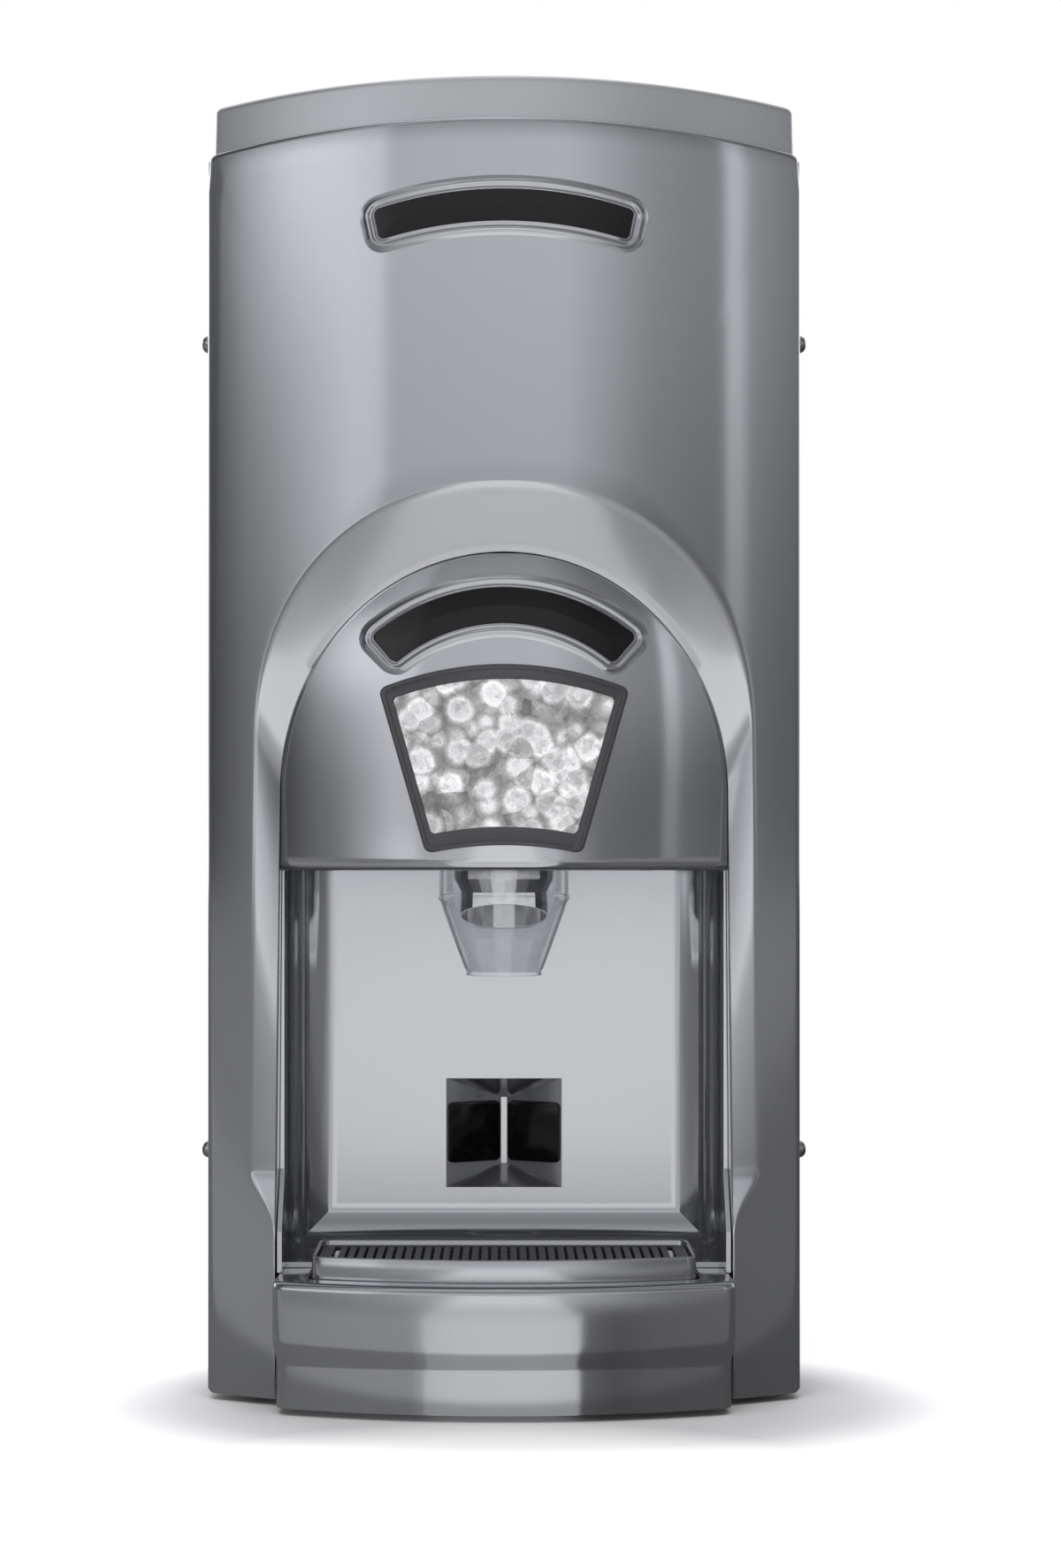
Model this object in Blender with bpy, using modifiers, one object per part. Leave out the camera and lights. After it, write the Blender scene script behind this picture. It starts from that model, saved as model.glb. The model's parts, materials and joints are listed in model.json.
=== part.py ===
"""A countertop ice dispenser: bowed front, arched bay with a clear chute, and the works behind it.

Metres, +Z up. The front faces -Y and the floor is z = 0. The origin is under the middle of the case.
"""

import math

import bmesh
import bpy
from mathutils import Matrix, Vector

# Clearances shared by all pieces
GAP = 0.0003
OVERRUN = 0.004
FOLD = 0.0015

# Case
CASE_HALF_WIDTH = 0.175
CASE_BACK = 0.2735
SHEET = 0.0015
SIDE_RETURN = 0.0072
SIDE_TOP = 0.732
SIDE_BOTTOM = 0.010
FOOT_HEIGHT = 0.006
FOOT_RADIUS = 0.014
FOOT_INSET = 0.035
FOOT_FRONT_INSET = 0.038
FOOT_REAR_INSET = 0.0335
PAN_WALL = 0.020

# Front panel: an arc in plan, arched along its top edge
BOW_RADIUS = 0.324
PANEL_FRONT = -0.2615
PANEL_WALL = 0.0025
PANEL_BOTTOM = 0.004
PANEL_TOP = 0.7448
PANEL_TOP_DROP = 0.0105
PANEL_TOP_LIP = 0.008

# Arched bay in the front panel
ARCH_INSET = 0.029
ARCH_HEIGHT = 0.146
ARCH_CENTRE_Z = 0.390
ARCH_POWER = 2.2
ARCH_FOOT_INSET = 0.024
ARCH_FOOT_Z = 0.1357
BAY_INSET = 0.044
BAY_ARCH_HEIGHT = 0.1385
BAY_ARCH_CENTRE_Z = 0.357
BAY_FOOT_INSET = 0.0418
BAY_EDGE = 0.0012
BAY_MERGE_Z = 0.101
RECESS = 0.022
RECESS_LOW = 0.003

# Hood over the bay
HOOD_BOTTOM = 0.312
HOOD_WALL = 0.0025
HOOD_TOP_BULGE_POWER = 0.75
HOOD_SIDE_POWER = 9.0

# Bay liner and its sensor pocket
LINER_INSET = 0.001
LINER_BACK = -0.138
LINER_EDGE_CLEAR = 0.0058
LINER_WALL = 0.003
LINER_ROUND = 0.028
POCKET_HALF_WIDTH = 0.0355
POCKET_BOTTOM = 0.1174
POCKET_TOP = 0.1843
POCKET_DEPTH = 0.020
POCKET_HIP = 0.0130
POCKET_WALL = 0.0025
SENSOR_WINDOW_WIDTH = 0.034
SENSOR_WINDOW_HEIGHT = 0.0365
SENSOR_WINDOW_THICKNESS = 0.0015
SENSOR_BOARD_THICKNESS = 0.0016
SENSOR_BOARD_MARGIN = 0.004
SENSOR_POST = 0.0025
SENSOR_CAN = 0.004

# Sill, drip tray and grille
SILL_FRONT = -0.2915
SILL_SIDE_GAP = 0.0005
SILL_TOP = 0.077
SILL_STEP_TOP = 0.043
SILL_STEP_BOTTOM = 0.030
SILL_STEP_DEPTH = 0.004
SILL_ROUND = 0.004
SILL_CORNER = 0.010
SILL_WALL = 0.003
SILL_BACK = -0.142
SILL_SHELF_Z = 0.052
TRAY_FRONT = -0.2725
TRAY_BACK = -0.1755
TRAY_INSET = 0.0217
TRAY_TOP = 0.090
TRAY_FLOOR = 0.0605
TRAY_WALL = 0.0022
TRAY_CORNER = 0.008
TRAY_SEAT = 0.002
GRILLE_THICKNESS = 0.003
GRILLE_DROP = 0.003
GRILLE_SLOT = 0.004
GRILLE_PITCH = 0.0125
GRILLE_MARGIN = 0.010
GRILLE_LEG = 0.003
DRAIN_BORE = 0.006
DRAIN_SPIGOT_RADIUS = 0.008
DRAIN_SPIGOT_LENGTH = 0.010

# Top cover
COVER_FRONT = -0.2495
COVER_INSET = 0.0026
COVER_DRAFT = 0.0008
COVER_TOP = 0.772
COVER_TOP_DROP = 0.0062
COVER_CROWN = 0.010
COVER_ROUND = 0.003
COVER_CORNER = 0.006
COVER_WALL = 0.003
COVER_LEDGE = 0.012
COVER_LEDGE_Z = 0.727

# Plates and window on the front
NAME_PLATE_HALF_WIDTH = 0.0735
NAME_PLATE_TOP = 0.7025
NAME_PLATE_HEIGHT = 0.018
NAME_PLATE_ARC = 0.275
PLATE_THICKNESS = 0.0012
LABEL_CENTRE_DROP = 0.001
LABEL_TOP_INSET = 0.019
LABEL_HEIGHT = 0.021
LABEL_SIDE_INSET = 0.0542
WINDOW_TOP = 0.4307
WINDOW_BOTTOM = 0.3265
WINDOW_TOP_HALF_WIDTH = 0.0726
WINDOW_BOTTOM_HALF_WIDTH = 0.0450
WINDOW_TOP_SAG = 0.0137
WINDOW_BOTTOM_SAG = -0.0020
WINDOW_SIDE_BORDER = 0.0060
WINDOW_TOP_BORDER = 0.0084
WINDOW_BOTTOM_BORDER = 0.0106
WINDOW_FRAME_DEPTH = 0.003

# Chute and spout
CHUTE_Y = -0.203
CHUTE_RADIUS = 0.0382
CHUTE_TIP_RADIUS = 0.022
CHUTE_TUBE_DROP = 0.018
CHUTE_CONE_LENGTH = 0.044
CHUTE_WALL = 0.002
CHUTE_FLANGE = 0.007
SPOUT_RADIUS = 0.0296
SPOUT_WAIST = 0.0256
SPOUT_MOUTH = 0.0270
SPOUT_WAIST_DROP = 0.013
SPOUT_SHOULDER_DROP = 0.005
SPOUT_FRONT_LIP_DROP = 0.019
SPOUT_BACK_LIP_DROP = 0.034
SPOUT_WALL = 0.0012
SPOUT_FLANGE = 0.008

# Side screws
SCREW_INSET = 0.010
SCREW_UPPER_Z = 0.6257
SCREW_LOWER_Z = 0.1462
SCREW_HEAD_RADIUS = 0.00525
SCREW_HEAD_HEIGHT = 0.0050
SCREW_SHANK_RADIUS = 0.002
SCREW_LENGTH = 0.010

# Shelf and ice bin
SHELF_RISE = 0.063
SHELF_FRONT = -0.150
SHELF_BACK = 0.135
SHELF_FLANGE = 0.022
BIN_Y = -0.025
BIN_CLEAR = 0.0285
BIN_WALL = 0.007
BIN_FLOOR = 0.010
BIN_TOP = 0.690
BIN_RIM = 0.007
LID_THICKNESS = 0.008
LID_DOME = 0.006
LID_SKIRT = 0.006
PORT_HALF_WIDTH = 0.028
PORT_RISE = 0.0167
PORT_HEIGHT = 0.056
CHAMBER_HALF_WIDTH = 0.036
CHAMBER_FRONT = -0.237
CHAMBER_RISE = 0.0867
CHAMBER_WALL = 0.003

# Agitator and its drive
SHAFT_RADIUS = 0.007
SHAFT_TOP = 0.640
AGITATOR_ARM_RADIUS = 0.004
AGITATOR_ARM_CLEAR = 0.026
AGITATOR_ARM_RISE = 0.0167
AGITATOR_ARM_PITCH = 0.062
GEAR_MODULE = 0.0025
GEAR_TEETH = 36
PINION_TEETH = 12
GEAR_WIDTH = 0.010
GEAR_DROP = 0.028
TOOTH_GAP = 0.0004
COLLAR = 0.004
MOTOR_RADIUS = 0.028
MOTOR_LENGTH = 0.070
MOTOR_SHAFT_RADIUS = 0.005
MOTOR_PLATE = 0.003

# Outlet flap and its solenoid
FLAP_HINGE_DROP = 0.0075
FLAP_SHAFT_RADIUS = 0.003
FLAP_THICKNESS = 0.003
FLAP_LEVER_X = 0.046
FLAP_LEVER_LENGTH = 0.018
FLAP_LEVER_WIDTH = 0.004
FLAP_LEVER_DEPTH = 0.0066
FORK_CHEEK = 0.0025
FORK_SIDE_GAP = 0.001
FORK_DROP = 0.012
FORK_RISE = 0.010
FORK_DEPTH = 0.010
FORK_PIN_RADIUS = 0.0012
PLUNGER_RADIUS = 0.0035
PLUNGER_LENGTH = 0.034
SOLENOID_SIZE = 0.020
SOLENOID_HEIGHT = 0.034
SOLENOID_CLEAR = 0.018

# Ice maker: evaporator barrel, auger, gearmotor, nugget head and ice tube
BARREL_CLEAR = 0.0325
BARREL_Y = 0.190
BARREL_RADIUS = 0.042
BARREL_BORE = 0.031
BARREL_BOTTOM = 0.182
BARREL_TOP = 0.420
AUGER_RADIUS = 0.0295
AUGER_CORE = 0.012
AUGER_PITCH = 0.052
AUGER_FLIGHT = 0.004
AUGER_CLEAR = 0.004
HEAD_RADIUS = 0.034
HEAD_HEIGHT = 0.035
GEARBOX_RADIUS = 0.046
GEARBOX_HEIGHT = 0.045
MOTOR_CAN_RADIUS = 0.040
MAKER_STUB_RADIUS = 0.010
ICE_TUBE_RADIUS = 0.015
ICE_TUBE_WALL = 0.0025
ICE_TUBE_TOP = 0.738
ICE_TUBE_END_X_SHARE = -0.3623
ICE_TUBE_END_Y_SHARE = 0.5797

# Cooling: compressor, condenser and fan
COMPRESSOR_CLEAR = 0.0215
COMPRESSOR_Y = 0.052
COMPRESSOR_RADIUS = 0.064
COMPRESSOR_HEIGHT = 0.150
COMPRESSOR_FOOT = 0.012
COMPRESSOR_PLATE = 0.004
CONDENSER_CLEAR = 0.0135
CONDENSER_HOSE_CLEAR = 0.028
CONDENSER_FRONT = 0.215
CONDENSER_DEPTH = 0.038
CONDENSER_HEIGHT = 0.170
CONDENSER_FIN = 0.002
CONDENSER_FIN_GAP = 0.010
CONDENSER_FIN_DEPTH = 0.006
SHROUD_DEPTH = 0.012
FAN_Z = 0.118
FAN_BORDER = 0.020
FAN_HUB = 0.018
FAN_HUB_DEPTH = 0.016
FAN_BLADES = 5
FAN_TIP_GAP = 0.005
FAN_BLADE_THICKNESS = 0.0015
FAN_MOTOR_RADIUS = 0.024
FAN_MOTOR_LENGTH = 0.045
FAN_SHAFT_RADIUS = 0.003
FAN_ARM = 0.006

# Water: float tank, float, inlet and drain
TANK_CLEAR = 0.0155
TANK_Y = 0.085
TANK_WIDTH = 0.060
TANK_DEPTH = 0.080
TANK_BOTTOM = 0.265
TANK_HEIGHT = 0.075
TANK_WALL = 0.0025
FLOAT_RADIUS = 0.014
FLOAT_HEIGHT = 0.022
FLOAT_ARM = 0.034
FLOAT_ARM_RADIUS = 0.0018
FLOAT_PIVOT_DROP = 0.016
FITTING_REACH = 0.018
FITTING_RADIUS = 0.0095
FITTING_BORE = 0.006
FITTING_FLANGE = 0.016
FITTING_FLANGE_THICKNESS = 0.003
WATER_INLET_INSET = 0.0385
FITTINGS_Z = 0.062
DRAIN_CLEAR = 0.009
HOSE_RADIUS = 0.0065
HOSE_WALL = 0.0015

# Electrics
CONTROL_BOX_WIDTH = 0.0952
CONTROL_BOX_FRONT = 0.170
CONTROL_BOX_BACK = 0.240
CONTROL_BOX_BOTTOM = 0.430
CONTROL_BOX_TOP = 0.620
POWER_INSET = 0.0505
INLET_Z = 0.475
INLET_HALF_WIDTH = 0.0145
INLET_HALF_HEIGHT = 0.011
INLET_DEPTH = 0.022
INLET_FLANGE = 0.005
SWITCH_Z = 0.540
SWITCH_HALF_WIDTH = 0.0065
SWITCH_HALF_HEIGHT = 0.0105
SWITCH_PROUD = 0.003
SWITCH_BODY_DEPTH = 0.018
SWITCH_CLEAR = 0.0015
SWITCH_FRAME = 0.0035
SWITCH_TILT = math.radians(8)
LOUVRE_INSET = 0.007
LOUVRE_BOTTOM = 0.050
LOUVRE_PITCH = 0.018
LOUVRE_COUNT = 8
LOUVRE_SLOT = 0.007
LOUVRE_PROUD = 0.005

# Places worked out from the sizes above
BOW_CENTRE = PANEL_FRONT + BOW_RADIUS
SIDE_INNER = CASE_HALF_WIDTH - SHEET
ARCH_HALF_WIDTH = CASE_HALF_WIDTH - ARCH_INSET
ARCH_FOOT_HALF_WIDTH = CASE_HALF_WIDTH - ARCH_FOOT_INSET
BAY_HALF_WIDTH = CASE_HALF_WIDTH - BAY_INSET
BAY_LOW_HALF_WIDTH = CASE_HALF_WIDTH - BAY_FOOT_INSET
LABEL_CENTRE_Z = BAY_ARCH_CENTRE_Z - LABEL_CENTRE_DROP
LABEL_OUTER_RADIUS = BAY_ARCH_HEIGHT - LABEL_TOP_INSET
LABEL_INNER_RADIUS = LABEL_OUTER_RADIUS - LABEL_HEIGHT
LABEL_HALF_ANGLE = math.asin((BAY_HALF_WIDTH - LABEL_SIDE_INSET) / LABEL_OUTER_RADIUS)
LINER_HALF_WIDTH = BAY_HALF_WIDTH - LINER_INSET
BAY_EDGE_Y = BOW_CENTRE - math.sqrt(BOW_RADIUS**2 - BAY_HALF_WIDTH**2) + RECESS
LINER_FRONT = BAY_EDGE_Y + LINER_EDGE_CLEAR
SILL_HALF_WIDTH = BAY_LOW_HALF_WIDTH - SILL_SIDE_GAP
TRAY_HALF_WIDTH = SILL_HALF_WIDTH - TRAY_INSET
BACK_INNER = CASE_BACK - SHEET
PAN_BOTTOM = FOOT_HEIGHT + GAP
PAN_FLOOR = PAN_BOTTOM + FOLD
LINER_CEILING = HOOD_BOTTOM + GAP
SIDE_FRONT = BOW_CENTRE - math.sqrt(BOW_RADIUS**2 - CASE_HALF_WIDTH**2) + SIDE_RETURN
SCREW_Y = SIDE_FRONT + SCREW_INSET
COVER_HALF_WIDTH = CASE_HALF_WIDTH - COVER_INSET
FOOT_X = CASE_HALF_WIDTH - FOOT_INSET
FOOT_FRONT_Y = SIDE_FRONT + FOOT_FRONT_INSET
FOOT_REAR_Y = CASE_BACK - FOOT_REAR_INSET
SHELF_TOP = HOOD_BOTTOM + SHELF_RISE
BIN_BOTTOM = SHELF_TOP + GAP
BIN_RADIUS = SIDE_INNER - BIN_CLEAR - BIN_RIM
AGITATOR_ARM_REACH = BIN_RADIUS - AGITATOR_ARM_CLEAR
ICE_TUBE_END_X = BIN_RADIUS * ICE_TUBE_END_X_SHARE
ICE_TUBE_END_Y = BIN_Y + BIN_RADIUS * ICE_TUBE_END_Y_SHARE
CHUTE_TAPER_Z = HOOD_BOTTOM - CHUTE_TUBE_DROP
CHUTE_TIP_Z = CHUTE_TAPER_Z - CHUTE_CONE_LENGTH
SPOUT_SHOULDER_Z = HOOD_BOTTOM - SPOUT_SHOULDER_DROP
SPOUT_WAIST_Z = HOOD_BOTTOM - SPOUT_WAIST_DROP
SPOUT_FRONT_LIP_Z = HOOD_BOTTOM - SPOUT_FRONT_LIP_DROP
SPOUT_BACK_LIP_Z = HOOD_BOTTOM - SPOUT_BACK_LIP_DROP
PORT_BOTTOM = BIN_BOTTOM + PORT_RISE
CHAMBER_TOP = BIN_BOTTOM + CHAMBER_RISE
FLAP_HINGE_Z = CHAMBER_TOP - FLAP_HINGE_DROP
AGITATOR_ARM_LOW_Z = BIN_BOTTOM + BIN_FLOOR + AGITATOR_ARM_RISE
GEAR_Z = SHELF_TOP - GEAR_DROP
LID_BOTTOM = BIN_TOP + GAP
GEAR_CENTRES = GEAR_MODULE * (GEAR_TEETH + PINION_TEETH) / 2
MOTOR_X = GEAR_CENTRES
FLAP_HINGE_Y = BIN_Y - BIN_RADIUS - CHAMBER_WALL - GAP * 2 - FLAP_SHAFT_RADIUS
COMPRESSOR_X = COMPRESSOR_RADIUS + COMPRESSOR_CLEAR - SIDE_INNER
BARREL_X = GEARBOX_RADIUS + BARREL_CLEAR - SIDE_INNER
DRAIN_X = BARREL_X + GEARBOX_RADIUS + DRAIN_CLEAR
CONDENSER_RIGHT = SIDE_INNER - CONDENSER_CLEAR
CONDENSER_LEFT = DRAIN_X + CONDENSER_HOSE_CLEAR
LOUVRE_LEFT = CONDENSER_LEFT + LOUVRE_INSET
LOUVRE_RIGHT = CONDENSER_RIGHT - LOUVRE_INSET
FAN_X = (CONDENSER_LEFT + CONDENSER_RIGHT) / 2
FAN_RADIUS = (CONDENSER_RIGHT - CONDENSER_LEFT) / 2 - FAN_BORDER
TANK_X = SIDE_INNER - TANK_CLEAR - TANK_WIDTH / 2
CONTROL_BOX_LEFT = SIDE_INNER - GAP - CONTROL_BOX_WIDTH
POWER_X = SIDE_INNER - POWER_INSET
WATER_INLET_X = WATER_INLET_INSET - SIDE_INNER
SHROUD_BACK = CONDENSER_FRONT - GAP
SHROUD_FRONT = SHROUD_BACK - SHROUD_DEPTH


def clear_scene():
    for old in list(bpy.data.objects):
        bpy.data.objects.remove(old, do_unlink=True)


def new_collection(name):
    made = bpy.data.collections.new(name)
    bpy.context.scene.collection.children.link(made)
    return made


clear_scene()
PARTS = new_collection("ice_dispenser")
CUTTERS = new_collection("cutters")
CUTTERS.hide_render = True


def material(name, colour, roughness, metallic=0.0, alpha=1.0):
    made = bpy.data.materials.new(name)
    made.use_nodes = True
    shader = made.node_tree.nodes["Principled BSDF"]
    shader.inputs["Base Color"].default_value = (*colour, 1.0)
    shader.inputs["Roughness"].default_value = roughness
    shader.inputs["Metallic"].default_value = metallic
    shader.inputs["Alpha"].default_value = alpha
    made.diffuse_color = (*colour, alpha)
    return made


def add_object(name, bm, finish, origin=(0, 0, 0), cutter=False, smooth=True):
    """An object from a bmesh drawn in world places, with its own origin where a joint needs it."""
    bmesh.ops.recalc_face_normals(bm, faces=bm.faces)
    bmesh.ops.translate(bm, verts=bm.verts, vec=-Vector(origin))
    data = bpy.data.meshes.new(name)
    bm.to_mesh(data)
    bm.free()
    made = bpy.data.objects.new(name, data)
    made.location = origin
    if cutter:
        CUTTERS.objects.link(made)
        made.hide_render = True
        made.display_type = "WIRE"
        return made
    PARTS.objects.link(made)
    data.materials.append(finish)
    if smooth:
        data.shade_smooth()
        data.set_sharp_from_angle(angle=math.radians(35))
    return made


def boolean(target, bm, operation="DIFFERENCE"):
    """Cuts or joins a shape drawn in world places."""
    count = sum(modifier.type == "BOOLEAN" for modifier in target.modifiers)
    other = add_object(f"{target.name}_{operation.lower()}_{count}", bm, None, cutter=True)
    modifier = target.modifiers.new(operation.lower(), "BOOLEAN")
    modifier.operation = operation
    modifier.solver = "EXACT"
    modifier.object = other
    return target


def solidify(made, thickness):
    modifier = made.modifiers.new("wall", "SOLIDIFY")
    modifier.thickness = thickness
    modifier.offset = -1
    modifier.use_even_offset = True
    return modifier


def bevel(made, width, segments=2, angle=40):
    modifier = made.modifiers.new("round", "BEVEL")
    modifier.width = width
    modifier.segments = segments
    modifier.limit_method = "ANGLE"
    modifier.angle_limit = math.radians(angle)
    return modifier


def box(low, high):
    low, high = Vector(low), Vector(high)
    bm = bmesh.new()
    bmesh.ops.create_cube(bm, size=1)
    bmesh.ops.scale(bm, verts=bm.verts, vec=high - low)
    bmesh.ops.translate(bm, verts=bm.verts, vec=(low + high) / 2)
    return bm


def rod(start, end, radius, sides=16):
    """A cylinder between two points."""
    start, end = Vector(start), Vector(end)
    along = end - start
    bm = bmesh.new()
    bmesh.ops.create_cone(
        bm,
        cap_ends=True,
        segments=sides,
        radius1=radius,
        radius2=radius,
        depth=along.length,
    )
    turn = Vector((0, 0, 1)).rotation_difference(along).to_matrix().to_4x4()
    bmesh.ops.transform(bm, matrix=Matrix.Translation((start + end) / 2) @ turn, verts=bm.verts)
    return bm


def loft(rings, closed=True, cap=True):
    """Skins rings of points, one after another, and caps the first and the last."""
    bm = bmesh.new()
    rows = [[bm.verts.new(point) for point in ring] for ring in rings]
    count = len(rows[0])
    for lower, upper in zip(rows, rows[1:]):
        for i in range(count if closed else count - 1):
            j = (i + 1) % count
            bm.faces.new((lower[i], lower[j], upper[j], upper[i]))
    if cap:
        bm.faces.new(rows[0])
        bm.faces.new(rows[-1])
    return bm


def turned(name, profile, finish, centre=(0, 0, 0), turn=(0, 0, 0), steps=32):
    """A closed (radius, height) profile, given down its outer side and up its inner one."""
    data = bpy.data.meshes.new(name)
    points = [(radius, 0, height) for radius, height in profile]
    on_axis = profile[0][0] == 0 and profile[-1][0] == 0
    edges = [(i, i + 1) for i in range(len(points) - 1)]
    if not on_axis:
        edges.append((len(points) - 1, 0))
    data.from_pydata(points, edges, [])
    made = bpy.data.objects.new(name, data)
    made.location = centre
    made.rotation_euler = turn
    screw = made.modifiers.new("turn", "SCREW")
    screw.steps = steps
    screw.render_steps = steps
    screw.use_merge_vertices = True
    screw.merge_threshold = 0.00001
    PARTS.objects.link(made)
    data.materials.append(finish)
    return made


def cut_with(target, other, operation="DIFFERENCE"):
    modifier = target.modifiers.new(operation.lower(), "BOOLEAN")
    modifier.operation = operation
    modifier.object = other
    return target


def bow(x, front=PANEL_FRONT):
    """Where the bowed front lies at x. Every bow shares one centre."""
    return BOW_CENTRE - math.sqrt((BOW_CENTRE - front) ** 2 - x * x)


def arc_points(centre, radius, start, end, steps):
    return [
        (
            centre[0] + radius * math.cos(start + (end - start) * i / steps),
            centre[1] + radius * math.sin(start + (end - start) * i / steps),
        )
        for i in range(steps + 1)
    ]


def bowed_outline(front, half_width, back, corner, back_corner=None, bow_steps=12, corner_steps=3):
    """A plan outline: bowed front, straight sides and back, rounded corners, seen from above."""
    back_corner = corner if back_corner is None else back_corner
    radius = BOW_CENTRE - front
    corner_x = half_width - corner
    corner_y = BOW_CENTRE - math.sqrt((radius - corner) ** 2 - corner_x**2)
    touch = math.atan2(corner_y - BOW_CENTRE, corner_x)
    right = arc_points((corner_x, corner_y), corner, touch, 0, corner_steps)
    rear = arc_points(
        (half_width - back_corner, back - back_corner), back_corner, 0, math.pi / 2, corner_steps
    )
    half = right + rear
    front_arc = arc_points((0, BOW_CENTRE), radius, -math.pi - touch, touch, bow_steps)
    mirrored = [(-x, y) for x, y in reversed(half)]
    return front_arc[1:-1] + half + mirrored


def raise_outline(outline, height):
    return [(x, y, height) for x, y in outline]


def prism(outline, bottom, top):
    return loft([raise_outline(outline, bottom), raise_outline(outline, top)])


GREY_GLOSS = material("grey_gloss_plastic", (0.36, 0.36, 0.39), 0.22, 0.25)
GREY_SATIN = material("grey_satin_plastic", (0.42, 0.43, 0.45), 0.4, 0.1)
BLACK_PLASTIC = material("black_plastic", (0.012, 0.012, 0.014), 0.3)
DARK_GREY = material("dark_grey_plastic", (0.075, 0.075, 0.08), 0.4)
PICTURE_PALE = material("picture_pale", (0.72, 0.74, 0.77), 0.25)
CLEAR_PLASTIC = material("clear_plastic", (0.85, 0.87, 0.9), 0.08, alpha=0.35)
STEEL = material("steel", (0.6, 0.6, 0.62), 0.25, 1.0)
ZINC_SHEET = material("zinc_sheet", (0.5, 0.51, 0.52), 0.45, 0.9)
RUBBER = material("rubber", (0.02, 0.02, 0.02), 0.8)
WHITE_PLASTIC = material("white_plastic", (0.75, 0.76, 0.75), 0.45)
FOAM_BLACK = material("foam_black", (0.03, 0.03, 0.032), 0.85)
BRASS = material("brass", (0.6, 0.42, 0.17), 0.35, 1.0)
ALUMINIUM = material("aluminium", (0.62, 0.63, 0.65), 0.4, 1.0)
MOTOR_BLACK = material("motor_black", (0.02, 0.02, 0.022), 0.45)
BOARD_GREEN = material("board_green", (0.02, 0.12, 0.05), 0.5)


def superellipse(angle, half_width, height, power):
    """The point of a superellipse on the ray at this angle from its centre."""
    reach = (
        abs(math.cos(angle) / half_width) ** power + abs(math.sin(angle) / height) ** power
    ) ** (-1 / power)
    return reach * math.cos(angle), reach * math.sin(angle)


def bay_half_width(z):
    """Half the width of the bay's inner edge at this height."""
    if z >= BAY_ARCH_CENTRE_Z:
        rise = (z - BAY_ARCH_CENTRE_Z) / BAY_ARCH_HEIGHT
        return BAY_HALF_WIDTH * math.sqrt(max(0, 1 - rise * rise))
    share = (BAY_ARCH_CENTRE_Z - z) / (BAY_ARCH_CENTRE_Z - SILL_TOP)
    return BAY_HALF_WIDTH + (BAY_LOW_HALF_WIDTH - BAY_HALF_WIDTH) * min(1, share)


def panel_top(x):
    return PANEL_TOP - PANEL_TOP_DROP * (x / CASE_HALF_WIDTH) ** 2


def panel_column(inner, outer, edge, back, recess):
    """One strip of the front panel, from the bay's inner edge over the band to the case's edge."""
    band_shares = (1, 0.65, 0.3, 0.12, 0)
    face_shares = (0.25, 0.55, 0.85, 1)
    ease_share = 0.25
    column = []
    for share in band_shares:
        x = outer[0] + (inner[0] - outer[0]) * share
        z = outer[1] + (inner[1] - outer[1]) * share
        if share < ease_share:
            fall = share * share / (2 * ease_share)
        else:
            fall = share - ease_share / 2
        column.append((x, bow(x) + recess * fall / (1 - ease_share / 2), z))
    for share in face_shares:
        x = outer[0] + (edge[0] - outer[0]) * share
        z = outer[1] + (edge[1] - outer[1]) * share
        column.append((x, bow(x), z))
    column.append((edge[0], back, edge[1]))
    return column


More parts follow.
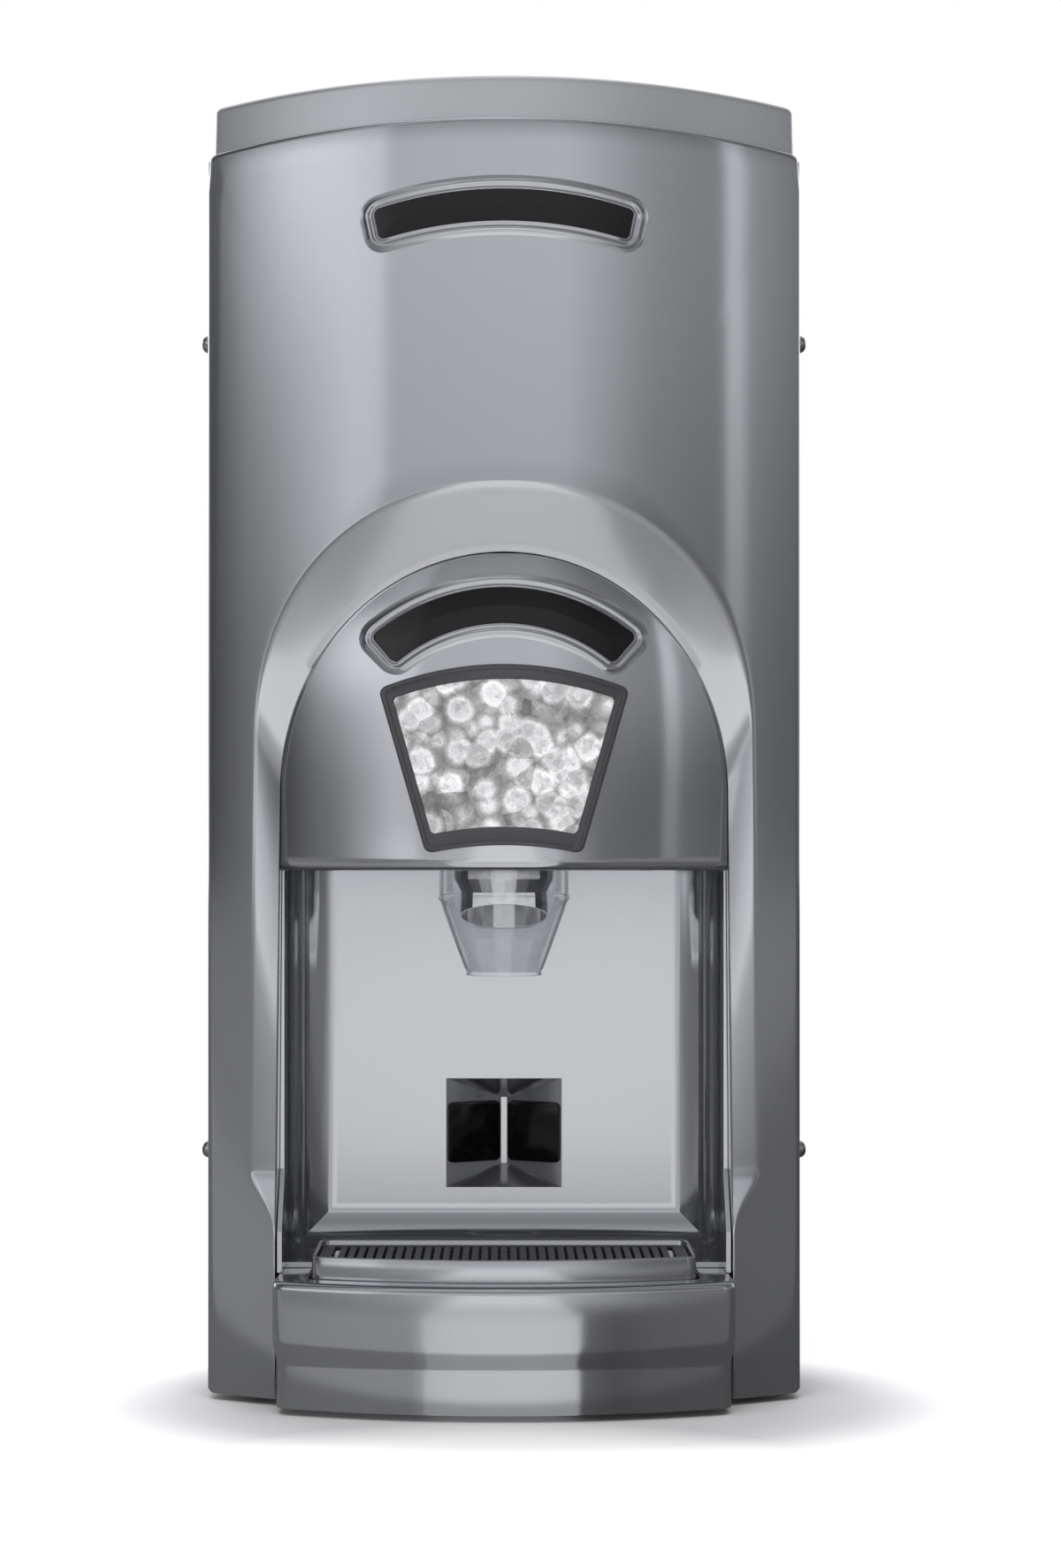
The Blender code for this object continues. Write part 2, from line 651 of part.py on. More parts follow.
def front_panel():
    """Half of the moulding, mirrored: bowed face, sloped band round the bay, and turned-back edges."""
    columns = []
    top_corner = math.atan2(panel_top(CASE_HALF_WIDTH) - ARCH_CENTRE_Z, CASE_HALF_WIDTH)
    top_steps = 8
    side_steps = 9
    angles = [
        math.pi / 2 + (top_corner - math.pi / 2) * i / top_steps for i in range(top_steps + 1)
    ]
    angles += [top_corner * (1 - i / side_steps) for i in range(1, side_steps + 1)]
    for i, angle in enumerate(angles):
        x, z = superellipse(angle, ARCH_HALF_WIDTH, ARCH_HEIGHT, ARCH_POWER)
        outer = (x if i else 0, z + ARCH_CENTRE_Z)
        inner_x = BAY_HALF_WIDTH * math.cos(angle) if i else 0
        inner = (inner_x, BAY_ARCH_CENTRE_Z + BAY_ARCH_HEIGHT * math.sin(angle))
        if i <= top_steps:
            edge_x = CASE_HALF_WIDTH * i / top_steps
            edge = (edge_x, panel_top(edge_x))
            back = bow(edge_x) + PANEL_TOP_LIP if i < top_steps else SIDE_FRONT - GAP
        else:
            edge = (CASE_HALF_WIDTH, ARCH_CENTRE_Z + CASE_HALF_WIDTH * math.tan(angle))
            back = SIDE_FRONT - GAP
        columns.append(panel_column(inner, outer, edge, back, RECESS))
    low_outer = BAY_LOW_HALF_WIDTH + BAY_EDGE
    side_shares = (0.3, 0.65, 1)
    for share in side_shares:
        z = ARCH_CENTRE_Z + (ARCH_FOOT_Z - ARCH_CENTRE_Z) * share
        outer_x = ARCH_HALF_WIDTH + (ARCH_FOOT_HALF_WIDTH - ARCH_HALF_WIDTH) * share
        inner_z = BAY_ARCH_CENTRE_Z + (ARCH_FOOT_Z - BAY_ARCH_CENTRE_Z) * share
        columns.append(
            panel_column(
                (bay_half_width(inner_z), inner_z),
                (outer_x, z),
                (CASE_HALF_WIDTH, z),
                SIDE_FRONT - GAP,
                RECESS,
            )
        )
    foot_shares = (0.35, 0.7, 1)
    for share in foot_shares:
        z = ARCH_FOOT_Z + (BAY_MERGE_Z - ARCH_FOOT_Z) * share
        outer_x = ARCH_FOOT_HALF_WIDTH + (low_outer - ARCH_FOOT_HALF_WIDTH) * share
        recess = RECESS + (RECESS_LOW - RECESS) * share
        columns.append(
            panel_column(
                (bay_half_width(z), z),
                (outer_x, z),
                (CASE_HALF_WIDTH, z),
                SIDE_FRONT - GAP,
                recess,
            )
        )
    for z in (SILL_TOP, (SILL_TOP + PANEL_BOTTOM) / 2, PANEL_BOTTOM):
        columns.append(
            panel_column(
                (BAY_LOW_HALF_WIDTH, z),
                (low_outer, z),
                (CASE_HALF_WIDTH, z),
                SIDE_FRONT - GAP,
                RECESS_LOW,
            )
        )
    bm = loft(columns, closed=False, cap=False)
    made = add_object("front_panel", bm, GREY_GLOSS)
    mirror = made.modifiers.new("other_half", "MIRROR")
    mirror.merge_threshold = 0.00001
    solidify(made, PANEL_WALL)
    return made


def hood_surface(x, z):
    """Where the hood's outside lies: recessed at its arched edge, bulging out below."""
    edge = max(bay_half_width(z) - GAP, GAP)
    rise = min(1, max(0, (z - HOOD_BOTTOM) / (BAY_ARCH_CENTRE_Z + BAY_ARCH_HEIGHT - HOOD_BOTTOM)))
    across = min(1, abs(x) / edge)
    bulge = RECESS * (1 - rise * rise) ** HOOD_TOP_BULGE_POWER
    return bow(x) + RECESS - bulge * math.sqrt(1 - across**HOOD_SIDE_POWER)


def hood_reach(angle):
    """How far the hood's outline lies from the middle of its bottom edge, at this angle."""
    low, high = 0, BAY_HALF_WIDTH + BAY_ARCH_HEIGHT
    while high - low > GAP / 100:
        reach = (low + high) / 2
        z = HOOD_BOTTOM + reach * math.sin(angle)
        inside = z < BAY_ARCH_CENTRE_Z + BAY_ARCH_HEIGHT - GAP
        if inside and reach * math.cos(angle) < bay_half_width(z) - GAP:
            low = reach
        else:
            high = reach
    return low


def hood():
    """A bowed cap on the arched outline, open at its back and underside."""
    reach_shares = (0.3, 0.55, 0.74, 0.86, 0.93, 0.975, 1)
    steps = 13
    bm = bmesh.new()
    middle = bm.verts.new((0, hood_surface(0, HOOD_BOTTOM), HOOD_BOTTOM))
    rows = []
    for i in range(steps + 1):
        angle = math.pi / 2 * (1 - i / steps)
        reach = hood_reach(angle)
        row = []
        for share in reach_shares:
            x = reach * share * math.cos(angle) if i else 0
            z = HOOD_BOTTOM + reach * share * math.sin(angle)
            row.append(bm.verts.new((x, hood_surface(x, z), z)))
        rows.append(row)
    for first, second in zip(rows, rows[1:]):
        bm.faces.new((middle, first[0], second[0]))
        for i in range(len(reach_shares) - 1):
            bm.faces.new((first[i], first[i + 1], second[i + 1], second[i]))
    made = add_object("hood", bm, GREY_GLOSS)
    mirror = made.modifiers.new("other_half", "MIRROR")
    mirror.merge_threshold = 0.00001
    solidify(made, HOOD_WALL)
    return made


def niche_liner():
    """The bay's lining: a box with rounded back corners, a sensor pocket, and holes for chute and tray."""
    liner_bottom = SILL_TOP + GAP
    outer = box(
        (-LINER_HALF_WIDTH - LINER_WALL, LINER_FRONT, liner_bottom),
        (LINER_HALF_WIDTH + LINER_WALL, LINER_BACK + LINER_WALL, LINER_CEILING + LINER_WALL),
    )
    made = add_object("niche_liner", outer, GREY_GLOSS)
    inner = box(
        (-LINER_HALF_WIDTH, LINER_FRONT - LINER_ROUND - OVERRUN, liner_bottom + LINER_WALL),
        (LINER_HALF_WIDTH, LINER_BACK, LINER_CEILING),
    )
    front_y = LINER_FRONT - LINER_ROUND
    rounded = [
        edge
        for edge in inner.edges
        if max(vert.co.y for vert in edge.verts) > front_y
        and min(vert.co.z for vert in edge.verts) < LINER_CEILING - LINER_WALL
        and abs(edge.verts[0].co.y - edge.verts[1].co.y) < OVERRUN
    ]
    bmesh.ops.bevel(
        inner, geom=rounded, offset=LINER_ROUND, segments=5, affect="EDGES", profile=0.5
    )
    boolean(made, inner)
    pocket_back = LINER_BACK + POCKET_DEPTH + POCKET_WALL
    housing = box(
        (-POCKET_HALF_WIDTH - POCKET_WALL, LINER_BACK + GAP, POCKET_BOTTOM - POCKET_WALL),
        (POCKET_HALF_WIDTH + POCKET_WALL, pocket_back, POCKET_TOP + POCKET_WALL),
    )
    boolean(made, housing, "UNION")
    boolean(made, pocket_hollow())
    boolean(
        made,
        rod(
            (0, CHUTE_Y, HOOD_BOTTOM - OVERRUN),
            (0, CHUTE_Y, LINER_CEILING + LINER_WALL + OVERRUN),
            CHUTE_RADIUS + GAP,
            sides=48,
        ),
    )
    for side in (-1, 1):
        boolean(made, liner_cheek(side, liner_bottom), "UNION")
    well = TRAY_HALF_WIDTH + TRAY_SEAT
    boolean(
        made,
        box(
            (-well, LINER_FRONT - OVERRUN, liner_bottom - OVERRUN),
            (well, TRAY_BACK + TRAY_SEAT, TRAY_TOP),
        ),
    )
    return made


def liner_cheek(side, bottom):
    """The side wall's low front corner, which comes forward to meet the panel's face."""
    wall_back = LINER_FRONT + LINER_WALL
    front = bow(BAY_LOW_HALF_WIDTH) + RECESS_LOW
    outline = (
        (wall_back, bottom),
        (front, bottom),
        (front, BAY_MERGE_Z),
        (LINER_FRONT, ARCH_FOOT_Z),
        (wall_back, ARCH_FOOT_Z),
    )
    near = side * (LINER_HALF_WIDTH - GAP)
    far = side * (LINER_HALF_WIDTH + LINER_WALL - GAP * 2)
    return loft([[(x, y, z) for y, z in outline] for x in (near, far)])


def pocket_hollow():
    """A hipped hollow that is deepest along an upright line in its middle."""
    bm = bmesh.new()
    front_y = LINER_BACK - OVERRUN
    for x in (-POCKET_HALF_WIDTH, POCKET_HALF_WIDTH):
        for z in (POCKET_BOTTOM, POCKET_TOP):
            bm.verts.new((x, front_y, z))
            bm.verts.new((x, LINER_BACK, z))
    for z in (POCKET_BOTTOM + POCKET_HIP, POCKET_TOP - POCKET_HIP):
        bm.verts.new((0, LINER_BACK + POCKET_DEPTH, z))
    bmesh.ops.convex_hull(bm, input=bm.verts)
    return bm


def sensor_windows():
    """Two black windows on the pocket's left and right slopes."""
    slope = math.atan2(POCKET_DEPTH, POCKET_HALF_WIDTH)
    middle_z = (POCKET_BOTTOM + POCKET_TOP) / 2
    for name, side in (("sensor_window_left", -1), ("sensor_window_right", 1)):
        bm = box(
            (-SENSOR_WINDOW_WIDTH / 2, -SENSOR_WINDOW_THICKNESS - GAP, -SENSOR_WINDOW_HEIGHT / 2),
            (SENSOR_WINDOW_WIDTH / 2, -GAP, SENSOR_WINDOW_HEIGHT / 2),
        )
        made = add_object(name, bm, BLACK_PLASTIC)
        made.location = (side * POCKET_HALF_WIDTH / 2, LINER_BACK + POCKET_DEPTH / 2, middle_z)
        made.rotation_euler = (0, 0, -side * slope)
        bevel(made, SENSOR_WINDOW_THICKNESS / 3, 1)


def sensor_board():
    """The circuit board behind the pocket, on four posts, with its sender and receiver."""
    board_front = LINER_BACK + POCKET_DEPTH + POCKET_WALL + SENSOR_POST
    half = POCKET_HALF_WIDTH - SENSOR_BOARD_MARGIN
    low = POCKET_BOTTOM + SENSOR_BOARD_MARGIN
    high = POCKET_TOP - SENSOR_BOARD_MARGIN
    made = add_object(
        "sensor_board",
        box((-half, board_front, low), (half, board_front + SENSOR_BOARD_THICKNESS, high)),
        BOARD_GREEN,
    )
    post_y = LINER_BACK + POCKET_DEPTH + POCKET_WALL + GAP
    for x in (-half + SENSOR_POST, half - SENSOR_POST):
        for z in (low + SENSOR_POST, high - SENSOR_POST):
            end = board_front + SENSOR_BOARD_THICKNESS / 2
            boolean(made, rod((x, post_y, z), (x, end, z), SENSOR_POST / 2, sides=10), "UNION")
    middle_z = (low + high) / 2
    for x in (-half / 2, half / 2):
        start = board_front + SENSOR_BOARD_THICKNESS / 2
        can = rod((x, start, middle_z), (x, start + SENSOR_CAN, middle_z), SENSOR_CAN / 2, sides=12)
        boolean(made, can, "UNION")
    return made


def sill_rings(inset, bottom, top):
    """The sill's outline at each height of its moulded front, drawn in by an even inset."""
    levels = (
        (SILL_STEP_DEPTH, bottom),
        (SILL_STEP_DEPTH, SILL_STEP_BOTTOM),
        (SILL_STEP_DEPTH / 2, (SILL_STEP_BOTTOM * 2 + SILL_STEP_TOP) / 3),
        (0, SILL_STEP_TOP),
        (0, top - SILL_ROUND),
        (SILL_ROUND / 3, top - SILL_ROUND / 3),
        (SILL_ROUND, top),
    )
    return [
        raise_outline(
            bowed_outline(
                SILL_FRONT + inset + step,
                SILL_HALF_WIDTH - inset - step / 2,
                SILL_BACK - inset,
                SILL_CORNER,
                back_corner=SILL_ROUND,
            ),
            z,
        )
        for step, z in levels
    ]


def sill():
    """The bowed apron and shelf under the bay, hollow below, with a well for the drip tray."""
    made = add_object("sill", loft(sill_rings(0, PANEL_BOTTOM, SILL_TOP)), GREY_GLOSS)
    well_bottom = TRAY_FLOOR - GAP - SILL_WALL
    boolean(made, loft(sill_rings(SILL_WALL, PANEL_BOTTOM - OVERRUN, SILL_TOP - SILL_WALL)))
    hang = TRAY_SEAT + SILL_WALL
    well_shell = bowed_outline(
        TRAY_FRONT - hang, TRAY_HALF_WIDTH + hang, TRAY_BACK + hang, TRAY_CORNER + SILL_WALL
    )
    boolean(made, prism(well_shell, well_bottom, SILL_TOP - SILL_WALL / 2), "UNION")
    well = bowed_outline(
        TRAY_FRONT - TRAY_SEAT, TRAY_HALF_WIDTH + TRAY_SEAT, TRAY_BACK + TRAY_SEAT, TRAY_CORNER
    )
    boolean(made, prism(well, TRAY_FLOOR - GAP, SILL_TOP + OVERRUN))
    wide = CASE_HALF_WIDTH
    under = box(
        (-wide, SIDE_FRONT - GAP, PANEL_BOTTOM - OVERRUN), (wide, SILL_BACK + OVERRUN, SILL_SHELF_Z)
    )
    boolean(made, under)
    spigot_y = (TRAY_FRONT + TRAY_BACK) / 2
    bore = rod(
        (0, spigot_y, well_bottom - OVERRUN),
        (0, spigot_y, TRAY_FLOOR + OVERRUN),
        DRAIN_SPIGOT_RADIUS + TRAY_SEAT,
    )
    boolean(made, bore)
    return made


def drip_tray():
    """A bowed tray with a drain spigot that hangs through the well's floor."""
    outline = bowed_outline(TRAY_FRONT, TRAY_HALF_WIDTH, TRAY_BACK, TRAY_CORNER)
    made = add_object("drip_tray", prism(outline, TRAY_FLOOR, TRAY_TOP), GREY_GLOSS)
    inside = bowed_outline(
        TRAY_FRONT + TRAY_WALL, TRAY_HALF_WIDTH - TRAY_WALL, TRAY_BACK - TRAY_WALL, TRAY_CORNER
    )
    boolean(made, prism(inside, TRAY_FLOOR + TRAY_WALL, TRAY_TOP + OVERRUN))
    spigot_y = (TRAY_FRONT + TRAY_BACK) / 2
    low = TRAY_FLOOR - DRAIN_SPIGOT_LENGTH
    spigot = rod((0, spigot_y, low), (0, spigot_y, TRAY_FLOOR + TRAY_WALL / 2), DRAIN_SPIGOT_RADIUS)
    boolean(made, spigot, "UNION")
    bore = rod((0, spigot_y, low - OVERRUN), (0, spigot_y, TRAY_FLOOR + OVERRUN), DRAIN_BORE)
    boolean(made, bore)
    return made


def drip_grille():
    """A slotted plate on legs that stand on the tray's floor."""
    inset = TRAY_WALL + GAP * 2
    top = TRAY_TOP - GRILLE_DROP
    low = top - GRILLE_THICKNESS
    outline = bowed_outline(
        TRAY_FRONT + inset, TRAY_HALF_WIDTH - inset, TRAY_BACK - inset, TRAY_CORNER - GAP
    )
    made = add_object("drip_grille", prism(outline, low, top), BLACK_PLASTIC)
    back = TRAY_BACK - inset - GRILLE_MARGIN
    slots = bmesh.new()
    room = TRAY_HALF_WIDTH - inset - GRILLE_MARGIN
    count = int(room / GRILLE_PITCH)
    for i in range(-count, count + 1):
        x = i * GRILLE_PITCH
        front = bow(x, TRAY_FRONT) + inset + GRILLE_MARGIN
        slot = box(
            (x - GRILLE_SLOT / 2, front, low - OVERRUN), (x + GRILLE_SLOT / 2, back, top + OVERRUN)
        )
        data = bpy.data.meshes.new("slot")
        slot.to_mesh(data)
        slot.free()
        slots.from_mesh(data)
    boolean(made, slots)
    leg_x = TRAY_HALF_WIDTH - inset - GRILLE_MARGIN / 2
    floor = TRAY_FLOOR + TRAY_WALL + GAP
    for x in (-leg_x, leg_x):
        for y in (back, bow(leg_x, TRAY_FRONT) + inset + GRILLE_MARGIN):
            leg = rod((x, y, floor), (x, y, top - GRILLE_THICKNESS / 2), GRILLE_LEG, sides=12)
            boolean(made, leg, "UNION")
    return made


def top_cover():
    """The lift-off lid over the case: one moulding with a bowed skirt and a crowned top."""
    steps = 14
    back = BACK_INNER - GAP * 2
    levels = (
        (0, 0, 0),
        (0, 1, -COVER_ROUND),
        (COVER_ROUND / 3, 1, -COVER_ROUND / 3),
        (COVER_ROUND, 1, 0),
    )
    rings = []
    for inset, share, drop in levels:
        inset = inset + COVER_DRAFT * share
        outline = bowed_outline(
            COVER_FRONT + inset, COVER_HALF_WIDTH - inset, back - inset, COVER_CORNER, bow_steps=steps
        )
        ring = []
        for x, y in outline:
            rim = COVER_TOP - COVER_TOP_DROP * (x / COVER_HALF_WIDTH) ** 2 + drop
            low = COVER_LEDGE_Z + FOLD + GAP
            ring.append((x, y, low + (rim - low) * share))
        rings.append(ring)
    middle_y = (COVER_FRONT + back) / 2
    crown_shares = (0.8, 0.45, 0.1)
    for share in crown_shares:
        ring = []
        for x, y, z in rings[3]:
            lift = COVER_CROWN * (1 - share * share)
            apex = COVER_TOP
            ring.append((x * share, middle_y + (y - middle_y) * share, z + (apex - z) * (1 - share) + lift))
        rings.append(ring)
    bm = loft(rings, cap=False)
    bm.verts.ensure_lookup_table()
    bm.faces.new(bm.verts[-len(rings[-1]) :])
    made = add_object("top_cover", bm, GREY_SATIN)
    solidify(made, COVER_WALL)
    return made


def draped_plate(name, rows, surface, lift, thickness, finish, closed=False):
    """A thin plate that lies on a curved front: rows of (x, z) points, with a front and a back skin."""
    bm = bmesh.new()
    front = [[bm.verts.new((x, surface(x, z) - lift - thickness, z)) for x, z in row] for row in rows]
    back = [[bm.verts.new((x, surface(x, z) - lift, z)) for x, z in row] for row in rows]
    for grid in (front, back):
        for first, second in zip(grid, grid[1:]):
            for i in range(len(first) if closed else len(first) - 1):
                j = (i + 1) % len(first)
                bm.faces.new((first[i], first[j], second[j], second[i]))
    for near, far in ((front[0], back[0]), (front[-1], back[-1])):
        for i in range(len(near) if closed else len(near) - 1):
            j = (i + 1) % len(near)
            bm.faces.new((near[i], near[j], far[j], far[i]))
    if not closed:
        for k in (0, -1):
            for i in range(len(rows) - 1):
                bm.faces.new((front[i][k], front[i + 1][k], back[i + 1][k], back[i][k]))
    return add_object(name, bm, finish)


def name_plate():
    """A blank black plate on the panel, arched along its length."""
    steps = 16
    rows = []
    for level in (0, 1):
        row = []
        for i in range(steps + 1):
            x = NAME_PLATE_HALF_WIDTH * (2 * i / steps - 1)
            drop = NAME_PLATE_ARC - math.sqrt(NAME_PLATE_ARC**2 - x * x)
            row.append((x, NAME_PLATE_TOP - drop - NAME_PLATE_HEIGHT * level))
        rows.append(row)
    return draped_plate("name_plate", rows, lambda x, z: bow(x), GAP, PLATE_THICKNESS, BLACK_PLASTIC)


def label_plate():
    """A blank black plate on the hood, a slice of a ring."""
    steps = 16
    rows = []
    for level in (0, 0.5, 1):
        radius = LABEL_INNER_RADIUS + (LABEL_OUTER_RADIUS - LABEL_INNER_RADIUS) * level
        row = []
        for i in range(steps + 1):
            angle = LABEL_HALF_ANGLE * (2 * i / steps - 1)
            row.append((radius * math.sin(angle), LABEL_CENTRE_Z + radius * math.cos(angle)))
        rows.append(row)
    return draped_plate("label_plate", rows, hood_surface, GAP, PLATE_THICKNESS, BLACK_PLASTIC)


def window_row(share, inset_share, steps=10):
    """One line across the window: 0 is its bottom and 1 its top, with the border taken off by a share."""
    bottom = WINDOW_BOTTOM + WINDOW_BOTTOM_BORDER * inset_share
    top = WINDOW_TOP - WINDOW_TOP_BORDER * inset_share
    half = WINDOW_BOTTOM_HALF_WIDTH + (WINDOW_TOP_HALF_WIDTH - WINDOW_BOTTOM_HALF_WIDTH) * share
    half = half - WINDOW_SIDE_BORDER * inset_share
    sag = WINDOW_BOTTOM_SAG + (WINDOW_TOP_SAG - WINDOW_BOTTOM_SAG) * share
    row = []
    for i in range(steps + 1):
        across = 2 * i / steps - 1
        row.append((half * across, bottom + (top - bottom) * share - sag * across * across))
    return row


def window_loop(inset_share):
    """The window's outline as one closed loop."""
    levels = 5
    lines = [window_row(i / levels, inset_share) for i in range(levels + 1)]
    loop = list(lines[0])
    loop += [line[-1] for line in lines[1:-1]]
    loop += list(reversed(lines[-1]))
    loop += [line[0] for line in reversed(lines[1:-1])]
    return loop


def window_frame():
    rows = [window_loop(0), window_loop(0.5), window_loop(1)]
    return draped_plate(
        "window_frame", rows, hood_surface, GAP, WINDOW_FRAME_DEPTH, DARK_GREY, closed=True
    )


def window_panel():
    """The pale inset inside the frame, just clear of it all round."""
    levels = 5
    clear_share = 1 + GAP * 2 / WINDOW_SIDE_BORDER
    rows = [window_row(i / levels, clear_share) for i in range(levels + 1)]
    return draped_plate("window_panel", rows, hood_surface, GAP, PLATE_THICKNESS, PICTURE_PALE)


def chute():
    """The clear guard: a straight tube over a cone, hung by a flange on the liner's ceiling."""
    flange_low = LINER_CEILING + LINER_WALL + GAP
    flange_top = flange_low + CHUTE_WALL
    inner = CHUTE_RADIUS - CHUTE_WALL
    profile = (
        (CHUTE_RADIUS + CHUTE_FLANGE, flange_top),
        (CHUTE_RADIUS + CHUTE_FLANGE, flange_low),
        (CHUTE_RADIUS, flange_low),
        (CHUTE_RADIUS, CHUTE_TAPER_Z),
        (CHUTE_TIP_RADIUS, CHUTE_TIP_Z),
        (CHUTE_TIP_RADIUS - CHUTE_WALL, CHUTE_TIP_Z),
        (inner, CHUTE_TAPER_Z),
        (inner, flange_top),
    )
    return turned("chute", profile, CLEAR_PLASTIC, (0, CHUTE_Y, 0), steps=32)


def spout():
    """The steel spout inside the guard, cut on a slant at its mouth."""
    top = BIN_BOTTOM - GAP
    outer = (
        (SPOUT_RADIUS + SPOUT_FLANGE, top),
        (SPOUT_RADIUS + SPOUT_FLANGE, top - SPOUT_WALL * 2),
        (SPOUT_RADIUS, top - SPOUT_WALL * 2),
        (SPOUT_RADIUS, SPOUT_SHOULDER_Z),
        (SPOUT_WAIST, SPOUT_WAIST_Z),
        (SPOUT_MOUTH, SPOUT_BACK_LIP_Z - OVERRUN),
    )
    inner = tuple((radius - SPOUT_WALL, z) for radius, z in reversed(outer[3:]))
    profile = outer + inner + ((SPOUT_RADIUS - SPOUT_WALL, top),)
    made = turned("spout", profile, STEEL, (0, CHUTE_Y, 0), steps=24)
    reach = SPOUT_RADIUS * 2
    slope = (SPOUT_FRONT_LIP_Z - SPOUT_BACK_LIP_Z) / (SPOUT_MOUTH * 2)
    middle = (SPOUT_FRONT_LIP_Z + SPOUT_BACK_LIP_Z) / 2
    knife = box((-reach, CHUTE_Y - reach, middle - reach), (reach, CHUTE_Y + reach, middle))
    for vert in knife.verts:
        if vert.co.z > middle - reach / 2:
            vert.co.z = middle - slope * (vert.co.y - CHUTE_Y)
    return boolean(made, knife)


def joined(name, shapes, finish, origin=(0, 0, 0)):
    """One body from shapes that overlap, joined one after another."""
    made = add_object(name, shapes[0], finish, origin)
    for shape in shapes[1:]:
        boolean(made, shape, "UNION")
    return made


def base_pan():
    """A folded sheet tray that carries the compressor, the ice maker and the cooling."""
    half = SIDE_INNER - GAP * 2
    front, back = SIDE_FRONT + OVERRUN, BACK_INNER - GAP
    made = add_object(
        "base_pan", box((-half, front, PAN_BOTTOM), (half, back, PAN_BOTTOM + PAN_WALL)), ZINC_SHEET
    )
    inside = box(
        (-half + FOLD, front + FOLD, PAN_FLOOR), (half - FOLD, back - FOLD, PAN_BOTTOM + PAN_WALL * 2)
    )
    return boolean(made, inside)


def feet():
    for y, row in ((FOOT_FRONT_Y, "front"), (FOOT_REAR_Y, "rear")):
        for x, side in ((-FOOT_X, "left"), (FOOT_X, "right")):
            profile = (
                (0, FOOT_HEIGHT),
                (FOOT_RADIUS, FOOT_HEIGHT),
                (FOOT_RADIUS, FOOT_HEIGHT / 4),
                (FOOT_RADIUS - FOOT_HEIGHT / 4, 0),
                (0, 0),
            )
            turned(f"foot_{row}_{side}", profile, RUBBER, (x, y, 0), steps=14)


def side_panels():
    """Two painted sheets with an inward fold along the top that carries the cover."""
    for name, side in (("side_panel_left", -1), ("side_panel_right", 1)):
        near, far = side * SIDE_INNER, side * CASE_HALF_WIDTH
        back = BACK_INNER - GAP
        sheet = box(
            (min(near, far), SIDE_FRONT, SIDE_BOTTOM), (max(near, far), back, SIDE_TOP)
        )
        made = add_object(name, sheet, GREY_SATIN)
        ledge = side * (SIDE_INNER - COVER_LEDGE)
        into = side * (SIDE_INNER + SHEET / 2)
        fold = box(
            (min(ledge, into), SIDE_FRONT + COVER_LEDGE, COVER_LEDGE_Z),
            (max(ledge, into), back, COVER_LEDGE_Z + FOLD),
        )
        boolean(made, fold, "UNION")
        for z in (SCREW_LOWER_Z, SCREW_UPPER_Z):
            start = (near - side * OVERRUN, SCREW_Y, z)
            end = (far + side * OVERRUN, SCREW_Y, z)
            boolean(made, rod(start, end, SCREW_SHANK_RADIUS + GAP, sides=12))


def side_screws():
    """Domed heads on plain shanks through the side panels."""
    for z, level in ((SCREW_LOWER_Z, "lower"), (SCREW_UPPER_Z, "upper")):
        for side, word in ((-1, "left"), (1, "right")):
            low = GAP
            profile = [
                (SCREW_HEAD_RADIUS * math.sin(a), low + SCREW_HEAD_HEIGHT * math.cos(a))
                for a in (math.pi / 6 * i for i in range(4))
            ]
            profile[0] = (0, low + SCREW_HEAD_HEIGHT)
            profile += [
                (SCREW_SHANK_RADIUS, low),
                (SCREW_SHANK_RADIUS, low - SCREW_LENGTH),
                (0, low - SCREW_LENGTH),
            ]
            turned(
                f"side_screw_{level}_{word}",
                profile,
                STEEL,
                (side * CASE_HALF_WIDTH, SCREW_Y, z),
                (0, side * math.pi / 2, 0),
                steps=12,
            )


def rear_panel():
    """The back sheet, with hooded slots behind the condenser and openings for switch and inlet."""
    low = SIDE_BOTTOM
    made = add_object(
        "rear_panel",
        box((-CASE_HALF_WIDTH, BACK_INNER, low), (CASE_HALF_WIDTH, CASE_BACK, SIDE_TOP)),
        ZINC_SHEET,
    )
    for i in range(LOUVRE_COUNT):
        z = LOUVRE_BOTTOM + LOUVRE_PITCH * i
        slot = box(
            (LOUVRE_LEFT, BACK_INNER - OVERRUN, z), (LOUVRE_RIGHT, CASE_BACK + OVERRUN, z + LOUVRE_SLOT)
        )
        boolean(made, slot)
        hood_top = z + LOUVRE_SLOT + FOLD * 2
        cap = box(
            (LOUVRE_LEFT - FOLD, CASE_BACK - SHEET / 2, z + LOUVRE_SLOT + FOLD / 2),
            (LOUVRE_RIGHT + FOLD, CASE_BACK + LOUVRE_PROUD, hood_top),
        )
        for vert in cap.verts:
            if vert.co.y > CASE_BACK:
                vert.co.z -= LOUVRE_SLOT / 2
        boolean(made, cap, "UNION")
    reach = OVERRUN
    for z, half_width, half_height in (
        (INLET_Z, INLET_HALF_WIDTH, INLET_HALF_HEIGHT),
        (SWITCH_Z, SWITCH_HALF_WIDTH + SWITCH_FRAME, SWITCH_HALF_HEIGHT + SWITCH_FRAME),
    ):
        hole = box(
            (POWER_X - half_width - GAP, BACK_INNER - reach, z - half_height - GAP),
            (POWER_X + half_width + GAP, CASE_BACK + reach, z + half_height + GAP),
        )
        boolean(made, hole)
    for x in (WATER_INLET_X, DRAIN_X):
        hole = rod(
            (x, BACK_INNER - reach, FITTINGS_Z),
            (x, CASE_BACK + reach, FITTINGS_Z),
            FITTING_RADIUS + GAP,
        )
        boolean(made, hole)
    return made


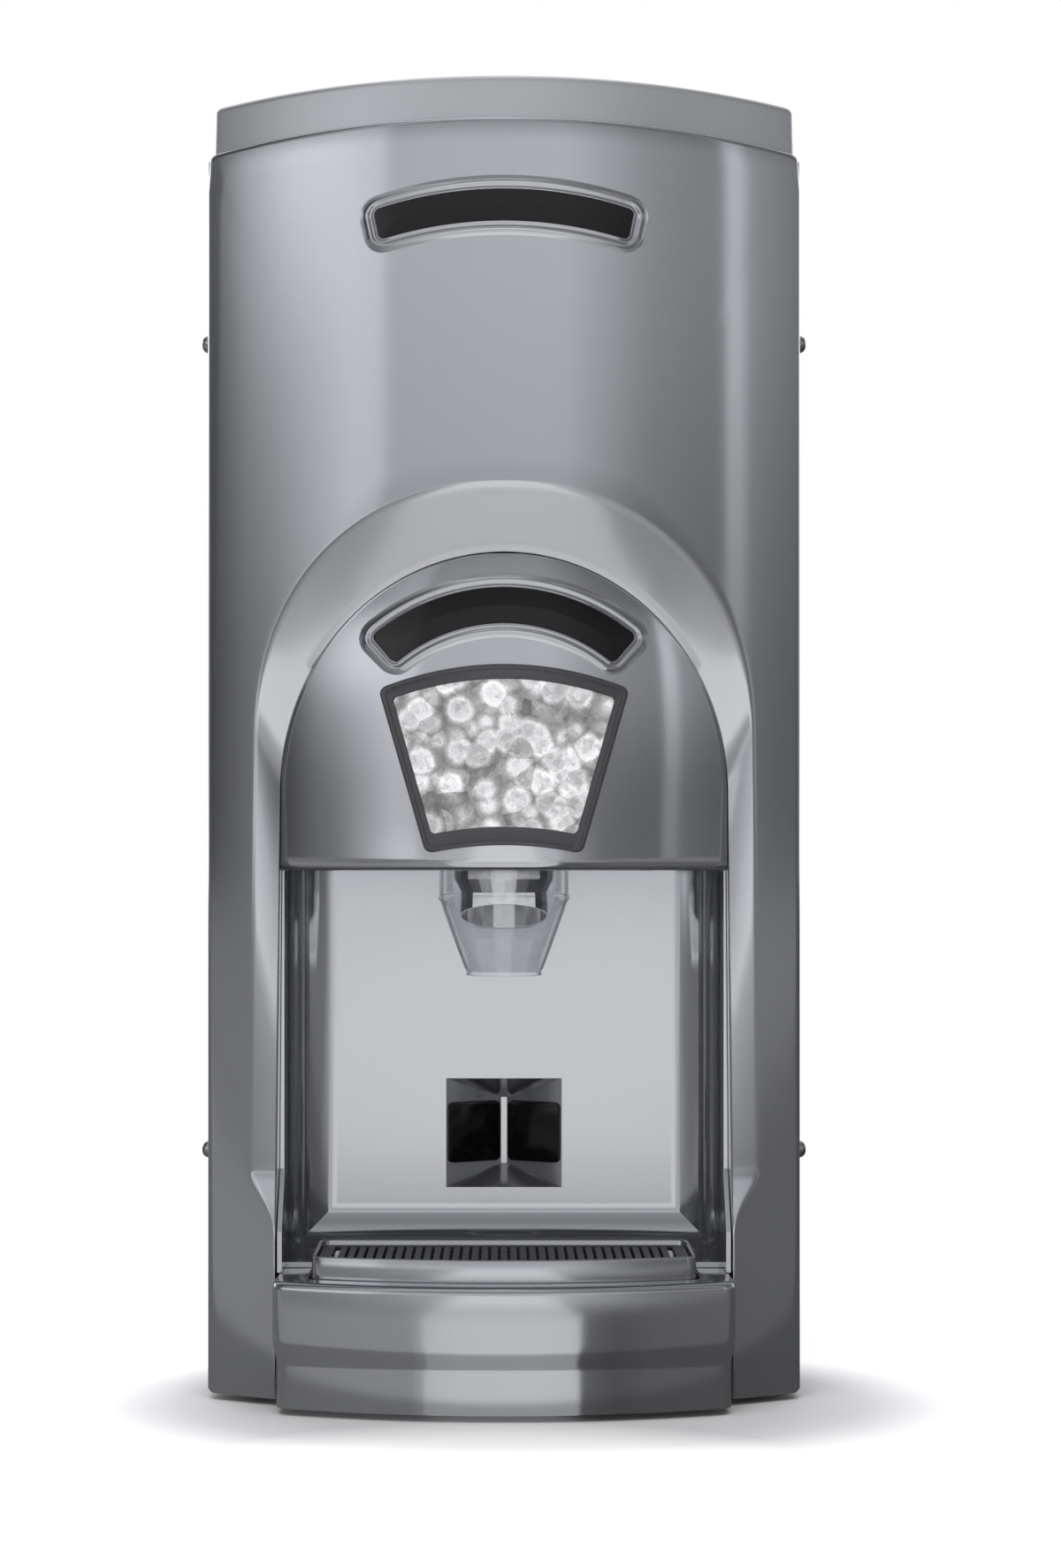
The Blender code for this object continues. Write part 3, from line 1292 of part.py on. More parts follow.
def fittings():
    """Two threaded stubs through the rear panel: water in, and drain out."""
    for name, x in (("water_inlet", WATER_INLET_X), ("drain_outlet", DRAIN_X)):
        flange_front = BACK_INNER - GAP - FITTING_FLANGE_THICKNESS
        profile = (
            (FITTING_RADIUS, CASE_BACK + FITTING_REACH),
            (FITTING_RADIUS, BACK_INNER - GAP),
            (FITTING_FLANGE, BACK_INNER - GAP),
            (FITTING_FLANGE, flange_front),
            (HOSE_RADIUS + HOSE_WALL, flange_front),
            (HOSE_RADIUS + HOSE_WALL, flange_front - FITTING_REACH / 2),
            (FITTING_BORE, flange_front - FITTING_REACH / 2),
            (FITTING_BORE, CASE_BACK + FITTING_REACH),
        )
        turned(name, profile, BRASS, (x, 0, FITTINGS_Z), (-math.pi / 2, 0, 0), steps=16)


def drain_hose():
    """A plain hose from under the tray's spigot to the drain stub."""
    spigot_y = (TRAY_FRONT + TRAY_BACK) / 2
    start_z = TRAY_FLOOR - DRAIN_SPIGOT_LENGTH - GAP
    end_y = BACK_INNER - GAP * 2 - FITTING_FLANGE_THICKNESS - FITTING_REACH / 2
    low_z = PAN_FLOOR + HOSE_RADIUS + FOLD * 2
    beside = COMPRESSOR_X + COMPRESSOR_RADIUS + HOSE_RADIUS + GAP * 3
    points = (
        (0, spigot_y, start_z),
        (0, spigot_y, start_z - DRAIN_SPIGOT_LENGTH / 2),
        (0, spigot_y, start_z - DRAIN_SPIGOT_LENGTH),
        (0, spigot_y + HOSE_RADIUS * 3, low_z + PAN_WALL),
        (beside / 2, SIDE_FRONT + PAN_WALL, low_z + PAN_WALL),
        (beside, SILL_BACK, low_z),
        (beside, 0, low_z),
        (beside, COMPRESSOR_Y, low_z),
        (beside, SHELF_BACK, low_z),
        (DRAIN_X, BARREL_Y, low_z + PAN_WALL / 2),
        (DRAIN_X, end_y - HOSE_RADIUS * 3, FITTINGS_Z),
        (DRAIN_X, end_y - HOSE_RADIUS, FITTINGS_Z),
        (DRAIN_X, end_y, FITTINGS_Z),
    )
    return tube("drain_hose", points, HOSE_RADIUS, RUBBER, steps=3)


def smooth_path(points, steps=4):
    """Points along a smooth curve through the given ones."""
    points = [Vector(point) for point in points]
    padded = [points[0] * 2 - points[1]] + points + [points[-1] * 2 - points[-2]]
    path = []
    for before, a, b, after in zip(padded, padded[1:], padded[2:], padded[3:]):
        for i in range(steps):
            t = i / steps
            path.append(
                a * (1 - t) ** 2 * (1 + 2 * t)
                + b * t**2 * (3 - 2 * t)
                + (b - before) / 2 * t * (1 - t) ** 2
                - (after - a) / 2 * t**2 * (1 - t)
            )
    return path + [points[-1]]


def tube(name, points, radius, finish, bore=0, steps=4):
    """A curve with round section and filled caps, made a mesh so that its bore can be cut."""
    path = smooth_path(points, steps)
    made = curve_mesh(name, path, radius)
    made.data.materials.append(finish)
    if bore:
        first = path[0] + (path[0] - path[1]).normalized() * OVERRUN
        last = path[-1] + (path[-1] - path[-2]).normalized() * OVERRUN
        other = curve_mesh(f"{name}_bore", [first, *path[1:-1], last], bore)
        PARTS.objects.unlink(other)
        CUTTERS.objects.link(other)
        other.hide_render = True
        other.display_type = "WIRE"
        cut_with(made, other)
    return made


def curve_mesh(name, path, radius):
    data = bpy.data.curves.new(name, "CURVE")
    data.dimensions = "3D"
    data.bevel_depth = radius
    data.bevel_resolution = 2
    data.use_fill_caps = True
    spline = data.splines.new("POLY")
    spline.points.add(len(path) - 1)
    for point, place in zip(spline.points, path):
        point.co = (*place, 1)
    drawn = bpy.data.objects.new(f"{name}_curve", data)
    PARTS.objects.link(drawn)
    graph = bpy.context.evaluated_depsgraph_get()
    mesh = bpy.data.meshes.new_from_object(drawn.evaluated_get(graph))
    bm = bmesh.new()
    bm.from_mesh(mesh)
    bmesh.ops.remove_doubles(bm, verts=bm.verts, dist=0.00001)
    bmesh.ops.recalc_face_normals(bm, faces=bm.faces)
    bm.to_mesh(mesh)
    bm.free()
    made = bpy.data.objects.new(name, mesh)
    made.matrix_world = drawn.matrix_world
    bpy.data.objects.remove(drawn, do_unlink=True)
    PARTS.objects.link(made)
    mesh.shade_smooth()
    return made


def bin_shelf():
    """A folded shelf between the side panels, under the ice bin, with a hole for the shaft."""
    half = SIDE_INNER - GAP * 2
    made = add_object(
        "bin_shelf",
        box((-half, SHELF_FRONT, SHELF_TOP - SHELF_FLANGE), (half, SHELF_BACK, SHELF_TOP)),
        ZINC_SHEET,
    )
    boolean(
        made,
        box(
            (-half + FOLD, SHELF_FRONT - OVERRUN, SHELF_TOP - SHELF_FLANGE - OVERRUN),
            (half - FOLD, SHELF_BACK + OVERRUN, SHELF_TOP - FOLD),
        ),
    )
    hole_top = SHELF_TOP + OVERRUN
    hole_low = SHELF_TOP - FOLD - OVERRUN
    boolean(made, rod((0, BIN_Y, hole_low), (0, BIN_Y, hole_top), SHAFT_RADIUS + GAP * 2))
    return made


def ice_bin():
    """The round bin, with the outlet port low in its front."""
    profile = (
        (BIN_RADIUS + BIN_RIM, BIN_TOP),
        (BIN_RADIUS + BIN_RIM, BIN_TOP - BIN_RIM),
        (BIN_RADIUS, BIN_TOP - BIN_RIM),
        (BIN_RADIUS, BIN_BOTTOM),
        (SHAFT_RADIUS + GAP, BIN_BOTTOM),
        (SHAFT_RADIUS + GAP, BIN_BOTTOM + BIN_FLOOR),
        (BIN_RADIUS - BIN_WALL, BIN_BOTTOM + BIN_FLOOR),
        (BIN_RADIUS - BIN_WALL, BIN_TOP),
    )
    made = turned("ice_bin", profile, WHITE_PLASTIC, (0, BIN_Y, 0), steps=32)
    return boolean(made, port_cutter())


def port_cutter():
    return box(
        (-PORT_HALF_WIDTH, BIN_Y - BIN_RADIUS - CHAMBER_WALL * 2, PORT_BOTTOM),
        (PORT_HALF_WIDTH, BIN_Y - BIN_RADIUS + BIN_WALL * 3, PORT_BOTTOM + PORT_HEIGHT),
    )


def outlet_chamber():
    """The housing on the bin's front, over the spout, with a saddle that fits the round wall."""
    half = CHAMBER_HALF_WIDTH
    block = box((-half, CHAMBER_FRONT, BIN_BOTTOM), (half, BIN_Y, CHAMBER_TOP))
    made = add_object("outlet_chamber", block, WHITE_PLASTIC)
    low, high = BIN_BOTTOM - OVERRUN, CHAMBER_TOP + OVERRUN
    boolean(made, rod((0, BIN_Y, low), (0, BIN_Y, high), BIN_RADIUS + GAP * 2, sides=64))
    hollow = box(
        (-half + CHAMBER_WALL, CHAMBER_FRONT + CHAMBER_WALL, BIN_BOTTOM + CHAMBER_WALL),
        (half - CHAMBER_WALL, BIN_Y - BIN_RADIUS - CHAMBER_WALL, CHAMBER_TOP - CHAMBER_WALL),
    )
    boolean(made, hollow)
    boolean(made, port_cutter())
    bore = SPOUT_RADIUS - SPOUT_WALL
    bore_high = BIN_BOTTOM + CHAMBER_WALL + OVERRUN
    boolean(made, rod((0, CHUTE_Y, low), (0, CHUTE_Y, bore_high), bore))
    reach = half + OVERRUN
    shaft_hole = FLAP_SHAFT_RADIUS + GAP
    boolean(
        made,
        rod((0, FLAP_HINGE_Y, FLAP_HINGE_Z), (reach, FLAP_HINGE_Y, FLAP_HINGE_Z), shaft_hole, sides=12),
    )
    return made


def bin_lid():
    """The domed lid of the bin, with the hole that the ice tube drops through."""
    radius = BIN_RADIUS + BIN_RIM
    plug = BIN_RADIUS - BIN_WALL - GAP * 2
    profile = (
        (0, LID_BOTTOM + LID_THICKNESS + LID_DOME),
        (radius / 2, LID_BOTTOM + LID_THICKNESS + LID_DOME / 2),
        (radius, LID_BOTTOM + LID_THICKNESS),
        (radius, LID_BOTTOM),
        (plug, LID_BOTTOM),
        (plug, LID_BOTTOM - LID_SKIRT),
        (0, LID_BOTTOM - LID_SKIRT),
    )
    made = turned("bin_lid", profile, WHITE_PLASTIC, (0, BIN_Y, 0), steps=32)
    hole = rod(
        (ICE_TUBE_END_X, ICE_TUBE_END_Y, LID_BOTTOM - LID_SKIRT - OVERRUN),
        (ICE_TUBE_END_X, ICE_TUBE_END_Y, LID_BOTTOM + LID_THICKNESS + LID_DOME + OVERRUN),
        ICE_TUBE_RADIUS + GAP * 3,
    )
    return boolean(made, hole)


def agitator():
    """The upright shaft with crossed arms that keeps the ice loose and sweeps it to the port."""
    gear_top = GEAR_Z + GEAR_WIDTH
    origin = (0, BIN_Y, 0)
    shapes = [
        rod((0, BIN_Y, GEAR_Z - COLLAR * 2), (0, BIN_Y, SHAFT_TOP), SHAFT_RADIUS),
        rod((0, BIN_Y, GEAR_Z - COLLAR - GAP), (0, BIN_Y, GEAR_Z - GAP), SHAFT_RADIUS + COLLAR),
        rod((0, BIN_Y, gear_top + GAP), (0, BIN_Y, gear_top + COLLAR), SHAFT_RADIUS + COLLAR),
    ]
    arms = 4
    for i in range(arms):
        angle = math.pi / arms * i
        z = AGITATOR_ARM_LOW_Z + AGITATOR_ARM_PITCH * i
        reach_x = AGITATOR_ARM_REACH * math.cos(angle)
        reach_y = AGITATOR_ARM_REACH * math.sin(angle)
        start = (-reach_x, BIN_Y - reach_y, z)
        end = (reach_x, BIN_Y + reach_y, z)
        shapes.append(rod(start, end, AGITATOR_ARM_RADIUS, sides=8))
    return joined("agitator", shapes, STEEL, origin)


def gear_outline(teeth, centre, turn):
    """A spur gear's outline with straight-flanked teeth, a little thin so that a pair runs free."""
    pitch_radius = GEAR_MODULE * teeth / 2
    add_share, foot_share = 0.85, 1.15
    root_share, tip_share = 0.36, 0.15
    outline = []
    for i in range(teeth):
        middle = turn + 2 * math.pi * i / teeth
        step = 2 * math.pi / teeth
        tip = pitch_radius + GEAR_MODULE * add_share
        root = pitch_radius - GEAR_MODULE * foot_share
        root_half = step * root_share - TOOTH_GAP / pitch_radius
        tip_half = step * tip_share
        for radius, angle in (
            (root, middle - root_half),
            (tip, middle - tip_half),
            (tip, middle + tip_half),
            (root, middle + root_half),
        ):
            outline.append((centre[0] + radius * math.cos(angle), centre[1] + radius * math.sin(angle)))
    return outline


def gears():
    """The large gear on the agitator's shaft and the motor's pinion, in mesh at rest."""
    gear = add_object(
        "drive_gear",
        prism(gear_outline(GEAR_TEETH, (0, BIN_Y), 0), GEAR_Z, GEAR_Z + GEAR_WIDTH),
        WHITE_PLASTIC,
        (0, BIN_Y, 0),
        smooth=False,
    )
    low, high = GEAR_Z - OVERRUN, GEAR_Z + GEAR_WIDTH + OVERRUN
    boolean(gear, rod((0, BIN_Y, low), (0, BIN_Y, high), SHAFT_RADIUS + GAP))
    half_tooth = math.pi / PINION_TEETH
    pinion = add_object(
        "motor_pinion",
        prism(
            gear_outline(PINION_TEETH, (MOTOR_X, BIN_Y), math.pi + half_tooth),
            GEAR_Z,
            GEAR_Z + GEAR_WIDTH,
        ),
        STEEL,
        (MOTOR_X, BIN_Y, 0),
        smooth=False,
    )
    hub = GEAR_MODULE * PINION_TEETH / 2 - GEAR_MODULE * 3
    top = GEAR_Z + GEAR_WIDTH + GAP
    boolean(pinion, rod((MOTOR_X, BIN_Y, low - GAP), (MOTOR_X, BIN_Y, GEAR_Z + GAP), hub), "UNION")
    boolean(
        pinion, rod((MOTOR_X, BIN_Y, low - OVERRUN), (MOTOR_X, BIN_Y, top), MOTOR_SHAFT_RADIUS + GAP)
    )


def agitator_motor():
    """The motor that turns the pinion, on a plate hung from the shelf by two posts."""
    plate_top = GEAR_Z - COLLAR * 2 - GAP * 2
    plate_low = plate_top - MOTOR_PLATE
    reach = MOTOR_RADIUS + COLLAR
    left = -SHAFT_RADIUS * 2
    shapes = [
        box((left, BIN_Y - reach, plate_low), (MOTOR_X + reach, BIN_Y + reach, plate_top)),
        rod(
            (MOTOR_X, BIN_Y, plate_low - MOTOR_LENGTH),
            (MOTOR_X, BIN_Y, plate_low + MOTOR_PLATE / 2),
            MOTOR_RADIUS,
        ),
        rod((MOTOR_X, BIN_Y, plate_low), (MOTOR_X, BIN_Y, GEAR_Z + GEAR_WIDTH), MOTOR_SHAFT_RADIUS),
    ]
    post_top = SHELF_TOP - FOLD - GAP
    x = MOTOR_X + reach - COLLAR
    for y in (BIN_Y - reach + COLLAR, BIN_Y + reach - COLLAR):
        start = (x, y, plate_low + MOTOR_PLATE / 2)
        shapes.append(rod(start, (x, y, post_top), COLLAR * 3 / 4, sides=12))
    return joined("agitator_motor", shapes, MOTOR_BLACK)


def outlet_flap():
    """The door over the bin's port, on a shaft that leaves the chamber to a lever."""
    half = PORT_HALF_WIDTH + GAP * 4
    back = FLAP_HINGE_Y + FLAP_SHAFT_RADIUS - GAP
    lever_end = FLAP_LEVER_X + FLAP_LEVER_WIDTH / 2
    shapes = [
        box(
            (-half, back - FLAP_THICKNESS, PORT_BOTTOM - GAP * 4),
            (half, back, FLAP_HINGE_Z),
        ),
        rod(
            (GAP - half, FLAP_HINGE_Y, FLAP_HINGE_Z),
            (lever_end, FLAP_HINGE_Y, FLAP_HINGE_Z),
            FLAP_SHAFT_RADIUS,
            sides=12,
        ),
        box(
            (
                FLAP_LEVER_X - FLAP_LEVER_WIDTH / 2,
                FLAP_HINGE_Y - FLAP_LEVER_LENGTH - FLAP_LEVER_DEPTH / 2,
                FLAP_HINGE_Z - FLAP_LEVER_DEPTH / 2,
            ),
            (
                lever_end + GAP * 2,
                FLAP_HINGE_Y + FLAP_LEVER_DEPTH / 2,
                FLAP_HINGE_Z + FLAP_LEVER_DEPTH / 2,
            ),
        ),
    ]
    return joined("outlet_flap", shapes, STEEL, (0, FLAP_HINGE_Y, FLAP_HINGE_Z))


def flap_solenoid():
    """The coil on the chamber's top that lifts the lever, and its plunger with a forked end."""
    x = FLAP_LEVER_X
    y = FLAP_HINGE_Y - FLAP_LEVER_LENGTH
    half = SOLENOID_SIZE / 2
    low = CHAMBER_TOP + SOLENOID_CLEAR
    bracket_low = CHAMBER_TOP + GAP
    bracket_back = x - half - FOLD
    shapes = [
        box((x - half, y - half, low), (x + half, y + half, low + SOLENOID_HEIGHT)),
        box(
            (bracket_back, y - half, bracket_low),
            (x - half + FOLD / 2, y + half, low + SOLENOID_HEIGHT),
        ),
        box(
            (bracket_back - half, y - half, bracket_low),
            (bracket_back + FOLD / 2, y + half, bracket_low + FOLD),
        ),
    ]
    made = joined("flap_solenoid", shapes, MOTOR_BLACK)
    top = low + SOLENOID_HEIGHT
    boolean(made, rod((x, y, low - OVERRUN), (x, y, top + OVERRUN), PLUNGER_RADIUS + GAP))
    fork_half = FLAP_LEVER_WIDTH / 2 + FORK_SIDE_GAP + FORK_CHEEK
    slot_half = FLAP_LEVER_WIDTH / 2 + FORK_SIDE_GAP
    fork_low = FLAP_HINGE_Z - FORK_DROP
    fork_top = FLAP_HINGE_Z + FORK_RISE
    fork = joined(
        "solenoid_plunger",
        [
            box(
                (x - fork_half, y - FORK_DEPTH / 2, fork_low),
                (x + fork_half, y + FORK_DEPTH / 2, fork_top),
            ),
            rod((x, y, fork_top - FORK_CHEEK), (x, y, fork_top + PLUNGER_LENGTH), PLUNGER_RADIUS),
        ],
        STEEL,
        (x, y, FLAP_HINGE_Z),
    )
    boolean(
        fork,
        box(
            (x - slot_half, y - FORK_DEPTH, fork_low - OVERRUN),
            (x + slot_half, y + FORK_DEPTH, fork_top - FORK_CHEEK),
        ),
    )
    pin_z = fork_low + FORK_PIN_RADIUS * 2
    boolean(
        fork,
        rod((x - fork_half + GAP, y, pin_z), (x + fork_half - GAP, y, pin_z), FORK_PIN_RADIUS, sides=10),
        "UNION",
    )
    return made


def at_barrel(x, y, z):
    return (BARREL_X + x, BARREL_Y + y, z)


def evaporator():
    """The insulated freezing barrel, with two refrigerant stubs on its front."""
    profile = (
        (BARREL_RADIUS, BARREL_TOP),
        (BARREL_RADIUS, BARREL_BOTTOM),
        (BARREL_BORE, BARREL_BOTTOM),
        (BARREL_BORE, BARREL_TOP),
    )
    made = turned("evaporator", profile, FOAM_BLACK, (BARREL_X, BARREL_Y, 0), steps=24)
    for z in (BARREL_BOTTOM + BARREL_RADIUS, BARREL_TOP - BARREL_RADIUS):
        stub = rod(
            at_barrel(0, -BARREL_BORE - FITTING_FLANGE_THICKNESS, z),
            at_barrel(0, -BARREL_RADIUS - FITTING_REACH / 2, z),
            MAKER_STUB_RADIUS / 2,
            sides=12,
        )
        boolean(made, stub, "UNION")
    return made


def auger():
    """The screw that scrapes ice up the barrel: a core with one unbroken flight."""
    low, high = BARREL_BOTTOM + AUGER_CLEAR, BARREL_TOP - AUGER_CLEAR
    core_low = BARREL_BOTTOM - AUGER_CLEAR * 2
    core = rod(at_barrel(0, 0, core_low), at_barrel(0, 0, high), AUGER_CORE)
    made = add_object("auger", core, STEEL, (BARREL_X, BARREL_Y, 0))
    run = high - low - AUGER_FLIGHT * 2
    turns = run / AUGER_PITCH
    steps = int(turns * 12)
    rings = []
    for i in range(steps + 1):
        angle = 2 * math.pi * turns * i / steps
        middle = low + AUGER_FLIGHT + run * i / steps
        ring = []
        for radius, drop in (
            (AUGER_CORE / 2, -AUGER_FLIGHT / 2),
            (AUGER_RADIUS, -AUGER_FLIGHT / 2),
            (AUGER_RADIUS, AUGER_FLIGHT / 2),
            (AUGER_CORE / 2, AUGER_FLIGHT / 2),
        ):
            ring.append(at_barrel(radius * math.cos(angle), radius * math.sin(angle), middle + drop))
        rings.append(ring)
    boolean(made, loft(rings), "UNION")
    return made


def auger_gearmotor():
    """The gearmotor under the barrel, standing on the base pan."""
    top = BARREL_BOTTOM - GAP
    can_top = top - GEARBOX_HEIGHT
    foot = PAN_FLOOR + GAP
    shapes = [
        rod(at_barrel(0, 0, can_top), at_barrel(0, 0, top), GEARBOX_RADIUS, sides=24),
        rod(at_barrel(0, 0, foot), at_barrel(0, 0, can_top + FOLD), MOTOR_CAN_RADIUS, sides=24),
        rod(at_barrel(0, 0, foot), at_barrel(0, 0, foot + COLLAR), GEARBOX_RADIUS, sides=24),
    ]
    made = joined("auger_gearmotor", shapes, MOTOR_BLACK)
    socket_low = BARREL_BOTTOM - AUGER_CLEAR * 3
    socket = rod(at_barrel(0, 0, socket_low), at_barrel(0, 0, top + OVERRUN), AUGER_CORE + GAP)
    return boolean(made, socket)


def nugget_head():
    """The extruding head on the barrel, with its side outlet into the ice tube."""
    low = BARREL_TOP + GAP
    bore = ICE_TUBE_RADIUS - ICE_TUBE_WALL
    profile = (
        (bore, low + HEAD_HEIGHT),
        (bore + ICE_TUBE_WALL, low + HEAD_HEIGHT),
        (HEAD_RADIUS, low + HEAD_HEIGHT * 3 / 4),
        (HEAD_RADIUS, low),
        (bore * 3 / 2, low),
        (bore, low + HEAD_HEIGHT / 2),
    )
    return turned("nugget_head", profile[1:] + profile[:1], STEEL, (BARREL_X, BARREL_Y, 0), steps=20)


def ice_tube():
    """The insulated tube that pushes the nuggets up from the head and down through the bin's lid."""
    start = BARREL_TOP + HEAD_HEIGHT + GAP * 2
    end = LID_BOTTOM - LID_SKIRT
    bend = ICE_TUBE_RADIUS * 3
    points = (
        at_barrel(0, 0, start),
        at_barrel(0, 0, start + bend),
        at_barrel(0, 0, ICE_TUBE_TOP - bend),
        at_barrel(bend / 9, -bend / 4, ICE_TUBE_TOP - bend / 4),
        at_barrel(bend / 3, -bend, ICE_TUBE_TOP),
        (ICE_TUBE_END_X, ICE_TUBE_END_Y + bend * 3 / 4, ICE_TUBE_TOP),
        (ICE_TUBE_END_X, ICE_TUBE_END_Y + bend / 6, ICE_TUBE_TOP - bend / 3),
        (ICE_TUBE_END_X, ICE_TUBE_END_Y, LID_BOTTOM + LID_THICKNESS + LID_DOME),
        (ICE_TUBE_END_X, ICE_TUBE_END_Y, LID_BOTTOM),
        (ICE_TUBE_END_X, ICE_TUBE_END_Y, end),
    )
    bore = ICE_TUBE_RADIUS - ICE_TUBE_WALL
    return tube("ice_tube", points, ICE_TUBE_RADIUS, FOAM_BLACK, bore=bore, steps=2)


def compressor():
    """The sealed compressor: a domed can on a foot plate, raised on feet."""
    foot_top = PAN_FLOOR + GAP + COMPRESSOR_FOOT
    plate_top = foot_top + COMPRESSOR_PLATE
    top = plate_top + COMPRESSOR_HEIGHT
    round_radius = COMPRESSOR_RADIUS / 2
    dome = [
        (
            COMPRESSOR_RADIUS - round_radius + round_radius * math.sin(a),
            top - round_radius + round_radius * math.cos(a),
        )
        for a in (math.pi / 6 * i for i in range(4))
    ]
    profile = [
        (0, top),
        *dome,
        (COMPRESSOR_RADIUS, plate_top + round_radius / 2),
        (COMPRESSOR_RADIUS - round_radius / 2, plate_top - GAP),
        (0, plate_top - GAP),
    ]
    made = turned("compressor", profile, MOTOR_BLACK, (COMPRESSOR_X, COMPRESSOR_Y, 0), steps=24)
    reach = COMPRESSOR_RADIUS
    plate = box(
        (COMPRESSOR_X - reach, COMPRESSOR_Y - reach, foot_top),
        (COMPRESSOR_X + reach, COMPRESSOR_Y + reach, plate_top),
    )
    boolean(made, plate, "UNION")
    for x in (-reach + COMPRESSOR_FOOT, reach - COMPRESSOR_FOOT):
        for y in (-reach + COMPRESSOR_FOOT, reach - COMPRESSOR_FOOT):
            foot = (COMPRESSOR_X + x, COMPRESSOR_Y + y, PAN_FLOOR + GAP)
            head = (COMPRESSOR_X + x, COMPRESSOR_Y + y, foot_top + COMPRESSOR_PLATE / 2)
            boolean(made, rod(foot, head, COMPRESSOR_FOOT / 2, sides=16), "UNION")
    stub_z = plate_top + COMPRESSOR_HEIGHT * 2 / 3
    stub = rod(
        (COMPRESSOR_X, COMPRESSOR_Y + reach / 2, stub_z),
        (COMPRESSOR_X, COMPRESSOR_Y + reach + FITTING_REACH / 2, stub_z),
        MAKER_STUB_RADIUS / 2,
        sides=12,
    )
    return boolean(made, stub, "UNION")


def condenser():
    """The finned condenser, standing on the pan just inside the louvres."""
    low = PAN_FLOOR + GAP
    back = CONDENSER_FRONT + CONDENSER_DEPTH
    outline = []
    x = CONDENSER_LEFT
    while x + CONDENSER_FIN + CONDENSER_FIN_GAP < CONDENSER_RIGHT:
        groove = x + CONDENSER_FIN
        outline += [
            (x, back),
            (groove, back),
            (groove, back - CONDENSER_FIN_DEPTH),
            (groove + CONDENSER_FIN_GAP - CONDENSER_FIN, back - CONDENSER_FIN_DEPTH),
        ]
        x = groove + CONDENSER_FIN_GAP - CONDENSER_FIN
    outline += [
        (x, back),
        (CONDENSER_RIGHT, back),
        (CONDENSER_RIGHT, CONDENSER_FRONT),
        (CONDENSER_LEFT, CONDENSER_FRONT),
    ]
    bm = prism(outline, low, low + CONDENSER_HEIGHT)
    return add_object("condenser", bm, ALUMINIUM, smooth=False)


def fan_shroud():
    """The plate with a round opening that guides air through the condenser."""
    low = PAN_FLOOR + GAP
    made = add_object(
        "fan_shroud",
        box(
            (CONDENSER_LEFT, SHROUD_FRONT, low),
            (CONDENSER_RIGHT, SHROUD_BACK, low + CONDENSER_HEIGHT),
        ),
        ZINC_SHEET,
    )
    hole = rod(
        (FAN_X, SHROUD_FRONT - OVERRUN, FAN_Z),
        (FAN_X, SHROUD_BACK + OVERRUN, FAN_Z),
        FAN_RADIUS + FAN_TIP_GAP,
        sides=32,
    )
    return boolean(made, hole)


def fan_motor():
    """The fan's motor, on two arms fixed to the shroud's front."""
    hub_front = SHROUD_FRONT - GAP * 4 - FAN_HUB_DEPTH
    front = hub_front - FAN_SHAFT_RADIUS - FAN_MOTOR_LENGTH
    back = front + FAN_MOTOR_LENGTH
    reach = FAN_RADIUS + FAN_TIP_GAP + FAN_ARM
    shapes = [
        rod((FAN_X, front, FAN_Z), (FAN_X, back, FAN_Z), FAN_MOTOR_RADIUS),
        rod((FAN_X, back - GAP * 4, FAN_Z), (FAN_X, SHROUD_FRONT - FAN_ARM, FAN_Z), FAN_SHAFT_RADIUS, sides=12),
        box(
            (FAN_X - reach, front, FAN_Z - FAN_ARM / 2),
            (FAN_X + reach, front + FAN_ARM, FAN_Z + FAN_ARM / 2),
        ),
    ]
    for side in (-1, 1):
        near = FAN_X + side * reach
        far = FAN_X + side * (reach - FAN_ARM / 2)
        shapes.append(
            box(
                (min(near, far), front, FAN_Z - FAN_ARM / 2),
                (max(near, far), SHROUD_FRONT - GAP, FAN_Z + FAN_ARM / 2),
            )
        )
    return joined("fan_motor", shapes, MOTOR_BLACK)


def fan_blade():
    """A hub with pitched blades, turning on the motor's shaft."""
    hub_back = SHROUD_FRONT - GAP * 4
    hub_front = hub_back - FAN_HUB_DEPTH
    hub = rod((FAN_X, hub_front, FAN_Z), (FAN_X, hub_back, FAN_Z), FAN_HUB)
    made = add_object("fan_blade", hub, ALUMINIUM, (FAN_X, 0, FAN_Z))
    middle = (hub_front + hub_back) / 2
    pitch = math.radians(28)
    half_chord = math.radians(24)
    half_depth = FAN_HUB_DEPTH / 2 - FAN_BLADE_THICKNESS
    for i in range(FAN_BLADES):
        angle = 2 * math.pi * i / FAN_BLADES
        rings = []
        for radius in (FAN_HUB * 3 / 4, FAN_RADIUS / 2, FAN_RADIUS):
            ring = []
            for side, skin in ((-1, -1), (1, -1), (1, 1), (-1, 1)):
                spread = angle + side * half_chord * (FAN_HUB * 3 / 4 + radius) / (radius * 2)
                depth = middle + side * half_depth * math.sin(pitch) * 2 + skin * FAN_BLADE_THICKNESS / 2
                ring.append((FAN_X + radius * math.cos(spread), depth, FAN_Z + radius * math.sin(spread)))
            rings.append(ring)
        boolean(made, loft(rings), "UNION")
    bore_front = hub_front - OVERRUN
    bore = rod(
        (FAN_X, bore_front, FAN_Z), (FAN_X, SHROUD_FRONT - FAN_ARM + GAP, FAN_Z), FAN_SHAFT_RADIUS + GAP
    )
    return boolean(made, bore)


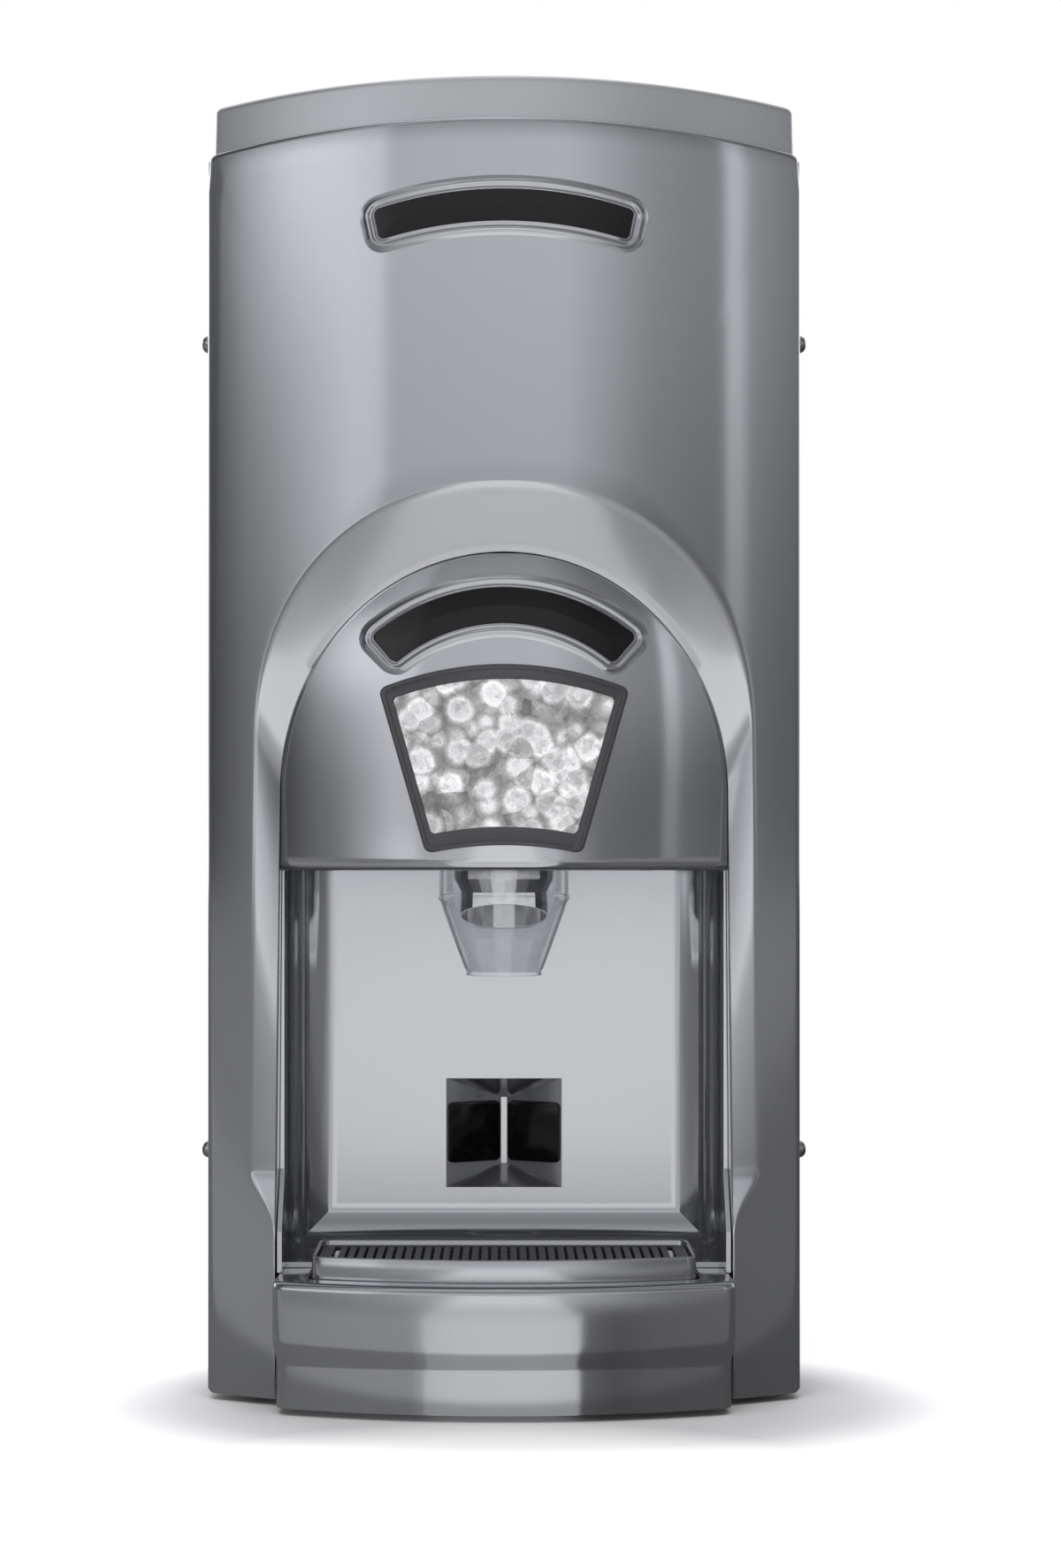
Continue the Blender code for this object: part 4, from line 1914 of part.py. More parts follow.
def float_tank():
    """The small water tank hung from the shelf, open at its top."""
    half_width, half_depth = TANK_WIDTH / 2, TANK_DEPTH / 2
    top = TANK_BOTTOM + TANK_HEIGHT
    made = add_object(
        "float_tank",
        box(
            (TANK_X - half_width, TANK_Y - half_depth, TANK_BOTTOM),
            (TANK_X + half_width, TANK_Y + half_depth, top),
        ),
        WHITE_PLASTIC,
    )
    inside = box(
        (TANK_X - half_width + TANK_WALL, TANK_Y - half_depth + TANK_WALL, TANK_BOTTOM + TANK_WALL),
        (TANK_X + half_width - TANK_WALL, TANK_Y + half_depth - TANK_WALL, top + OVERRUN),
    )
    boolean(made, inside)
    for x in (TANK_X - half_width + TANK_WALL, TANK_X + half_width - TANK_WALL):
        for y in (TANK_Y - half_depth + TANK_WALL, TANK_Y + half_depth - TANK_WALL):
            post = rod((x, y, top - TANK_WALL), (x, y, SHELF_TOP - FOLD - GAP), TANK_WALL, sides=10)
            boolean(made, post, "UNION")
    pivot_y = TANK_Y + half_depth - TANK_WALL * 4
    pivot_z = top - FLOAT_PIVOT_DROP
    pin = rod(
        (TANK_X - half_width + TANK_WALL / 2, pivot_y, pivot_z),
        (TANK_X + half_width - TANK_WALL / 2, pivot_y, pivot_z),
        FLOAT_ARM_RADIUS * 2 / 3,
        sides=10,
    )
    return boolean(made, pin, "UNION")


def float_ball():
    """The float on its arm, which swings about the pin across the tank."""
    pivot_y = TANK_Y + TANK_DEPTH / 2 - TANK_WALL * 4
    pivot_z = TANK_BOTTOM + TANK_HEIGHT - FLOAT_PIVOT_DROP
    float_y = pivot_y - FLOAT_ARM
    eye = FLOAT_ARM_RADIUS * 2
    shapes = [
        rod(
            (TANK_X, float_y, pivot_z - FLOAT_HEIGHT / 2),
            (TANK_X, float_y, pivot_z + FLOAT_HEIGHT / 2),
            FLOAT_RADIUS,
        ),
        rod((TANK_X, pivot_y - eye / 2, pivot_z), (TANK_X, float_y, pivot_z), FLOAT_ARM_RADIUS, sides=12),
        rod((TANK_X - eye, pivot_y, pivot_z), (TANK_X + eye, pivot_y, pivot_z), eye, sides=16),
    ]
    made = joined("float", shapes, WHITE_PLASTIC, (TANK_X, pivot_y, pivot_z))
    bore = rod(
        (TANK_X - eye * 2, pivot_y, pivot_z),
        (TANK_X + eye * 2, pivot_y, pivot_z),
        FLOAT_ARM_RADIUS * 2 / 3 + GAP,
        sides=12,
    )
    return boolean(made, bore)


def control_box():
    """The sheet box for the controls, closed by the side panel that it hangs on."""
    made = add_object(
        "control_box",
        box(
            (CONTROL_BOX_LEFT, CONTROL_BOX_FRONT, CONTROL_BOX_BOTTOM),
            (SIDE_INNER - GAP, CONTROL_BOX_BACK, CONTROL_BOX_TOP),
        ),
        ZINC_SHEET,
    )
    inside = box(
        (CONTROL_BOX_LEFT + FOLD, CONTROL_BOX_FRONT + FOLD, CONTROL_BOX_BOTTOM + FOLD),
        (SIDE_INNER + OVERRUN, CONTROL_BOX_BACK - FOLD, CONTROL_BOX_TOP - FOLD),
    )
    return boolean(made, inside)


def power_inlet():
    """The recessed inlet in the rear panel, with three flat pins."""
    face = CASE_BACK
    front = face - INLET_DEPTH
    half_width, half_height = INLET_HALF_WIDTH, INLET_HALF_HEIGHT
    wall = FOLD
    shapes = [
        box(
            (POWER_X - half_width, front, INLET_Z - half_height),
            (POWER_X + half_width, face + FOLD, INLET_Z + half_height),
        ),
        box(
            (POWER_X - half_width - INLET_FLANGE, face + GAP, INLET_Z - half_height - INLET_FLANGE),
            (POWER_X + half_width + INLET_FLANGE, face + FOLD, INLET_Z + half_height + INLET_FLANGE),
        ),
    ]
    made = joined("power_inlet", shapes, BLACK_PLASTIC)
    boolean(
        made,
        box(
            (POWER_X - half_width + wall, front + wall * 2, INLET_Z - half_height + wall),
            (POWER_X + half_width - wall, face + OVERRUN, INLET_Z + half_height - wall),
        ),
    )
    for x, z in ((-half_width / 2, -wall), (half_width / 2, -wall), (0, wall * 2)):
        pin = box(
            (POWER_X + x - wall / 2, front + wall, INLET_Z + z - wall),
            (POWER_X + x + wall / 2, face - wall * 2, INLET_Z + z + wall),
        )
        boolean(made, pin, "UNION")
    return made


def power_switch():
    """The switch's frame in the rear panel, and the rocker, tipped to its off side."""
    face = CASE_BACK
    frame_width = SWITCH_HALF_WIDTH + SWITCH_FRAME
    frame_height = SWITCH_HALF_HEIGHT + SWITCH_FRAME
    front = face - SWITCH_BODY_DEPTH
    shapes = [
        box(
            (POWER_X - frame_width, front, SWITCH_Z - frame_height),
            (POWER_X + frame_width, face + FOLD, SWITCH_Z + frame_height),
        ),
        box(
            (POWER_X - frame_width - FOLD, face + GAP, SWITCH_Z - frame_height - FOLD),
            (POWER_X + frame_width + FOLD, face + FOLD, SWITCH_Z + frame_height + FOLD),
        ),
    ]
    made = joined("switch_frame", shapes, BLACK_PLASTIC)
    clear = SWITCH_CLEAR
    boolean(
        made,
        box(
            (POWER_X - SWITCH_HALF_WIDTH - GAP, front + FOLD, SWITCH_Z - SWITCH_HALF_HEIGHT - clear),
            (POWER_X + SWITCH_HALF_WIDTH + GAP, face + OVERRUN, SWITCH_Z + SWITCH_HALF_HEIGHT + clear),
        ),
    )
    pivot_y = face - SWITCH_PROUD
    outline = (
        (face + SWITCH_PROUD + FOLD, -SWITCH_HALF_HEIGHT),
        (face + SWITCH_PROUD / 2, 0),
        (face + SWITCH_PROUD + FOLD, SWITCH_HALF_HEIGHT),
        (pivot_y - SWITCH_PROUD, SWITCH_HALF_HEIGHT / 2),
        (pivot_y - SWITCH_PROUD, -SWITCH_HALF_HEIGHT / 2),
    )
    rings = [
        [(POWER_X + side * SWITCH_HALF_WIDTH, y, SWITCH_Z + z) for y, z in outline] for side in (-1, 1)
    ]
    rocker = add_object(
        "switch_rocker", loft(rings), BLACK_PLASTIC, (POWER_X, pivot_y, SWITCH_Z), smooth=False
    )
    rocker.rotation_euler = (-SWITCH_TILT, 0, 0)


front_panel()
hood()
niche_liner()
sensor_windows()
sensor_board()
sill()
drip_tray()
drip_grille()
top_cover()
name_plate()
label_plate()
window_frame()
window_panel()
chute()
spout()
base_pan()
feet()
side_panels()
side_screws()
rear_panel()
fittings()
drain_hose()
bin_shelf()
ice_bin()
outlet_chamber()
bin_lid()
agitator()
gears()
agitator_motor()
outlet_flap()
flap_solenoid()
evaporator()
auger()
auger_gearmotor()
nugget_head()
ice_tube()
compressor()
condenser()
fan_shroud()
fan_motor()
fan_blade()
float_tank()
float_ball()
control_box()
power_inlet()
power_switch()
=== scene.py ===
import json
import math

import bmesh
import bpy
from mathutils import Matrix, Vector


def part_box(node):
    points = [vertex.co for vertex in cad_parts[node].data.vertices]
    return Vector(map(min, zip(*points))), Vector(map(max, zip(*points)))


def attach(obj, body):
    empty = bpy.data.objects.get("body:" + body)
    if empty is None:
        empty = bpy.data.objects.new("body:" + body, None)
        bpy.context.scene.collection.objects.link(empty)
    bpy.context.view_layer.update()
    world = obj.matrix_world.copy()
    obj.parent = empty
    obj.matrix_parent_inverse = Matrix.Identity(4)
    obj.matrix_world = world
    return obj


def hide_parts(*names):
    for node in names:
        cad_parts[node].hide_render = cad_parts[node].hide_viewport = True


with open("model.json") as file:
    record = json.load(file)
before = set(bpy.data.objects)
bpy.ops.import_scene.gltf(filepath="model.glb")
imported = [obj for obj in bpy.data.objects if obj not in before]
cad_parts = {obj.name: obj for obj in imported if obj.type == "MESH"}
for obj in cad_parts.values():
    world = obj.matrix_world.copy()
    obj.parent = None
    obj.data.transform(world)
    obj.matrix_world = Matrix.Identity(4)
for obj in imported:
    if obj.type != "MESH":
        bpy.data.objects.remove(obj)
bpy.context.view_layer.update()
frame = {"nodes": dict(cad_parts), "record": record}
scene = bpy.context.scene

# The camera stands about two metres off, level, at the height of the bay.
# The photograph's frame is the right-hand, upper part of what it sees.
PHOTO_LONG_SIDE = 1774
PHOTO_MIDDLE_X, PHOTO_MIDDLE_Y = 600, 887
LENS_AXIS_X, LENS_AXIS_Y = 570, 985
FOCAL_PIXELS = 3331
SENSOR_WIDTH = 36
CAMERA_Y = -1.9485
CAMERA_Z = 0.312
lens_data = bpy.data.cameras.new("camera")
lens_data.sensor_width = SENSOR_WIDTH
lens_data.lens = FOCAL_PIXELS / PHOTO_LONG_SIDE * SENSOR_WIDTH
lens_data.shift_x = (PHOTO_MIDDLE_X - LENS_AXIS_X) / PHOTO_LONG_SIDE
lens_data.shift_y = (LENS_AXIS_Y - PHOTO_MIDDLE_Y) / PHOTO_LONG_SIDE
camera = bpy.data.objects.new("camera", lens_data)
camera.location = (0, CAMERA_Y, CAMERA_Z)
camera.rotation_euler = (math.pi / 2, 0, 0)
scene.collection.objects.link(camera)
scene.camera = camera
scene.view_settings.view_transform = "Standard"


# The floor is a white sheet. To the camera it glows white, but round the object's front the glow
# gives way and its shadow shows, partly real and partly painted, on a darker painted colour, with a
# painted patch of light in front. In anything glossy it glows with a pattern: a bright card in
# front of the object, a quieter floor to both sides of it, and painted shade next to its base.
class Graph:
    """A node tree, with short ways to add nodes and feed them from sockets or plain values."""

    def __init__(self, tree):
        self.nodes, self.links = tree.nodes, tree.links

    def feed(self, socket, value):
        if isinstance(value, bpy.types.NodeSocket):
            self.links.new(value, socket)
        else:
            socket.default_value = value

    def add(self, kind, inputs=(), **settings):
        made = self.nodes.new(kind)
        for key, value in settings.items():
            setattr(made, key, value)
        for key, value in dict(inputs).items():
            self.feed(made.inputs[key], value)
        return made

    def place(self, frame_name="Object"):
        return self.add("ShaderNodeTexCoord").outputs[frame_name]

    def axes(self, place):
        return tuple(self.add("ShaderNodeSeparateXYZ", {0: place}).outputs)

    def math(self, operation, first, second=None):
        inputs = {0: first} if second is None else {0: first, 1: second}
        return self.add("ShaderNodeMath", inputs, operation=operation).outputs[0]

    def ramp(self, factor, stops):
        """A colour ramp from (position, grey or colour) stops."""
        made = self.add("ShaderNodeValToRGB", {"Fac": factor})
        ramp = made.color_ramp
        while len(ramp.elements) > 1:
            ramp.elements.remove(ramp.elements[-1])
        for k, (position, shade) in enumerate(stops):
            if isinstance(shade, (int, float)):
                shade = (shade, shade, shade)
            element = ramp.elements[0] if k == 0 else ramp.elements.new(position)
            element.position = position
            element.color = (*shade, 1)
        return made.outputs["Color"]

    def mix(self, first, second, factor=1, blend="MULTIPLY"):
        inputs = {"Fac": factor, "Color1": first, "Color2": second}
        return self.add("ShaderNodeMixRGB", inputs, blend_type=blend).outputs["Color"]

    def noise(self, scale, detail=2, place=None, output="Fac"):
        inputs = {"Vector": place or self.place(), "Scale": scale, "Detail": detail}
        return self.add("ShaderNodeTexNoise", inputs).outputs[output]

    def spread(self, value, low, high):
        inputs = {"Value": value, "To Min": low, "To Max": high}
        return self.add("ShaderNodeMapRange", inputs).outputs["Result"]

    def bump(self, height, strength, distance):
        inputs = {"Height": height, "Strength": strength, "Distance": distance}
        return self.add("ShaderNodeBump", inputs).outputs["Normal"]

    def shader_mix(self, factor, first, second):
        return self.add("ShaderNodeMixShader", {"Fac": factor, 1: first, 2: second}).outputs[0]

    def seen_plainly(self):
        """1 for what the camera sees, straight or through something clear, and 0 for the rest."""
        rays = self.add("ShaderNodeLightPath").outputs
        return self.math("MAXIMUM", rays["Is Camera Ray"], rays["Is Transmission Ray"])


def new_finish(name, values):
    """A material, its graph and its shader with these plain values."""
    made = bpy.data.materials.new(name)
    made.use_nodes = True
    graph = Graph(made.node_tree)
    surface = graph.nodes["Principled BSDF"]
    for key, value in values.items():
        graph.feed(surface.inputs[key], value)
    return made, graph, surface.inputs


def ellipse(graph, x, y, centre, halves):
    """0 in the middle of an ellipse and 1 on its outline, growing with the distance squared."""
    squares = []
    for value, middle, half in zip((x, y), centre, halves):
        share = graph.math("DIVIDE", graph.math("SUBTRACT", value, middle), half)
        squares.append(graph.math("MULTIPLY", share, share))
    return graph.math("ADD", *squares)


FLOOR_HALF = 40
CARD_START, CARD_SPREAD = 0.133, 0.268
CARD_FAR_SPREAD, CARD_FAR_HALF = 0.12, 0.095
CARD_LEAST_HALF = 0.004
CARD_REACH = 8.0
FAR_REACH = 5.0
MIRRORED_STRENGTH = 1.06
SHADOW_CENTRE, SHADOW_HALVES = (0.012, 0.22), (0.268, 0.19)
BRIGHT_CENTRE, BRIGHT_HALVES = (0, 0.40), (0.17, 0.12)
floor_finish, graph, surface = new_finish("floor_white", {"Roughness": 1, "Specular IOR Level": 0})
x, y, z = graph.axes(graph.place())
forward = graph.math("MULTIPLY", y, -1)
near_edge = graph.math("MULTIPLY", graph.math("SUBTRACT", forward, CARD_START), CARD_SPREAD)
far_edge = graph.math("ADD", graph.math("MULTIPLY", forward, CARD_FAR_SPREAD), CARD_FAR_HALF)
card_edge = graph.math("MAXIMUM", graph.math("MINIMUM", near_edge, far_edge), CARD_LEAST_HALF)
aside = graph.math("DIVIDE", graph.math("DIVIDE", x, card_edge), CARD_REACH)
across = graph.math("ADD", aside, 0.5)
near_card = graph.ramp(
    across,
    (
        (0.0, 0.34), (0.22, 0.40), (0.34, 0.42), (0.346, 0.52), (0.358, 0.54), (0.364, 0.88), (0.42, 0.97),
        (0.55, 1.0), (0.628, 0.96), (0.634, 0.14), (0.70, 0.08), (0.78, 0.12), (1.0, 0.14),
    ),
)
far_card = graph.ramp(
    across,
    (
        (0.0, 0.24), (0.28, 0.52), (0.345, 0.84), (0.38, 1.2),
        (0.62, 1.2), (0.65, 0.9), (0.70, 0.66), (1.0, 0.28),
    ),
)
far_off = graph.math("DIVIDE", forward, FAR_REACH)
distance = graph.ramp(far_off, ((0.0, 0.0), (0.16, 0.0), (0.32, 0.72), (0.7, 1.0)))
# Painted shade in the floor's reflection: darker next to the object's base, as a contact shadow, and a
# little darker in a band further out.
painted_shade_in_reflection = graph.ramp(
    graph.math("MULTIPLY", forward, 0.5),
    ((0.0, 0.5), (0.1675, 0.5), (0.176, 1.0), (0.375, 1.0), (0.47, 0.82), (0.68, 0.82), (0.80, 1.0)),
)
reflected_floor_with_painted_shade = graph.mix(graph.mix(near_card, far_card, distance, "MIX"), painted_shade_in_reflection)
mirrored = graph.add("ShaderNodeEmission", {"Color": reflected_floor_with_painted_shade, "Strength": MIRRORED_STRENGTH}).outputs[0]
# Painted shadow: in an ellipse round the object's front the floor's colour is darker.
shadow = ellipse(graph, x, forward, SHADOW_CENTRE, SHADOW_HALVES)
graph.feed(surface["Base Color"], graph.ramp(shadow, ((0.0, 0.74), (0.4, 0.74), (1.0, 0.88))))
# Painted light: a patch in front of the object glows brighter to the camera. The camera-only glow that makes
# the floor white is weaker in the shadow's ellipse: painted shade.
bright = ellipse(graph, x, forward, BRIGHT_CENTRE, BRIGHT_HALVES)
white_glow_with_painted_light_and_shade = graph.math(
    "ADD",
    graph.ramp(shadow, ((0.0, 0.0), (0.35, 0.0), (0.55, 0.06), (1.0, 0.5))),
    graph.ramp(bright, ((0.0, 0.36), (0.3, 0.31), (1.0, 0.0))),
)
glow_strength = graph.math("MULTIPLY", graph.seen_plainly(), white_glow_with_painted_light_and_shade)
glow = graph.add("ShaderNodeEmission", {"Color": (1, 1, 1, 1), "Strength": glow_strength}).outputs[0]
lit = graph.add("ShaderNodeAddShader", {0: graph.nodes["Principled BSDF"].outputs[0], 1: glow}).outputs[0]
glossy = graph.add("ShaderNodeLightPath").outputs["Is Glossy Ray"]
graph.feed(graph.nodes["Material Output"].inputs["Surface"], graph.shader_mix(glossy, lit, mirrored))

floor_mesh = bpy.data.meshes.new("floor")
floor_mesh.from_pydata(
    [(x, y, 0) for x, y in ((-1, -1), (1, -1), (1, 1), (-1, 1))],
    [],
    [(0, 1, 2, 3)],
)
floor_mesh.transform(Matrix.Scale(FLOOR_HALF, 4))
floor_mesh.materials.append(floor_finish)
floor = bpy.data.objects.new("floor", floor_mesh)
scene.collection.objects.link(floor)


# The world is white to the eye. To anything glossy it is the studio: a pale softbox to
# the left, a narrow strip to the right, mid grey between them, and dark at both sides.
STUDIO_STRENGTH = 1.2
STUDIO_TINT = (0.985, 0.995, 1.03)
AZIMUTH_STOPS = (
    (-180, 1.7), (-140, 1.7), (-116, 0.3), (-92, 0.06), (-70, 0.07), (-65, 0.24), (-60, 0.42), (-50, 0.66),
    (-42, 0.84), (-34, 1.0), (-27.5, 0.98), (-26, 0.68), (-18, 0.70), (0, 0.73), (14, 0.74),
    (24, 0.56), (33, 0.39), (42, 0.33), (50.5, 0.29), (51.5, 0.84), (55.5, 0.84), (57, 0.42),
    (66, 0.30), (90, 0.20), (112, 0.30), (140, 1.2), (180, 1.7),
)
ASIDE_STOPS = ((-180, 0), (-120, 1), (-55, 1), (-35, 0), (12, 0), (30, 1), (120, 1), (180, 0))
LEFT_STOPS = ((-180, 0), (-120, 1), (-50, 1), (-32, 0), (180, 0))
HEIGHT_STOPS = (
    (0.0, 0.6), (0.48, 0.60), (0.495, 1.15), (0.508, 1.15), (0.52, 0.70), (0.54, 0.76), (0.57, 0.87),
    (0.61, 1.02), (0.645, 1.02), (0.69, 0.55), (0.84, 0.42), (0.93, 0.6), (1.0, 0.85),
)
HEIGHT_STOPS_ASIDE = (
    (0.0, 0.45), (0.48, 0.42), (0.505, 0.38), (0.52, 0.40), (0.542, 0.48), (0.571, 0.72), (0.59, 0.92),
    (0.61, 1.02), (0.645, 1.02), (0.69, 0.5), (0.84, 0.42), (0.93, 0.6), (1.0, 0.85),
)
HIGH_UP_STOPS = ((0.0, 0.0), (0.583, 0.0), (0.60, 0.30), (0.614, 0.62), (0.66, 0.62), (0.70, 0.0))


def round_about(stops):
    """Turns degrees from the camera's side into places along a ramp."""
    return [(azimuth / 360 + 0.5, shade) for azimuth, shade in stops]


world = bpy.data.worlds.new("studio")
scene.world = world
world.use_nodes = True
graph = Graph(world.node_tree)
plain = graph.nodes["Background"]
graph.feed(plain.inputs["Color"], (1, 1, 1, 1))
graph.feed(plain.inputs["Strength"], 1)
x, y, z = graph.axes(graph.place("Generated"))
turn = graph.math("ARCTAN2", x, graph.math("MULTIPLY", y, -1))
share = graph.math("ADD", graph.math("DIVIDE", turn, math.tau), 0.5)
tinted_stops = [(azimuth, tuple(v * tint for tint in STUDIO_TINT)) for azimuth, v in AZIMUTH_STOPS]
by_azimuth = graph.ramp(share, round_about(tinted_stops))
rise = graph.math("ADD", graph.math("MULTIPLY", z, 0.5), 0.5)
to_side = graph.ramp(share, round_about(ASIDE_STOPS))
by_height = graph.mix(graph.ramp(rise, HEIGHT_STOPS), graph.ramp(rise, HEIGHT_STOPS_ASIDE), to_side, "MIX")
to_left = graph.ramp(share, round_about(LEFT_STOPS))
lifted = graph.math("ADD", graph.math("MULTIPLY", to_left, graph.ramp(rise, HIGH_UP_STOPS)), 1.0)
shades = graph.mix(by_azimuth, graph.mix(by_height, lifted))
studio = graph.add("ShaderNodeBackground", {"Color": shades, "Strength": STUDIO_STRENGTH}).outputs[0]
seen = graph.shader_mix(graph.seen_plainly(), studio, plain.outputs[0])
graph.feed(graph.nodes["World Output"].inputs["Surface"], seen)

# One broad, soft light from above and in front gives the forms and the real part of the floor's shadow.
sun_data = bpy.data.lights.new("overhead", "SUN")
sun_data.energy = 1.3
sun_data.angle = math.radians(60)
sun = bpy.data.objects.new("overhead", sun_data)
sun.rotation_euler = (math.radians(28), 0, math.radians(-6))
sun.visible_glossy = False
scene.collection.objects.link(sun)


# The front is one bowed plastic moulding in glossy metallic grey. A wide sloping
# band runs round the arched bay; hooks behind the side edges hold it to the case.
def shaded(colour, share):
    """A colour made darker or lighter."""
    return (*[min(1, c * share) for c in colour], 1)


def moulded_grey(name, colour, roughness, metallic, coat, relief=0.03):
    """A metallic grey moulding: fine flake in its colour, a slight unevenness in its gloss."""
    plain_values = {"Metallic": metallic, "Coat Weight": coat, "Coat Roughness": 0.05}
    made, graph, surface = new_finish(name, plain_values)
    tint = graph.mix(shaded(colour, 0.93), shaded(colour, 1.07), graph.noise(2600), "MIX")
    graph.feed(surface["Base Color"], tint)
    graph.feed(surface["Roughness"], graph.spread(graph.noise(14), roughness - 0.02, roughness + 0.03))
    graph.feed(surface["Normal"], graph.bump(graph.noise(320), relief, 0.0002))
    return made


GREY_GLOSS = moulded_grey("grey_gloss_plastic", (0.462, 0.470, 0.490), 0.10, 0.88, 0.15)
GREY_LINING = moulded_grey("grey_lining_plastic", (0.462, 0.470, 0.490), 0.10, 0.88, 0.15, relief=0.0)
GREY_SATIN = moulded_grey("grey_satin_plastic", (0.60, 0.61, 0.63), 0.36, 0.78, 0.0, relief=0.0)

GAP = 0.0003
BOW_CENTRE = 0.0625
PANEL_FRONT = -0.2615
PANEL_TOP = 0.7448
PANEL_TOP_DROP = 0.0105
PANEL_BOTTOM = 0.004
PANEL_WALL = 0.0025
PANEL_CORNER = 0.007
PANEL_EDGE_ROUND = 0.0035
CASE_HALF_WIDTH = 0.175
SIDE_FRONT = -0.203
ARCH_CENTRE_Z = 0.390
ARCH_HALF_WIDTH = 0.146
ARCH_POWER = 2.2
ARCH_FOOT_HALF_WIDTH = 0.151
ARCH_FOOT_Z = 0.1357
BAY_HALF_WIDTH = 0.131
BAY_ARCH_HEIGHT = 0.1385
BAY_ARCH_CENTRE_Z = 0.357
BAY_LOW_HALF_WIDTH = 0.1332
BAY_EDGE = 0.0012
BAY_MERGE_Z = 0.101
RECESS = 0.022
RECESS_LOW = 0.003
BAND_SLOPE = 0.30
BAND_LIP = 0.0010
BAND_EASE = 0.004
SILL_TOP = 0.077
TOP_STEPS, SIDE_STEPS, LOW_STEPS = 56, 44, 60


def quarter(steps):
    """The angles of a quarter turn in equal steps, both ends included."""
    return [k / steps * math.pi / 2 for k in range(steps + 1)]


def about(centre, radius, turn):
    return centre[0] + radius * math.cos(turn), centre[1] + radius * math.sin(turn)


def between(start, end, share):
    """The point at this share of the way from one point to another."""
    return tuple(a + (b - a) * share for a, b in zip(start, end))


def bow(x, front=PANEL_FRONT):
    """Where the bowed front lies at x."""
    return BOW_CENTRE - math.sqrt((BOW_CENTRE - front) ** 2 - x * x)


def shade(made, smooth_angle=32):
    """Smooth shading but for the edges sharper than this."""
    made.data.shade_smooth()
    made.data.set_sharp_from_angle(angle=math.radians(smooth_angle))
    return made


def add_piece(name, bm, finish, smooth_angle=32, recalculate=True):
    """Makes a piece from its faces, smooth but for its sharp edges."""
    if recalculate:
        bmesh.ops.recalc_face_normals(bm, faces=bm.faces)
    data = bpy.data.meshes.new(name)
    bm.to_mesh(data)
    bm.free()
    data.materials.append(finish)
    made = bpy.data.objects.new(name, data)
    scene.collection.objects.link(made)
    return shade(made, smooth_angle)


def hand_over(made, body, slot, *nodes):
    """Lets a piece ride on its body, in place of the nodes that it remakes; the slot is not used."""
    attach(made, body)
    if nodes:
        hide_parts(*nodes)
    return made


def skin(bm, rows, loop=False, turn_round=False):
    """Faces between rows of points of the same count; returns the rows of vertices."""
    made = [[bm.verts.new(point) for point in row] for row in rows]
    pairs = list(zip(made, made[1:]))
    if turn_round:
        pairs.append((made[-1], made[0]))
    for first, second in pairs:
        count = len(first)
        for i in range(count if loop else count - 1):
            j = (i + 1) % count
            bm.faces.new((first[i], first[j], second[j], second[i]))
    return made


def outward(bm, axis, sign):
    """Turns the faces so that most of their area looks this way along an axis."""
    bmesh.ops.recalc_face_normals(bm, faces=bm.faces)
    if sign * sum(face.normal[axis] * face.calc_area() for face in bm.faces) < 0:
        bmesh.ops.reverse_faces(bm, faces=bm.faces)
    return bm


def apply_modifiers(made):
    """Turns a piece's modifiers into plain faces."""
    graph = bpy.context.evaluated_depsgraph_get()
    data = bpy.data.meshes.new_from_object(made.evaluated_get(graph), depsgraph=graph)
    made.modifiers.clear()
    made.data = data
    return made


def thicken(made, thickness, smooth_angle):
    """Gives a skin a wall on its inner side."""
    wall = made.modifiers.new("wall", "SOLIDIFY")
    wall.thickness = thickness
    wall.offset = -1
    return shade(apply_modifiers(made), smooth_angle)


def arch_point(angle):
    """The band's outer edge over the arch's middle, a superellipse."""
    across, up = abs(math.cos(angle) / ARCH_HALF_WIDTH), abs(math.sin(angle) / ARCH_HALF_WIDTH)
    reach = (across**ARCH_POWER + up**ARCH_POWER) ** (-1 / ARCH_POWER)
    return about((0, ARCH_CENTRE_Z), reach, angle)


def bay_half_width(z):
    """Half the bay's width at this height."""
    if z >= BAY_ARCH_CENTRE_Z:
        rise = (z - BAY_ARCH_CENTRE_Z) / BAY_ARCH_HEIGHT
        return BAY_HALF_WIDTH * math.sqrt(max(0, 1 - rise * rise))
    share = (BAY_ARCH_CENTRE_Z - z) / (BAY_ARCH_CENTRE_Z - SILL_TOP)
    return BAY_HALF_WIDTH + (BAY_LOW_HALF_WIDTH - BAY_HALF_WIDTH) * min(1, share)


def panel_top(x):
    return PANEL_TOP - PANEL_TOP_DROP * (x / CASE_HALF_WIDTH) ** 2


def arch_outer(z):
    """The band's outer edge below the arch's middle."""
    if z >= ARCH_FOOT_Z:
        share = (ARCH_CENTRE_Z - z) / (ARCH_CENTRE_Z - ARCH_FOOT_Z)
        return ARCH_HALF_WIDTH + (ARCH_FOOT_HALF_WIDTH - ARCH_HALF_WIDTH) * share
    share = (ARCH_FOOT_Z - z) / (ARCH_FOOT_Z - BAY_MERGE_Z)
    low = BAY_LOW_HALF_WIDTH + BAY_EDGE
    eased = math.sin(min(1, share) * math.pi / 2) ** 1.4
    return ARCH_FOOT_HALF_WIDTH + (low - ARCH_FOOT_HALF_WIDTH) * eased


def band_depth(share, width, recess):
    """How deep the band lies, from 0 at its outer edge to 1 at the hood: shallow, then a rounded lip."""
    lip_share = max(0.5, 1 - BAND_LIP / width)
    ease = min(0.4, BAND_EASE / width)
    along = min(1, share / lip_share)
    fall = along * along / (2 * ease) if along < ease else along - ease / 2
    shallow = min(BAND_SLOPE * width, recess * 0.6)
    depth = shallow * fall
    if share > lip_share:
        turn = (share - lip_share) / (1 - lip_share)
        depth += (recess - shallow * (1 - ease / 2)) * (1 - math.sqrt(max(0, 1 - turn * turn)))
    return depth


